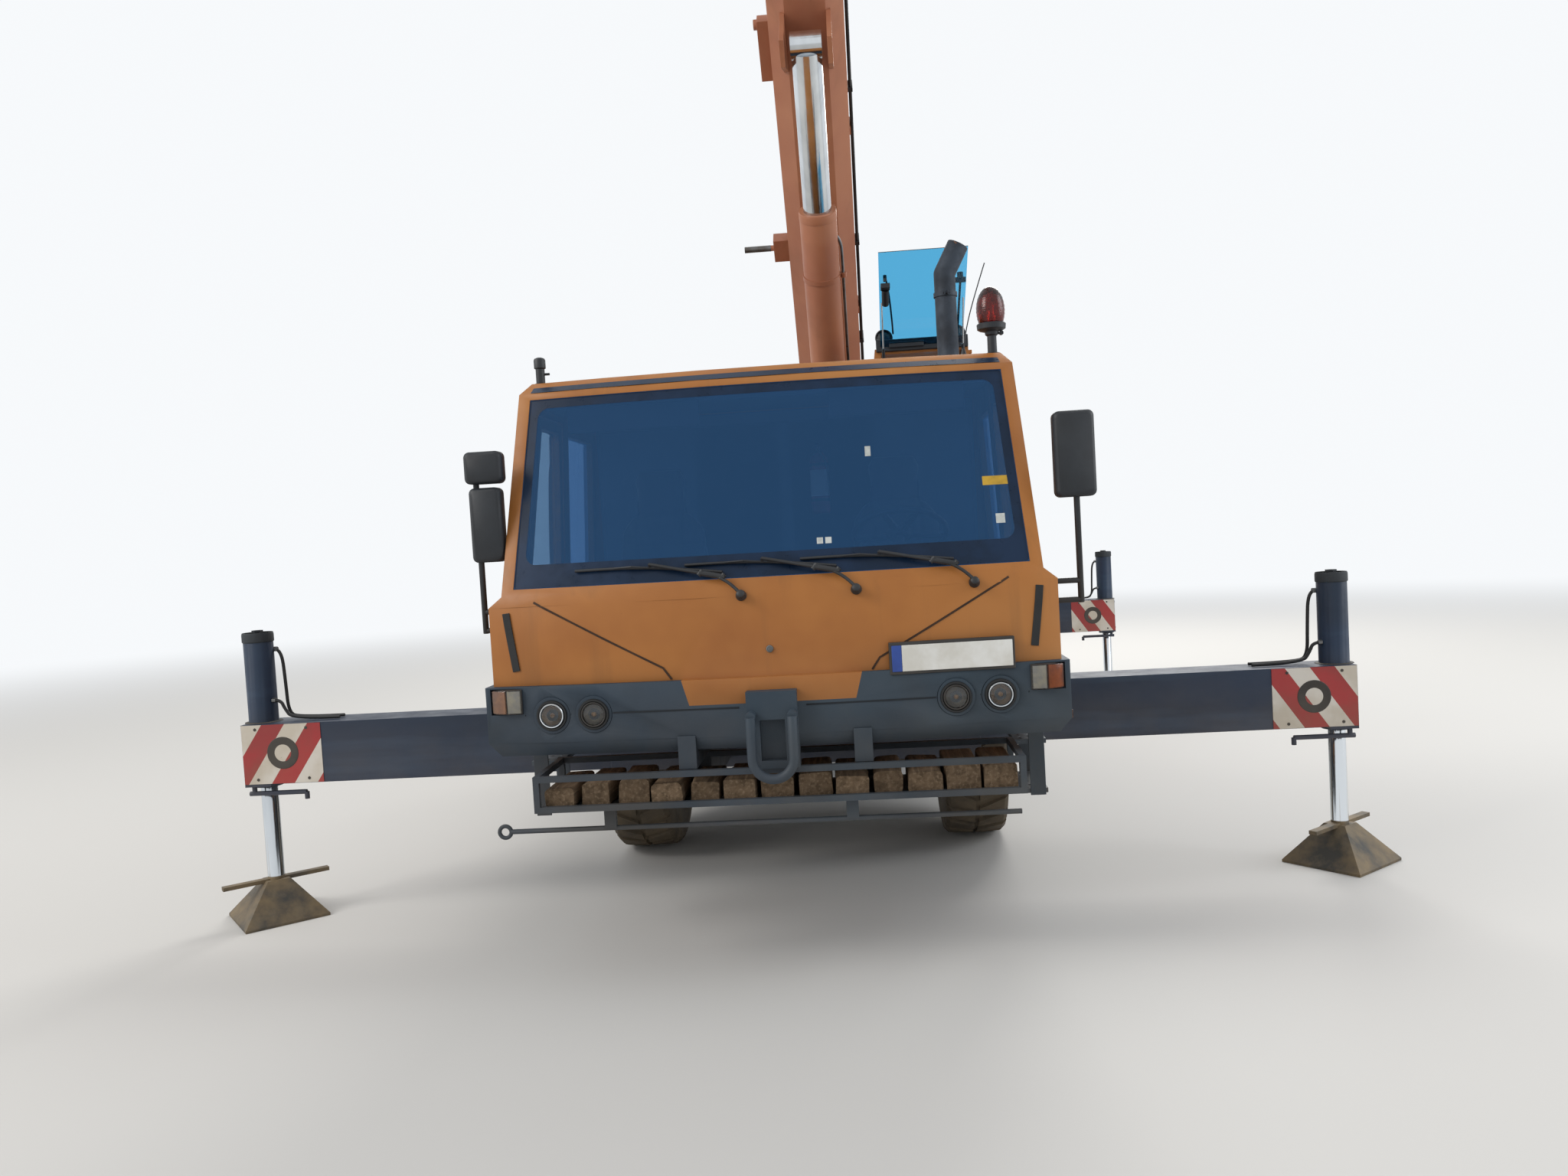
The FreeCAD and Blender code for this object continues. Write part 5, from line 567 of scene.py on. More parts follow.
class Skin:
    """The outer surface of loaded nodes, found by looking at it along a direction."""

    def __init__(self, *names):
        points, faces = [], []
        for name in names:
            data = NODES[name].data
            first = len(points)
            points += [v.co for v in data.vertices]
            faces += [[first + i for i in face.vertices] for face in data.polygons]
        self.tree = BVHTree.FromPolygons(points, faces)

    def hit(self, start, direction):
        """The first point of the surface from a start along a direction."""
        place = self.tree.ray_cast(Vector(start), Vector(direction))[0]
        return place

    def front(self, x, z, lift=0.0):
        """The point of the surface seen from the front at this place, moved out by a lift."""
        place = self.hit((x, NOSE - 1.5, z), (0, 1, 0))
        if place is None:
            raise ValueError(f"nothing stands behind x {x:.3f}, z {z:.3f}")
        return place - Vector((0, lift, 0))


def strip(bm, skin, path, width, lift):
    """A thin strip on a surface, along points that hold x and z."""
    fine = []
    for (x0, z0), (x1, z1) in zip(path, path[1:]):
        steps = max(1, int(math.hypot(x1 - x0, z1 - z0) / 0.03))
        fine += [(x0 + (x1 - x0) * i / steps, z0 + (z1 - z0) * i / steps) for i in range(steps)]
    fine.append(path[-1])
    up = Vector((0, lift, 0))
    rows = []
    for i, (x, z) in enumerate(fine):
        before, after = fine[max(i - 1, 0)], fine[min(i + 1, len(fine) - 1)]
        run = Vector((after[0] - before[0], after[1] - before[1])).normalized()
        side = Vector((-run.y, run.x)) * width / 2
        left, right = skin.front(x + side.x, z + side.y), skin.front(x - side.x, z - side.y)
        rows.append([bm.verts.new(p) for p in (left + up, left - up, right - up, right + up)])
    loft(bm, rows)


def patch(bm, skin, corners, lift, across=12, up=3):
    """A thin sheet on a surface between four corners, given as x and z."""
    a, b, c, d = (Vector(p) for p in corners)
    grid = []
    for j in range(up + 1):
        t = j / up
        low, high = a.lerp(d, t), b.lerp(c, t)
        row = []
        for i in range(across + 1):
            p = low.lerp(high, i / across)
            row.append(bm.verts.new(skin.front(p.x, p.y, lift)))
        grid.append(row)
    faces = []
    for one, two in zip(grid, grid[1:]):
        for i in range(across):
            faces.append(bm.faces.new((one[i], one[i + 1], two[i + 1], two[i])))
    return faces


# %% [markdown]
# ## Glass and lamp finishes
# The screen of the real machine is a dark blue-grey through which little shows. Its glass is tinted here,
# and a faint blue glow and a blue tint on its reflections are painted reflection of the open sky that the
# real screen mirrors and that this pale studio lacks. The side windows are almost clear, and the swung-up
# pane of the crane cab is clear glass whose strong blue is a painted reflection of the sky.
# %% Glass, lenses and lamp metal


def glass_finish(name, colour, roughness=0.02):
    """Clear or tinted glass."""
    return Finish(name, colour, roughness).socket("Transmission Weight", 1.0).socket("IOR", 1.45)


# The blue glow and the blue Specular Tint of the screen are painted reflection of the sky.
screen_glass = glass_finish("screen_glass", "7C93AC").socket("Specular Tint", tint("5F9BD0"))
screen_glass.socket("Emission Color", tint("73B5FF")).socket("Emission Strength", 0.057)
pink_lens = glass_finish("pale_orange_lens", "E8B49C", 0.12).relief(140, 0.0008, 1.0)
side_glass = glass_finish("side_glass", "C9D8DD")
# The swung pane's strong blue colour is a painted reflection of the sky.
swung_glass_sky_reflection = glass_finish("swung_glass_sky_reflection", "5CB6E2")
clear_lens = glass_finish("clear_lens", "F0F3F5", 0.08).relief(90, 0.0008, 1.0, (1, 1, 0.05))
orange_lens = glass_finish("orange_lens", "E0701C", 0.12).relief(140, 0.0008, 1.0)
red_lens = glass_finish("red_lens", "B01E1A", 0.14).relief(140, 0.0008, 1.0)
beacon_lens = glass_finish("beacon_lens", "A23A1A", 0.2).relief(60, 0.001, 1.0, (1, 1, 3))
reflector = Finish("reflector", "D8DADB", 0.12, 1.0).gloss(0.08, 0.2, 60)
dull_reflector = Finish("dull_reflector", "8E8A82", 0.4, 0.7).vary("A39A86", 20).gloss(0.3, 0.55, 30)
bulb_glass = Finish("bulb_glass", "B98A5A", 0.3).vary("9C7040", 30).gloss(0.2, 0.4, 40)
mirror_glass = Finish("mirror_glass", "C4C9CC", 0.03, 1.0).gloss(0.02, 0.05, 10)
timber = Finish("timber", "6E5A44").vary("54432F", 5, stretch=(6, 0.6, 6))
timber.vary("86715A", 9, 0.5, 0.7, (8, 0.5, 8)).chips("3A2E22", 16, 0.68)
timber.gloss(0.75, 0.92).relief(40, 0.003, 6, (3, 0.4, 3))
dark_plate = Finish("bolted_steel", "34383C", 0.5, 0.5).vary("43474A", 5).dust(DUST, 0.0, 0.6, 0.5, 6)
dark_plate.chips("8A8F92", 22, 0.66).gloss(0.35, 0.6).relief(80, 0.0008)

for name, finish in (("cab_glass", screen_glass), ("door_left_glass", side_glass),
                     ("door_right_glass", side_glass),
                     ("crane_cab_glass", swung_glass_sky_reflection), ("mudguards", black)):
    paint_node(name, finish)
soften(NODES["mudguards"], USUAL_EDGE)
print("finishes in all:", len(bpy.data.materials))

# %% [markdown]
# ## Wheels
# A tyre is one turned carcass with rows of raised bars. Each bar is a small loft that follows the crown,
# bends over the shoulder and leans forward, in two staggered rows, as a tyre for soft ground has. The
# grooves are cut below the tread's radius, so the tyre is no bigger than its solid. The steel wheels get
# nuts, hand holes drawn as black discs of painted shade, and a hub cover.
# %% Tyres and wheel fittings
WHEEL_PLACE, TYRE_RADIUS = 1.03, 0.685
AXLE_Y = {"front": NOSE + 2.58, "rear": NOSE + 6.26}
CARCASS = [(0.135, 0.322), (0.146, 0.336), (0.150, 0.350), (0.158, 0.372), (0.172, 0.412), (0.176, 0.416),
           (0.184, 0.455), (0.191, 0.505), (0.1925, 0.54), (0.1905, 0.548), (0.1925, 0.556), (0.192, 0.60),
           (0.187, 0.640), (0.166, 0.664), (0.09, 0.667)]
RIM_EDGE = [(0.128, 0.320), (0.142, 0.330), (0.150, 0.327), (0.152, 0.318), (0.147, 0.300), (0.130, 0.296),
            (0.120, 0.293)]
HUB_COVER = [(0, 0.118), (0.006, 0.116), (0.010, 0.108), (0.012, 0.06), (0.012, 0)]
BAR_COUNT, NUT_COUNT = 30, 10


def tread_bar(bm, centre, sign, angle, side):
    """One bar of the tread, from the middle over the shoulder."""
    stations = [(0.012, 0.660, 0.685, 0.0), (0.06, 0.660, 0.6845, 0.035), (0.11, 0.660, 0.683, 0.075),
                (0.160, 0.655, 0.679, 0.10), (0.184, 0.634, 0.656, 0.11), (0.1915, 0.600, 0.612, 0.115)]
    rings = []
    for x, low, high, lean in stations:
        half = 0.056 + 0.10 * x
        ring = []
        for radius, a in ((low, -half - 0.012), (high, -half), (high, half), (low, half + 0.012)):
            turn_by = angle + lean + a
            ring.append(bm.verts.new((centre[0] + sign * side * x, centre[1] + radius * math.sin(turn_by),
                                      centre[2] + radius * math.cos(turn_by))))
        rings.append(ring)
    loft(bm, rings)


def around(centre, radius, count, shift=0.0):
    """Points on an upright circle that faces sideways, as the face of a wheel does."""
    angles = [2 * math.pi * (i + shift) / count for i in range(count)]
    return [centre + Vector((0, radius * math.sin(a), radius * math.cos(a))) for a in angles]


def wheel(end, side):
    """A tyre in place of its solid, and the fittings of its rim."""
    sign = 1 if side == "left" else -1
    body = f"wheel_{end}_{side}"
    centre = Vector((sign * WHEEL_PLACE, AXLE_Y[end], TYRE_RADIUS))
    out = Vector((sign, 0, 0))
    face, hub = centre + out * 0.084, centre + out * 0.16
    bm = bmesh.new()
    profile = [(-x, r) for x, r in CARCASS] + [(x, r) for x, r in reversed(CARCASS)]
    turned(bm, profile, centre, out, sides=96, closed=True)
    step = 2 * math.pi / BAR_COUNT
    for i in range(BAR_COUNT):
        tread_bar(bm, centre, sign, i * step, 1)
        tread_bar(bm, centre, sign, (i + 0.5) * step, -1)
    tyre = show(bm, f"tread_{end}_{side}", rubber, body, "tyre_rubber", smooth_angle=30)
    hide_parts(f"tyre_{end}_{side}")
    bm = bmesh.new()
    for spot in around(face, 0.205, NUT_COUNT):
        for length, radius, sides in ((0.012, 0.026, 20), (0.034, 0.0175, 6), (0.05, 0.010, 12)):
            rod(bm, spot, spot + out * length, radius, sides)
    turned(bm, HUB_COVER, hub, out, 40)
    for spot in around(hub + out * 0.008, 0.096, 8, 0.5):
        rod(bm, spot, spot + out * 0.014, 0.009, 6)
    show(bm, f"wheel_nuts_{end}_{side}", steel, body, bevel=0.0015)
    # Black discs on the wheel's face: painted shade inside the hand holes.
    bm = bmesh.new()
    for spot in around(face + out * 0.0005, 0.256, NUT_COUNT, 0.5):
        turned(bm, [(0.0, 0.0), (0.0, 0.020), (0.003, 0.024), (0.0, 0.027)], spot, out, 20)
    show(bm, f"hand_hole_shade_{end}_{side}", black, body, "rim_paint")
    bm = bmesh.new()
    for way in (1, -1):
        turned(bm, [(way * x, r) for x, r in RIM_EDGE], centre, out, 64)
    show(bm, f"rim_rings_{end}_{side}", rim_paint, body)
    valve = chain(face, (0, 0, 0.275), (sign * 0.05, 0, 0.272), (sign * 0.075, 0, 0.262))
    pipe(f"valve_{end}_{side}", valve, 0.005, steel, body, sides=2)


for end in ("front", "rear"):
    for side in ("left", "right"):
        wheel(end, side)

# %% [markdown]
# ## Outriggers
# The beams carry warning plates with red and white stripes at their outer ends. A plate starts as one flat
# face that is cut along each stripe's edge, and each piece then takes red or white by where it lies. The
# foot of a jack is dark steel, its rod chrome: the finish of that node changes with height.
# %% Chevron plates, beam ends and jack feet
CORNERS = ("front_left", "front_right", "rear_left", "rear_right")
BEAM_END, PLATE_TOP = 3.03, 1.10
STRIPE_PERIOD, STRIPE_SLOPE = 0.26, 0.685
RED_FROM, RED_TO = 0.46, 0.96
JACK_HOSES = (
    ("a", 0.03, ((0.075, -0.10), (0.115, -0.10), (0.125, -0.30), (0.13, -0.46), (0.19, -0.488),
                 (0.45, -0.488))),
    ("b", -0.03, ((0.075, -0.38), (0.12, -0.38), (0.14, -0.43), (0.18, -0.488), (0.45, -0.488))),
)


def chevron(name, sign, face_y, outward):
    """The striped plate on one side of a beam's end; outward is -1 in front and 1 behind."""
    low_x, high_x, low_z, high_z = 2.58, 3.028, 0.772, 1.098
    bm = bmesh.new()
    corners = [(low_x, low_z), (high_x, low_z), (high_x, high_z), (low_x, high_z)]
    bm.faces.new([bm.verts.new((sign * x, face_y, z)) for x, z in corners])
    normal = Vector((sign, 0, STRIPE_SLOPE))
    for k in range(5):
        for share in (RED_FROM, RED_TO):
            t = (k - 1 + share) * STRIPE_PERIOD
            spot = Vector((sign * (BEAM_END - t), face_y, PLATE_TOP))
            whole = bm.verts[:] + bm.edges[:] + bm.faces[:]
            bmesh.ops.bisect_plane(bm, geom=whole, plane_co=spot, plane_no=normal)
    for face in bm.faces:
        middle = face.calc_center_median()
        t = (BEAM_END - abs(middle.x)) + STRIPE_SLOPE * (PLATE_TOP - middle.z)
        face.material_index = 1 if RED_FROM <= (t / STRIPE_PERIOD) % 1 <= RED_TO else 0
    sheet = bmesh.ops.extrude_face_region(bm, geom=bm.faces[:])
    moved = [v for v in sheet["geom"] if isinstance(v, bmesh.types.BMVert)]
    bmesh.ops.translate(bm, vec=(0, outward * 0.003, 0), verts=moved)
    way = "front" if outward < 0 else "back"
    show(bm, f"chevron_{name}_{way}", (white_paint, red_paint), f"beam_{name}", "chassis_paint", bevel=0.0008)


def beam_dressing(name):
    """Plates, openings shown as black discs of painted shade, pins and hoses of one beam's end."""
    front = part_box(f"outrigger_{name}")[0].y
    sign = 1 if name.endswith("left") else -1
    body = f"beam_{name}"
    for face_y, outward, way in ((front, -1, "front"), (front + 0.25, 1, "back")):
        chevron(name, sign, face_y, outward)
        out = Vector((0, outward, 0))
        # A black disc fills each opening as painted shade inside the beam, with four bolts round it.
        bm = bmesh.new()
        turned(bm, [(0, 0), (0.0015, 0.070), (0.0025, 0.078), (0.0025, 0.087), (0.0, 0.090)],
               Vector((sign * 2.80, face_y + outward * 0.002, 0.94)), out, 40)
        for i in range(4):
            a = math.pi / 4 + math.pi / 2 * i
            bolt = Vector((sign * 2.805 + 0.204 * math.cos(a), face_y + outward * 0.003,
                           0.935 + 0.196 * math.sin(a)))
            rod(bm, bolt, bolt + out * 0.0015, 0.009, 6)
        show(bm, f"beam_hole_shade_{name}_{way}", black, body, "chassis_paint")
    bm = bmesh.new()
    end_x = sign * BEAM_END
    for z in (0.80, 1.07):
        for y in (front + 0.035, front + 0.215):
            rod(bm, (end_x, y, z), (end_x + sign * 0.008, y, z), 0.011, 6)
    slab(bm, (end_x, front + 0.02, 0.785), (end_x + sign * 0.004, front + 0.23, 1.085))
    show(bm, f"beam_cap_{name}", beam_slate, body, "chassis_paint", bevel=0.001)
    tube = Vector((sign * 2.96, front + 0.125, 1.60))
    bm = bmesh.new()
    turned(bm, [(0.0, 0.0), (0.0, 0.080), (-0.012, 0.083), (-0.05, 0.083), (-0.055, 0.0785)], tube,
           (0, 0, 1), 40)
    turned(bm, [(-0.495, 0.0785), (-0.497, 0.098), (-0.500, 0.100), (-0.500, 0.0785)], tube, (0, 0, 1), 40)
    rod(bm, tube - Vector((0, 0, 0.002)), tube + Vector((0, 0, 0.012)), 0.030, 6)
    show(bm, f"jack_cap_{name}", under, body, bevel=0.001)
    for letter, shift, run in JACK_HOSES:
        points = [tube + Vector((-sign * x, shift, z)) for x, z in run]
        pipe(f"jack_hose_{letter}_{name}", points, 0.009, rubber_trim, body)
    bm = bmesh.new()
    for shift, z in ((0.03, -0.10), (-0.03, -0.38)):
        spot = tube + Vector((-sign * 0.072, shift, z))
        rod(bm, spot, spot - Vector((sign * 0.022, 0, 0)), 0.014, 6)
    show(bm, f"jack_unions_{name}", steel, body, bevel=0.001)


for name in CORNERS:
    beam_dressing(name)
# A leg's foot is steel, with light rubbed edges, and its rod is chrome above the foot
foot_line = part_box("jack_front_left")[0].z + 0.232
leg_finish = Finish("leg_steel", "D5D9DC", 0.16, 1.0).vary("B9BEC2", 3.0, stretch=(1, 1, 0.2))
split = leg_finish.nodes.new("ShaderNodeSeparateXYZ")
leg_finish.links.new(leg_finish.place, split.inputs[0])
below = leg_finish.ranged(split.outputs["Z"], foot_line - 0.002, foot_line + 0.002, 1.0, 0.0)
leg_finish.cover(below, "363A3C")
rubbed = leg_finish.ranged(leg_finish.noise(9, 5), 0.50, 0.64)
leg_finish.cover(leg_finish.times(below, leg_finish.times(rubbed, 0.55)), "6F6656")
dusty = leg_finish.ranged(leg_finish.noise(5, 6), 0.35, 0.6, 0.1, 0.7)
leg_finish.cover(leg_finish.times(below, dusty), "8A7656")
leg_finish.links.new(leg_finish.ranged(below, 0, 1, 0.14, 0.62), leg_finish.shader.inputs["Roughness"])
leg_finish.links.new(leg_finish.ranged(below, 0, 1, 1.0, 0.25), leg_finish.shader.inputs["Metallic"])
for name in CORNERS:
    paint_node(f"jack_{name}", leg_finish)

# %% [markdown]
# ## The nose
# The front panel has two thin grooves that run down towards the tongue, drawn as dark strips of painted
# shade, a black slot at each side, a small lock in the middle, and the number plate, which is blank. Dark
# strips of painted shade also mark the bumper's crease. All of them lie on the curved skin: each point is
# found by looking at the loaded cab from the front. The screen gets its black painted border, wider along
# the foot; its navy tone is a painted reflection of the sky.
# %% Grooves, slots, plate and the screen's border
PLATE_MIDDLE_X, PLATE_Z, PLATE_TURN = 0.7775, 1.417, 4.0
GROOVE = ((1.04, 1.738), (0.72, 1.560), (0.47, 1.425), (0.435, 1.375))
SIDE_SLOT = ((1.170, 1.695), (1.163, 1.63), (1.150, 1.53), (1.137, 1.435))
CREASE_Z = 1.243
cab_skin = Skin("cab_shell", "door_left", "door_right")
screen_skin = Skin("cab_glass")
bumper_skin = Skin("front_bumper", "cab_shell")
lamp_skin = Skin("lamps")

# Dark strips along the grooves: painted shade.
bm = bmesh.new()
for sign in (-1, 1):
    strip(bm, cab_skin, [(sign * x, z) for x, z in GROOVE], 0.009, 0.0012)
groove_shadow = Finish("groove_shadow", "3B2410", 0.8).vary("2A190B", 8).relief(200, 0.0003)
show(bm, "nose_groove_shade", groove_shadow, slot="body_paint")
# Dark strips along the bumper's crease: painted shade.
bm = bmesh.new()
for low, high in ((0.145, 0.70), (0.865, 0.89), (1.055, 1.10)):
    for sign in (-1, 1):
        strip(bm, bumper_skin, [(sign * low, CREASE_Z), (sign * high, CREASE_Z)], 0.007, 0.0012)
crease_shadow = Finish("crease_shadow", "11181F", 0.8).vary("0C1218", 8).relief(200, 0.0003)
show(bm, "bumper_crease_shade", crease_shadow, slot="chassis_paint")
bm = bmesh.new()
for sign in (-1, 1):
    strip(bm, cab_skin, [(sign * x, z) for x, z in SIDE_SLOT], 0.034, 0.004)
show(bm, "nose_slots", rubber_trim, bevel=0.002)
bm = bmesh.new()
lock = cab_skin.front(0.0, 1.487)
turned(bm, [(0, 0.016), (0.005, 0.015), (0.006, 0.011), (0.004, 0.010), (0.004, 0)], lock, (0, -1, 0), 24)
slab(bm, lock + Vector((-0.0015, -0.0055, -0.006)), lock + Vector((0.0015, -0.003, 0.006)))
show(bm, "nose_lock", steel)

plate_front = min(cab_skin.front(x, z).y for x in (0.525, 0.78, 1.03) for z in (1.352, 1.482)) - 0.006
plate_turn = Matrix.Rotation(math.radians(PLATE_TURN), 4, "Z")
plate_middle = Vector((PLATE_MIDDLE_X, plate_front - 0.012, PLATE_Z))


def plate_piece(name, low, high, front, back, finish, slot, bevel):
    """A flat box on the number plate's plane; the sizes are measured from its middle."""
    bm = bmesh.new()
    slab(bm, (low[0], front, low[1]), (high[0], back, high[1]))
    bmesh.ops.transform(bm, matrix=Matrix.Translation(plate_middle) @ plate_turn, verts=bm.verts)
    return show(bm, name, finish, "carrier", slot, bevel=bevel)


plate_white = Finish("plate_white", "E4E4E0", 0.4).vary("D4D2CA", 6).dust(DUST, 1.2, 1.5, 0.15, 9).gloss(0.3,
                                                                                                         0.5)
plate_piece("plate_holder", (-0.268, -0.068), (0.268, 0.070), 0.000, 0.030, black, "black_plastic", 0.003)
plate_piece("number_plate", (-0.215, -0.055), (0.258, 0.057), -0.004, 0.0, plate_white, "trim_plastic", 0.002)
plate_piece("number_plate_band", (-0.258, -0.055), (-0.2155, 0.057), -0.004, 0.0, blue_band, "trim_plastic",
            0.002)

# The border's black is written navy: a painted reflection of the sky.
border_black_sky_reflection = Finish("screen_border", "12243A", 0.3).vary("182C46", 5).gloss(0.25, 0.4, 20)
border_black_sky_reflection.socket("Specular IOR Level", 0.2)
GLASS_FOOT, GLASS_HEAD = 1.797, 2.670
FOOT_HALF, HEAD_HALF = 1.140, 1.095
BORDER_LIFT = 0.0015


def screen_half(z):
    """Half the width of the screen's glass at a height."""
    return FOOT_HALF + (HEAD_HALF - FOOT_HALF) * (z - GLASS_FOOT) / (GLASS_HEAD - GLASS_FOOT)


def border_ring(foot, head, side, corner, steps=10):
    """Points of the clear part's edge, as a rounded frame inside the glass."""
    points = []
    low, high = GLASS_FOOT + foot, GLASS_HEAD - head
    for cx, cz, start in ((1, high, 0), (-1, high, 90), (-1, low, 180), (1, low, 270)):
        z_in = cz - corner if cz == high else cz + corner
        for i in range(steps + 1):
            a = math.radians(start + 90 * i / steps)
            z = z_in + corner * math.sin(a)
            x = cx * (screen_half(z) - side - corner) + corner * math.cos(a)
            points.append((x, z))
    return points


bm = bmesh.new()
inner, outer = border_ring(0.105, 0.045, 0.045, 0.05), border_ring(0.003, 0.003, 0.003, 0.012)
rings = []
for share in (0.0, 0.5, 1.0):
    between = [(x0 + (x1 - x0) * share, z0 + (z1 - z0) * share) for (x0, z0), (x1, z1) in zip(inner, outer)]
    rings.append([bm.verts.new(screen_skin.front(x, z, BORDER_LIFT)) for x, z in between])
loft(bm, rings, capped=False)
long_edges = [e for e in bm.edges if e.calc_length() > 0.3]
bmesh.ops.subdivide_edges(bm, edges=long_edges, cuts=24, use_grid_fill=True)
for vert in bm.verts:
    vert.co = screen_skin.front(vert.co.x, vert.co.z, BORDER_LIFT)
show(bm, "screen_border", border_black_sky_reflection)

# %% [markdown]
# ## Lamps
# The four round lamps replace their solids: a deep dish, a bulb, a bright ring and a domed lens. The outer
# two are newer and bright, the inner two dull. The corner lamps have an orange and a clear cell, the rear
# lamps three cells.
# %% Front and rear lamps


LAMP_Z, LAMP_DEPTH = 1.240, 0.048
REAR_Y = NOSE + 7.95


def round_lamp(name, x, ring_finish, dish_finish):
    """One round lamp in its hole, from the collar to the glass."""
    base = lamp_skin.front(x, LAMP_Z) + Vector((0, LAMP_DEPTH, 0))
    parts = (
        ("collar", slate, "chassis_paint", 48, 50,
         [(0.0, 0.0), (0.0, 0.0815), (0.036, 0.0815), (0.040, 0.079), (0.040, 0.068), (0.028, 0.066)]),
        ("rubber", rubber_trim, "black_plastic", 48, 50,
         [(0.020, 0.0675), (0.044, 0.0675), (0.048, 0.065), (0.048, 0.058), (0.036, 0.054)]),
        ("ring", ring_finish, "trim_plastic", 48, 50,
         [(0.034, 0.055), (0.050, 0.055), (0.053, 0.052), (0.052, 0.048), (0.040, 0.0465)]),
        ("dish", dish_finish, "lamp_lens", 48, 80,
         [(0.042, 0.0475), (0.032, 0.044), (0.022, 0.036), (0.013, 0.024), (0.008, 0.011), (0.007, 0.0)]),
        ("bulb", bulb_glass, "lamp_lens", 20, 80, [(0.007, 0.009), (0.022, 0.009), (0.028, 0.006),
                                                   (0.030, 0.0)]),
        ("glass", clear_lens, "lamp_lens", 48, 60,
         [(0.048, 0.048), (0.053, 0.036), (0.056, 0.022), (0.057, 0.010), (0.0572, 0.0), (0.0542, 0.0),
          (0.054, 0.010), (0.053, 0.022), (0.050, 0.035), (0.045, 0.047)]),
    )
    return [spun(f"lamp_{part}_{name}", finish, profile, base, (0, -1, 0), sides, slot=slot,
                 smooth_angle=angle)
            for part, finish, slot, sides, angle, profile in parts]


lamp_pieces = []
for name, x in (("outer_left", 0.975), ("inner_left", 0.785), ("inner_right", -0.785),
                ("outer_right", -0.975)):
    bright = name.startswith("outer")
    lamp_pieces += round_lamp(name, x, chrome if bright else black, reflector if bright else dull_reflector)
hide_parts("lamps")


def corner_front(x):
    """How far back the corner lamp's glass stands, at a place across the machine."""
    return NOSE + 0.052 + 0.045 * max(0.0, abs(x) - 1.16) ** 2 / 0.0095


def curved_cell(bm, sign, x0, x1, z0, z1, lift, thick, steps=8):
    """A lens or housing that bends round the bumper's corner, between two places across it."""
    rows = []
    for i in range(steps + 1):
        x = sign * (x0 + (x1 - x0) * i / steps)
        front = corner_front(x) - lift
        section = ((thick, z0), (0.25 * thick, z0), (0, z0 + 0.006), (0, z1 - 0.006), (0.25 * thick, z1),
                   (thick, z1))
        rows.append([bm.verts.new((x, front + back, z)) for back, z in section])
    loft(bm, rows)


for side, sign in (("left", 1), ("right", -1)):
    bm = bmesh.new()
    curved_cell(bm, sign, 1.1085, 1.256, 1.248, 1.361, -0.006, 0.045)
    show(bm, f"indicator_body_{side}", black, slot="trim_plastic")
    outer_lens = orange_lens if side == "left" else pink_lens
    for cell, x0, x1, lens in (("inner", 1.113, 1.176, clear_lens), ("outer", 1.180, 1.252, outer_lens)):
        bm = bmesh.new()
        curved_cell(bm, sign, x0, x1, 1.253, 1.356, 0.004, 0.011)
        show(bm, f"indicator_{cell}_{side}", lens, slot="lamp_lens")
        bm = bmesh.new()
        curved_cell(bm, sign, x0 + 0.003, x1 - 0.003, 1.256, 1.353, -0.0052, 0.004)
        show(bm, f"indicator_dish_{cell}_{side}", dull_reflector)
    boxes(f"rear_lamp_body_{side}", black, ((sign * 0.75, REAR_Y - 0.014, 0.988),
                                            (sign * 1.1625, REAR_Y, 1.103)),
          slot="trim_plastic", bevel=0.004)
    edge = 0.756
    for cell, wide, lens in (("reverse", 0.10, clear_lens), ("stop", 0.17, red_lens),
                             ("turn", 0.126, orange_lens)):
        boxes(f"rear_lens_{cell}_{side}", lens, ((sign * edge, REAR_Y - 0.001, 0.995),
                                                (sign * (edge + wide - 0.004), REAR_Y + 0.009, 1.096)),
              slot="lamp_lens", bevel=0.003)
        edge += wide

# %% [markdown]
# ## Timber in the rack
# Thirteen short blocks lie side by side. No two are alike: each has its own width, height and twist, its
# edges are knocked off, and slow noise makes its faces uneven. The grain runs along the block.
# %% Packing blocks
from mathutils import noise

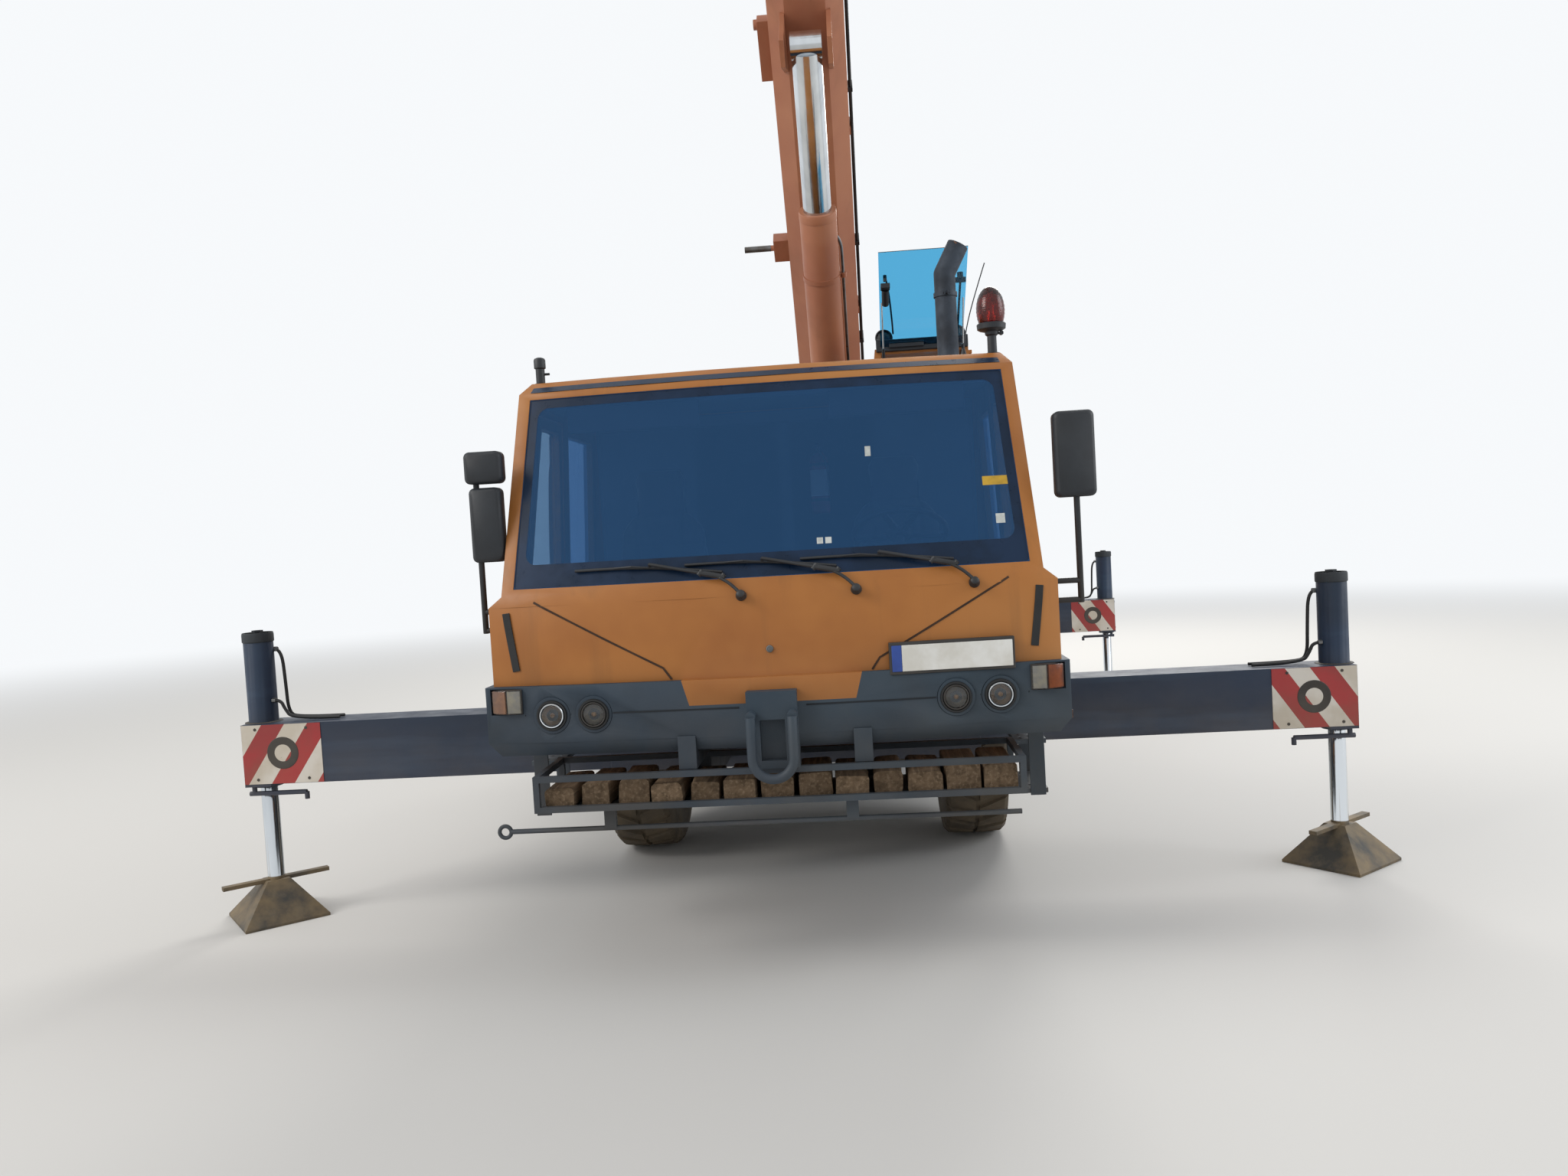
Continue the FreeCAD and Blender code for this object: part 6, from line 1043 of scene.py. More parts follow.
rack_low, rack_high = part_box("packing_blocks")
BLOCK_COUNT, HALF_BLOCK, RACK_FLOOR = 13, 0.075, 0.832
block_pitch = (rack_high.x - rack_low.x - 2 * HALF_BLOCK) / (BLOCK_COUNT - 1)
block_front = NOSE + 0.009
for index in range(BLOCK_COUNT):
    wide, tall, length = random.uniform(0.118, 0.150), random.uniform(0.086, 0.117), random.uniform(0.34,
                                                                                                    0.395)
    back = block_front + 0.2 + random.uniform(-0.012, 0.004)
    middle = Vector((rack_low.x + HALF_BLOCK + block_pitch * index, back, RACK_FLOOR + tall / 2))
    bm = bmesh.new()
    slab(bm, (-wide / 2, -length / 2, -tall / 2), (wide / 2, length / 2, tall / 2))
    along = [e for e in bm.edges if abs(e.verts[0].co.y - e.verts[1].co.y) > 0.1]
    knocked = random.uniform(0.008, 0.030)
    bmesh.ops.bevel(bm, geom=along, offset=knocked, segments=3, affect="EDGES", profile=0.55)
    along = [e for e in bm.edges if abs(e.verts[0].co.y - e.verts[1].co.y) > 0.1]
    bmesh.ops.subdivide_edges(bm, edges=along, cuts=9)
    seed = index * 3.7
    for vert in bm.verts:
        wobble = Vector((noise.noise(vert.co * 16 + Vector((seed, 0, 0))),
                         0.6 * noise.noise(vert.co * 22 + Vector((0, seed, 0))),
                         noise.noise(vert.co * 16 + Vector((0, 0, seed)))))
        vert.co += wobble * 0.006
        vert.co.z = max(vert.co.z, -tall / 2)
    spin = Matrix.Rotation(math.radians(random.uniform(-2.5, 2.5)), 4, "Z")
    bmesh.ops.transform(bm, matrix=Matrix.Translation(middle) @ spin, verts=bm.verts)
    show(bm, f"timber_block_{index}", timber, "carrier", "timber", bevel=0.0015,
                              smooth_angle=40)
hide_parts("packing_blocks")

# %% [markdown]
# ## Wipers
# Three wipers park low on the screen and lean towards the passenger's side. Each has a pivot cap on the
# nose, a bent arm with a spring hood, and a blade with a rubber lip that follows the glass.
# %% Wipers


def wiper(name, x):
    """One wiper, from its pivot to its blade."""
    pivot = cab_skin.front(x, 1.722)
    spun(f"wiper_pivot_{name}", black,
         [(0, 0.024), (0.014, 0.022), (0.022, 0.018), (0.034, 0.017), (0.038, 0.012), (0.039, 0)], pivot,
         (0, -0.94, 0.34), 24)
    knee = screen_skin.front(x - 0.06, 1.805, 0.040)
    grip = screen_skin.front(x - 0.40, 1.878, 0.036)
    start = pivot + Vector((0, -0.030, 0.010))
    bow = knee.lerp(grip, 0.5) + Vector((0, -0.004, 0))
    pipe(f"wiper_arm_{name}", [start, knee, bow, grip], 0.0075, black, sides=2)
    bm = bmesh.new()
    for share in (0.05, 0.33):
        spot = knee.lerp(grip, share)
        rod(bm, spot - Vector((0.010, 0, 0.010)), spot + Vector((0.010, 0, 0.010)), 0.012, 10)
    rod(bm, knee.lerp(grip, 0.02), knee.lerp(grip, 0.34), 0.0125, 10)
    show(bm, f"wiper_hood_{name}", black, bevel=0.001)
    tips = [(x - 0.74, 1.865), (x - 0.56, 1.868), (x - 0.40, 1.862), (x - 0.24, 1.848), (x - 0.08, 1.828)]
    tips = [(max(tx, -1.06), tz) for tx, tz in tips]
    blade = [screen_skin.front(tx, tz, 0.016) for tx, tz in tips]
    pipe(f"wiper_blade_{name}", blade, 0.0065, black, sides=2)
    bm = bmesh.new()
    strip(bm, screen_skin, tips, 0.005, 0.013)
    show(bm, f"wiper_lip_{name}", rubber_trim)
    bm = bmesh.new()
    for a, b in ((1, 2), (2, 3)):
        one, two = screen_skin.front(*tips[a], 0.020), screen_skin.front(*tips[b], 0.020)
        top = one.lerp(two, 0.5) + Vector((0, -0.014, 0.006))
        rod(bm, one, top, 0.004, 8)
        rod(bm, top, two, 0.004, 8)
    rod(bm, grip, screen_skin.front(x - 0.40, 1.862, 0.018), 0.006, 8)
    show(bm, f"wiper_yoke_{name}", black)


for name, x in (("right", -0.11), ("middle", 0.385), ("left", 0.89)):
    wiper(name, x)

# %% [markdown]
# ## Mirrors, beacon and the roof
# Each mirror is a rounded shell with a bright glass in a rubber frame on the side that faces the driver, on
# a tube that two short arms hold off the cab. The beacon's dome is a hollow ribbed lens with a small
# reflector inside. A short post with a cap stands at the other end of the roof, and a whip aerial leans
# beside the beacon.
# %% Mirrors, beacon, post and aerial
MIRROR_Y = NOSE + 0.25
CAB_EDGE = 1.262
ROOF_Y, ROOF_Z = NOSE + 0.62, 2.76


def round_box(bm, low, high, corner, edge, steps=5):
    """A box rounded round its upright outline, as seen from the front, with a small edge front and back."""
    (x0, y0, z0), (x1, y1, z1) = low, high
    rings = []
    for y, inset in ((y0, edge), (y0 + edge, 0.0), (y1 - edge, 0.0), (y1, edge)):
        ring = []
        for cx, cz, start in ((x1, z1, 0), (x0, z1, 90), (x0, z0, 180), (x1, z0, 270)):
            reach = corner - inset * 0.5
            mid_x = cx - math.copysign(corner + inset * 0.5, cx - (x0 + x1) / 2)
            mid_z = cz - math.copysign(corner + inset * 0.5, cz - (z0 + z1) / 2)
            for i in range(steps + 1):
                a = math.radians(start + 90 * i / steps)
                ring.append(bm.verts.new((mid_x + reach * math.cos(a), y, mid_z + reach * math.sin(a))))
        rings.append(ring)
    loft(bm, rings)


MIRRORS = (("left", 1.365, 2.065, 2.440, 0.088), ("right_wide", -1.265, 2.280, 2.425, 0.086),
           ("right", -1.265, 1.925, 2.262, 0.072))
MIRROR_PARTS = (("shell", black, None, 0.0, -0.044, 0.040, 0.026, 0.014),
                ("frame", rubber_trim, None, 0.006, 0.036, 0.044, 0.022, 0.003),
                ("glass", mirror_glass, "rod_chrome", 0.014, 0.040, 0.0449, 0.018, 0.001))
for name, x, low, high, half in MIRRORS:
    for part, finish, slot, inset, front, back, corner, edge in MIRROR_PARTS:
        bm = bmesh.new()
        round_box(bm, (x - half + inset, MIRROR_Y + front, low + inset),
                  (x + half - inset, MIRROR_Y + back, high - inset), corner, edge)
        show(bm, f"mirror_{part}_{name}", finish, slot=slot, smooth_angle=50)
bm = bmesh.new()
for sign, tube_x, top in ((1, 1.370, 2.44), (-1, 1.310, 2.424)):
    turned(bm, [(0.0, 0.0), (0.0, 0.011), (0.003, 0.0135), (top - 1.601, 0.0135), (top - 1.598, 0.0)],
           (sign * tube_x, MIRROR_Y, 1.6005), (0, 0, 1), 20)
    for z in (1.614, 1.699):
        rod(bm, (sign * CAB_EDGE, MIRROR_Y, z), (sign * tube_x, MIRROR_Y, z), 0.0125, 16)
        rod(bm, (sign * (CAB_EDGE + 0.001), MIRROR_Y, z), (sign * (CAB_EDGE + 0.009), MIRROR_Y, z), 0.0138,
            20)
show(bm, "mirror_tubes", black, smooth_angle=50)
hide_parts("mirrors")

beacon_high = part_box("beacon")[1]
beacon_foot = Vector((beacon_high.x - 0.066, ROOF_Y, ROOF_Z))
bm = bmesh.new()
turned(bm, [(0.0, 0.0), (0.0, 0.034), (0.006, 0.034), (0.010, 0.022), (0.085, 0.0215), (0.092, 0.030),
            (0.105, 0.032), (0.112, 0.056), (0.118, 0.066), (0.140, 0.068), (0.144, 0.064), (0.144, 0.0)],
       beacon_foot, (0, 0, 1), 36)
rod(bm, *chain(beacon_foot, (0.018, 0, 0.098), (0.055, 0, 0.098)), 0.006, 10)
rod(bm, *chain(beacon_foot, (0.045, -0.012, 0.098), (0.045, 0.012, 0.098)), 0.010, 10)
beacon_piece = show(bm, "beacon_base", black, slot="beacon_lens", smooth_angle=40)
DOME_RADIUS, DOME_STEPS = 0.0655, 24
dome = []
for i in range(DOME_STEPS):
    a = math.radians(-42 + 132 * i / DOME_STEPS)
    waist = DOME_RADIUS * math.cos(a) if a > 0 else DOME_RADIUS * math.cos(a) ** 0.6
    dome.append((0.208 + (0.108 if a > 0 else 0.094) * math.sin(a), waist + (0.0012 if i % 2 else 0)))
dome.append((0.316, 0.0))
wall = [(z - 0.003, max(radius - 0.0035, 0.0)) for z, radius in reversed(dome[:-1])]
shell = dome + [(dome[-1][0] - 0.0035, 0.0)] + wall
spun("beacon_dome", beacon_lens, shell, beacon_foot, (0, 0, 1), 40, slot="beacon_lens", smooth_angle=60)
bm = bmesh.new()
rod(bm, *chain(beacon_foot, (0, 0, 0.144), (0, 0, 0.185)), 0.014, 16)
rod(bm, *chain(beacon_foot, (0, 0, 0.185), (0, 0, 0.225)), 0.010, 16)
bow = [(0.034 * math.cos(a), 0.016 + 0.022 * math.sin(a), 0.150) for a in (math.pi * i / 8 for i in range(9))]
plate(bm, chain(beacon_foot, *bow), (0, 0, 0.085))
show(bm, "beacon_reflector", reflector, slot="beacon_lens", smooth_angle=50)
bm = bmesh.new()
post = Vector((-beacon_foot.x, ROOF_Y, ROOF_Z))
turned(bm, [(0, 0), (0, 0.030), (0.005, 0.030), (0.009, 0.0215), (0.075, 0.0215), (0.080, 0.028),
            (0.118, 0.028),
            (0.126, 0.024), (0.131, 0.012), (0.132, 0)], post, (0, 0, 1), 28)
rod(bm, *chain(post, (0.018, 0, 0.050), (0.045, 0, 0.050)), 0.006, 10)
show(bm, "roof_post", black, slot="beacon_lens", smooth_angle=40)
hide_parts("beacon")
aerial_foot = Vector((0.955, NOSE + 0.72, ROOF_Z))
spun("aerial_base", black,
     [(0, 0), (0, 0.026), (0.006, 0.025), (0.022, 0.014), (0.040, 0.010), (0.052, 0.006), (0.052, 0)],
     aerial_foot,
     (0, 0, 1), 20)
whip = chain(aerial_foot, (0, 0, 0.045), (0.012, 0.01, 0.12), (0.055, 0.03, 0.27), (0.125, 0.05, 0.46))
pipe("aerial", whip, 0.0028, black, sides=1)

# %% [markdown]
# ## Hoist rope
# The rope leaves the drum at its top, runs just above the boom's sections, goes over the guide sheave at
# the head and down round the lower sheaves. It crosses four joints, so it is cut into stretches: each one
# that spans a joint hangs on no body, and the others ride on theirs. The strands are a fine slanted bump.
# %% Rope from drum to head
BOOM_ANGLE = math.radians(47)
drum_low, drum_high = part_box("winch_drum")
BOOM_X = (drum_low.x + drum_high.x) / 2
PIVOT = Vector((BOOM_X, NOSE + 5.32, 3.10))
AHEAD = Vector((0, -math.cos(BOOM_ANGLE), math.sin(BOOM_ANGLE)))
ABOVE = Vector((0, math.sin(BOOM_ANGLE), math.cos(BOOM_ANGLE)))


def on_boom(along, above, across=0.0):
    """A point of the raised boom: ahead of its pivot, above its axis, to the left of its middle."""
    return PIVOT + AHEAD * along + ABOVE * above + Vector((across, 0, 0))


rope = Finish("wire_rope", "6A6A66", 0.4, 0.8).vary("4A4844", 60).gloss(0.35, 0.55, 80).relief(260, 0.0012,
                                                                                               2.0)
DRUM = Vector((BOOM_X, NOSE + 5.96, 2.78))
ROPE_RADIUS = 0.008
GUIDE_RADIUS, SHEAVE_RADIUS = 0.150, 0.205
HEAD_REACH = 9.0
drum_top = DRUM + ABOVE * (GUIDE_RADIUS + 0.024)
guide = on_boom(HEAD_REACH - 0.08, 0.195)
guide_top = guide + ABOVE * (GUIDE_RADIUS + ROPE_RADIUS)


def rope_stretch(name, start, end, first, second, rings=1):
    """A straight stretch of rope; it rides on one body, or on none when a second is given."""
    bm = bmesh.new()
    run = (end - start).normalized()
    turned(bm, [(run.dot(end - start) * i / rings, ROPE_RADIUS) for i in range(rings + 1)], start, run, 10)
    made = show(bm, name, rope, None if second else first)
    if second:
        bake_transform(made)
    return made


line = guide_top - drum_top
cuts = [0.0, 0.09, 0.845, 0.875, 0.905, 0.935, 1.0]
knots = [drum_top + line * share for share in cuts]
for i, (first, second) in enumerate((("superstructure", "boom"), ("boom", None), ("boom", "section_1"),
                                     ("section_1", "section_2"), ("section_2", "section_3"),
                                     ("section_3", None))):
    rope_stretch(f"hoist_rope_{i}", knots[i], knots[i + 1], first, second, 12 if second else 2)

over = []
for i in range(19):
    a = math.radians(5 * i)
    over.append(guide + (GUIDE_RADIUS + ROPE_RADIUS) * (ABOVE * math.cos(a) + AHEAD * math.sin(a)))
head = on_boom(HEAD_REACH, -0.35)
leave = head + (SHEAVE_RADIUS + ROPE_RADIUS) * AHEAD
pipe("head_rope", over + [over[-1].lerp(leave, 0.5), leave], ROPE_RADIUS, rope, "section_3", sides=2)

# Two layers of turns lie on the drum, and the upper one covers only the first sixteen
TURN_PITCH, TURN_RADIUS = 0.0185, 0.0085
round_section = [(TURN_RADIUS * math.cos(a), TURN_RADIUS * math.sin(a))
                 for a in (math.pi * i / 4 for i in range(8))]
bm = bmesh.new()
for index in range(22):
    for radius, share in ((0.158, 0.0), (0.174, 0.5))[:2 if index < 16 else 1]:
        centre = DRUM + Vector((-0.205 + TURN_PITCH * (index + share), 0, 0))
        turned(bm, [(x, radius + r) for x, r in round_section], centre, (1, 0, 0), 48, closed=True)
show(bm, "drum_windings", rope, "winch", smooth_angle=60)
for index, x in enumerate((0.055, -0.055)):
    centre = Vector((BOOM_X + x, head.y, head.z))
    turns = [math.radians(-10 + 200 * i / 12) for i in range(13)]
    wrap = [centre + (SHEAVE_RADIUS + ROPE_RADIUS) * Vector((0, math.cos(a), math.sin(a))) for a in turns]
    pipe(f"head_wrap_{index}", wrap, ROPE_RADIUS, rope, "section_3", sides=2)
bm = bmesh.new()
for x in (-0.085, -0.055, -0.025, 0.025, 0.055, 0.085):
    for edge in (-0.013, 0.009):
        band(bm, Vector((BOOM_X + x, head.y, head.z)), (1, 0, 0), edge, 0.004, 0.150, 0.224, 48)
for edge in (-0.014, 0.010):
    band(bm, guide, (1, 0, 0), edge, 0.004, 0.10, 0.168, 40)
show(bm, "head_sheave_flanges", dark_plate, "section_3", smooth_angle=40)

# %% [markdown]
# ## Padded seats
# A seat cushion is foam under tight cloth: crowned faces, soft edges, and seams that pull the cloth in. The
# drawn form is first remeshed into small even faces. Blender's Cloth then blows it up a little from inside,
# with gravity off, and no point may move further than a cap. The sewn channels come last, because a remesh
# would wipe them out.
# %% Cushions


def cushion(name, bm, body, channels=(), most=0.014, corner=0.028, copies=()):
    """A padded piece from a drawn form; channels hold axis, place, depth and width of sewn lines."""
    bmesh.ops.bevel(bm, geom=bm.edges[:], offset=corner, segments=4, affect="EDGES", profile=0.5,
                    clamp_overlap=True)
    drawn = bpy.data.meshes.new(name + "_form")
    bm.to_mesh(drawn)
    bm.free()
    form = bpy.data.objects.new(name + "_form", drawn)
    bpy.context.scene.collection.objects.link(form)
    even = form.modifiers.new("even_faces", "REMESH")
    even.mode = "VOXEL"
    even.voxel_size = 0.011
    soft = bpy.data.meshes.new_from_object(form.evaluated_get(bpy.context.evaluated_depsgraph_get()))
    bpy.data.objects.remove(form)
    soft.name = name
    piece = bpy.data.objects.new(name, soft)
    bpy.context.scene.collection.objects.link(piece)
    cloth = piece.modifiers.new("air", "CLOTH")
    cloth.settings.use_pressure = True
    cloth.settings.uniform_pressure_force = 4
    cloth.settings.effector_weights.gravity = 0
    for step in range(1, 21):
        bpy.context.scene.frame_set(step)
    blown = piece.evaluated_get(bpy.context.evaluated_depsgraph_get()).data
    moved = [v.co.copy() for v in blown.vertices]
    piece.modifiers.remove(cloth)
    bpy.context.scene.frame_set(1)
    for vert, place in zip(soft.vertices, moved):
        step = place - vert.co
        if step.length > most:
            step *= most / step.length
        vert.co += step
    soft.update()
    normals = [v.normal.copy() for v in soft.vertices]
    for vert, normal in zip(soft.vertices, normals):
        press = sum(depth * math.exp(-((vert.co[axis] - place) / width) ** 2) for axis, place, depth,
                    width in channels)
        vert.co -= normal * press
    soft.shade_smooth()
    soft.materials.clear()
    soft.materials.append(seat_cloth.material)
    made = [piece]
    for end, shift in copies:
        twin = soft.copy()
        for vert in twin.vertices:
            vert.co += Vector(shift)
        other = bpy.data.objects.new(name + end, twin)
        bpy.context.scene.collection.objects.link(other)
        made.append(other)
    for item in made:
        item.modifiers.new("smooth", "SUBSURF").levels = 1
        item.modifiers["smooth"].render_levels = 1
        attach(item, body)
    print(name, "faces", len(soft.polygons))
    return made


bm = bmesh.new()
slab(bm, (0.362, NOSE + 0.520, 1.588), (0.838, NOSE + 0.972, 1.680))
cab_cushions = cushion("cab_seat_pad", bm, "carrier", copies=(("_right", (-1.2, 0, 0)),),
                       channels=((0, 0.475, 0.010, 0.011), (0, 0.725, 0.010, 0.011),
                                 (1, NOSE + 0.68, 0.006, 0.010),
                                 (1, NOSE + 0.83, 0.006, 0.010)))
bm = bmesh.new()
half = [(0.235, 1.600), (0.240, 1.86), (0.226, 2.03), (0.170, 2.105), (0.132, 2.135), (0.138, 2.30),
        (0.115, 2.352)]
outline = [(0.6 + x, NOSE + 0.996, z) for x, z in half] + [(0.6 - x, NOSE + 0.996, z) for x,
                                                           z in reversed(half)]
plate(bm, outline, (0, 0.080, 0))
cab_cushions += cushion("cab_seat_back", bm, "carrier", copies=(("_right", (-1.2, 0, 0)),),
                        corner=0.022,
                        channels=((0, 0.480, 0.008, 0.011), (0, 0.720, 0.008, 0.011),
                                  (2, 2.120, 0.014, 0.012),
                                  (2, 1.79, 0.006, 0.010), (2, 1.95, 0.006, 0.010)))
house_low, house_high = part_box("crane_cab")
HOUSE_IN, HOUSE_OUT = house_low.x, house_high.x - 0.032
HOUSE_MID = (HOUSE_IN + HOUSE_OUT) / 2
SEAT_HALF = (HOUSE_OUT - HOUSE_IN) / 2 - 0.11
bm = bmesh.new()
slab(bm, (HOUSE_MID - SEAT_HALF + 0.010, NOSE + 3.950, 2.088), (HOUSE_MID + SEAT_HALF - 0.010, NOSE + 4.450,
                                                                2.190))
crane_cushions = cushion("crane_seat_pad", bm, "superstructure",
                         channels=((0, HOUSE_MID - 0.11, 0.010, 0.011), (0, HOUSE_MID + 0.11, 0.010, 0.011),
                                   (1, NOSE + 4.12, 0.006, 0.010)))
bm = bmesh.new()
half = [(SEAT_HALF - 0.012, 2.215), (SEAT_HALF - 0.012, 2.46), (SEAT_HALF - 0.045, 2.58), (0.105, 2.63),
        (0.108, 2.79), (0.09, 2.826)]
outline = [(HOUSE_MID + x, NOSE + 4.368, z) for x, z in half] + [(HOUSE_MID - x, NOSE + 4.368, z) for x,
                                                                 z in reversed(half)]
plate(bm, outline, (0, 0.082, 0))
crane_cushions += cushion("crane_seat_back", bm, "superstructure", corner=0.022,
                          channels=((2, 2.620, 0.012, 0.012), (2, 2.40, 0.006, 0.010),
                                    (0, HOUSE_MID, 0.005, 0.010)))
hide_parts("crane_cab_seat")
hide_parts("cab_interior")

# %% [markdown]
# ## Inside the cab
# Through the screen one makes out the seats, the wheel, a red fire bottle on the rear wall and the lit side
# windows. The dashboard is one moulded profile pulled across the cab; bellows carry the seats; grey lining
# covers the painted rear wall and roof.
# %% Seat bases, dashboard, wheel, bottle and lining
for side, sign in (("left", 1), ("right", -1)):
    x = 0.6 * sign
    bm = bmesh.new()
    slab(bm, (x - 0.17, NOSE + 0.575, 1.196), (x + 0.17, NOSE + 0.90, 1.222))
    for i in range(7):
        z = 1.235 + 0.034 * i
        grow = 0.125 if i % 2 else 0.108
        slab(bm, (x - grow, NOSE + 0.74 - grow, z), (x + grow, NOSE + 0.74 + grow, z + 0.030))
    slab(bm, (x - 0.205, NOSE + 0.55, 1.475), (x + 0.205, NOSE + 0.945, 1.535))
    slab(bm, (x - 0.225, NOSE + 0.535, 1.535), (x + 0.225, NOSE + 0.965, 1.584))
    for hand in (-1, 1):
        slab(bm, (x + hand * 0.232 - 0.012, NOSE + 0.86, 1.56), (x + hand * 0.232 + 0.012, NOSE + 1.00, 1.70))
        rod(bm, (x + hand * 0.2405, NOSE + 0.93, 1.63), (x + hand * 0.249, NOSE + 0.93, 1.63), 0.030, 16)
    show(bm, f"seat_base_{side}", dash_plastic, bevel=0.008, smooth_angle=40)
    x -= sign * 0.262
    boxes(f"belt_buckle_{side}", red_paint if side == "left" else black,
          ((x - 0.006, NOSE + 0.90, 1.60), (x + 0.006, NOSE + 0.925, 1.74)),
          ((x - 0.010, NOSE + 0.895, 1.74), (x + 0.010, NOSE + 0.930, 1.79)), slot="trim_plastic",
          bevel=0.003)

bm = bmesh.new()
profile = [(0.262, 1.505), (0.262, 1.735), (0.275, 1.778), (0.305, 1.795), (0.375, 1.797), (0.425, 1.782),
           (0.455, 1.745),
           (0.468, 1.690), (0.462, 1.625), (0.420, 1.560), (0.395, 1.505)]
plate(bm, [(-1.075, NOSE + y, z) for y, z in profile], (2.15, 0, 0))
slab(bm, (-0.245, NOSE + 0.255, 1.196), (0.245, NOSE + 0.420, 1.510))
show(bm, "dashboard", dash_plastic, bevel=0.006, smooth_angle=30)
bm = bmesh.new()
arch = [(0.26 * math.cos(a), 0.085 * math.sin(a)) for a in (math.pi * i / 16 for i in range(17))]
plate(bm, [(0.6 + x, NOSE + 0.335, 1.775 + z) for x, z in arch], (0, 0.115, 0))
show(bm, "instrument_hood", dash_plastic, "carrier", "trim_plastic", bevel=0.006, smooth_angle=30)
for index, (x, radius) in enumerate(((0.50, 0.052), (0.70, 0.052), (0.60, 0.036))):
    rim = [(0, 0), (0, radius - 0.006), (0.003, radius - 0.004), (0.005, radius), (0.002, radius + 0.004),
           (0, radius + 0.004)]
    spun(f"gauge_{index}", chrome if index < 2 else black, rim,
         (x, NOSE + 0.451, 1.800 if index < 2 else 1.815),
         (0, 1, 0.1), 32, slot="trim_plastic")
bm = bmesh.new()
for x in (-0.95, -0.55, -0.12, 0.12, 0.95):
    for i in range(5):
        slab(bm, (x - 0.055, NOSE + 0.461, 1.665 + 0.012 * i), (x + 0.055, NOSE + 0.472, 1.670 + 0.012 * i))
for x in (-0.30, -0.20, -0.10, 0.0, 0.10, 0.20):
    slab(bm, (x - 0.035, NOSE + 0.455, 1.60), (x + 0.035, NOSE + 0.467, 1.63))
show(bm, "dash_vents", black, "carrier", "trim_plastic", bevel=0.0015)

lean = math.radians(30)
wheel_axis = Vector((0, math.sin(lean), math.cos(lean)))
wheel_foot = Vector((0.6, NOSE + 0.425, 1.755))
wheel_middle = wheel_foot + 0.22 * wheel_axis
bm = bmesh.new()
grip = [(0.014 * math.cos(a), 0.215 + 0.014 * math.sin(a)) for a in (math.pi * i / 6 for i in range(12))]
turned(bm, grip, wheel_middle, wheel_axis, 56, closed=True)
boss = [(-0.02, 0), (-0.02, 0.05), (0.0, 0.062), (0.014, 0.056), (0.020, 0.0)]
turned(bm, boss, wheel_middle, wheel_axis, 28)
across, along = Vector((1, 0, 0)), wheel_axis.cross(Vector((1, 0, 0)))
for angle in (10, 170, 250, 290):
    run = across * math.cos(math.radians(angle)) + along * math.sin(math.radians(angle))
    side = run.cross(wheel_axis) * 0.016
    near, far = wheel_middle + run * 0.045, wheel_middle + run * 0.206
    plate(bm, [near + side, far + side * 0.8, far - side * 0.8, near - side], wheel_axis * -0.012)
rod(bm, wheel_foot - 0.15 * wheel_axis, wheel_middle, 0.022, 20)
column = [(-0.13, 0.0), (-0.13, 0.055), (-0.05, 0.048), (0.0, 0.034), (0.06, 0.032), (0.07, 0.0)]
turned(bm, column, wheel_foot, wheel_axis, 24)
stalks = wheel_foot + 0.10 * wheel_axis
for sign in (-1, 1):
    rod(bm, stalks, stalks + Vector((sign * 0.16, 0.0, 0.03)), 0.007, 10)
show(bm, "steering_wheel", black, slot="trim_plastic", smooth_angle=40)

bottle = Vector((0.2, NOSE + 1.742, 2.08))
spun("fire_bottle", red_paint, [(0, 0), (0, 0.046), (0.008, 0.053), (0.30, 0.053), (0.325, 0.046),
                                (0.340, 0.030),
                                (0.348, 0.020), (0.348, 0)], bottle, (0, 0, 1), 36)
bm = bmesh.new()
turned(bm, [(0.348, 0), (0.348, 0.016), (0.385, 0.016), (0.385, 0)], bottle, (0, 0, 1), 20)
slab(bm, *chain(bottle, (-0.012, -0.075, 0.372), (0.012, 0.02, 0.380)))
slab(bm, *chain(bottle, (-0.012, -0.065, 0.388), (0.012, 0.02, 0.396)))
rod(bm, *chain(bottle, (0, -0.012, 0.365), (0, -0.045, 0.365)), 0.010, 12)
for z in (0.07, 0.27):
    band(bm, bottle, (0, 0, 1), z, 0.018, 0.0535, 0.0555)
show(bm, "bottle_valve", black, slot="trim_plastic", bevel=0.001)
hose = chain(bottle, (0.0, -0.045, 0.365), (0.03, -0.075, 0.33), (0.055, -0.055, 0.22), (0.06, -0.02, 0.10))
pipe("bottle_hose", hose, 0.006, rubber_trim)
bm = bmesh.new()
band(bm, bottle, (0, 0, 1), 0.10, 0.15, 0.0532, 0.0538)
show(bm, "bottle_band", white_paint)

bm = bmesh.new()
slab(bm, (-1.09, NOSE + 1.792, 1.712), (1.09, NOSE + 1.802, 2.69))
for x in (-0.55, 0.0, 0.55):
    slab(bm, (x - 0.52, NOSE + 1.786, 1.76), (x + 0.52, NOSE + 1.794, 2.62))
slab(bm, (-1.04, NOSE + 0.60, 2.699), (1.04, NOSE + 1.79, 2.709))
slab(bm, (-1.03, NOSE + 0.47, 2.615), (1.03, NOSE + 0.74, 2.700))
show(bm, "cab_lining", panel_grey, "carrier", "trim_plastic", bevel=0.006)
boxes("floor_mats", rubber_trim, ((-1.12, NOSE + 0.20, 1.196), (1.12, NOSE + 1.10, 1.204)),
      ((-1.09, NOSE + 1.16, 1.706), (1.09, NOSE + 1.79, 1.712)), slot="trim_plastic", bevel=0.002)
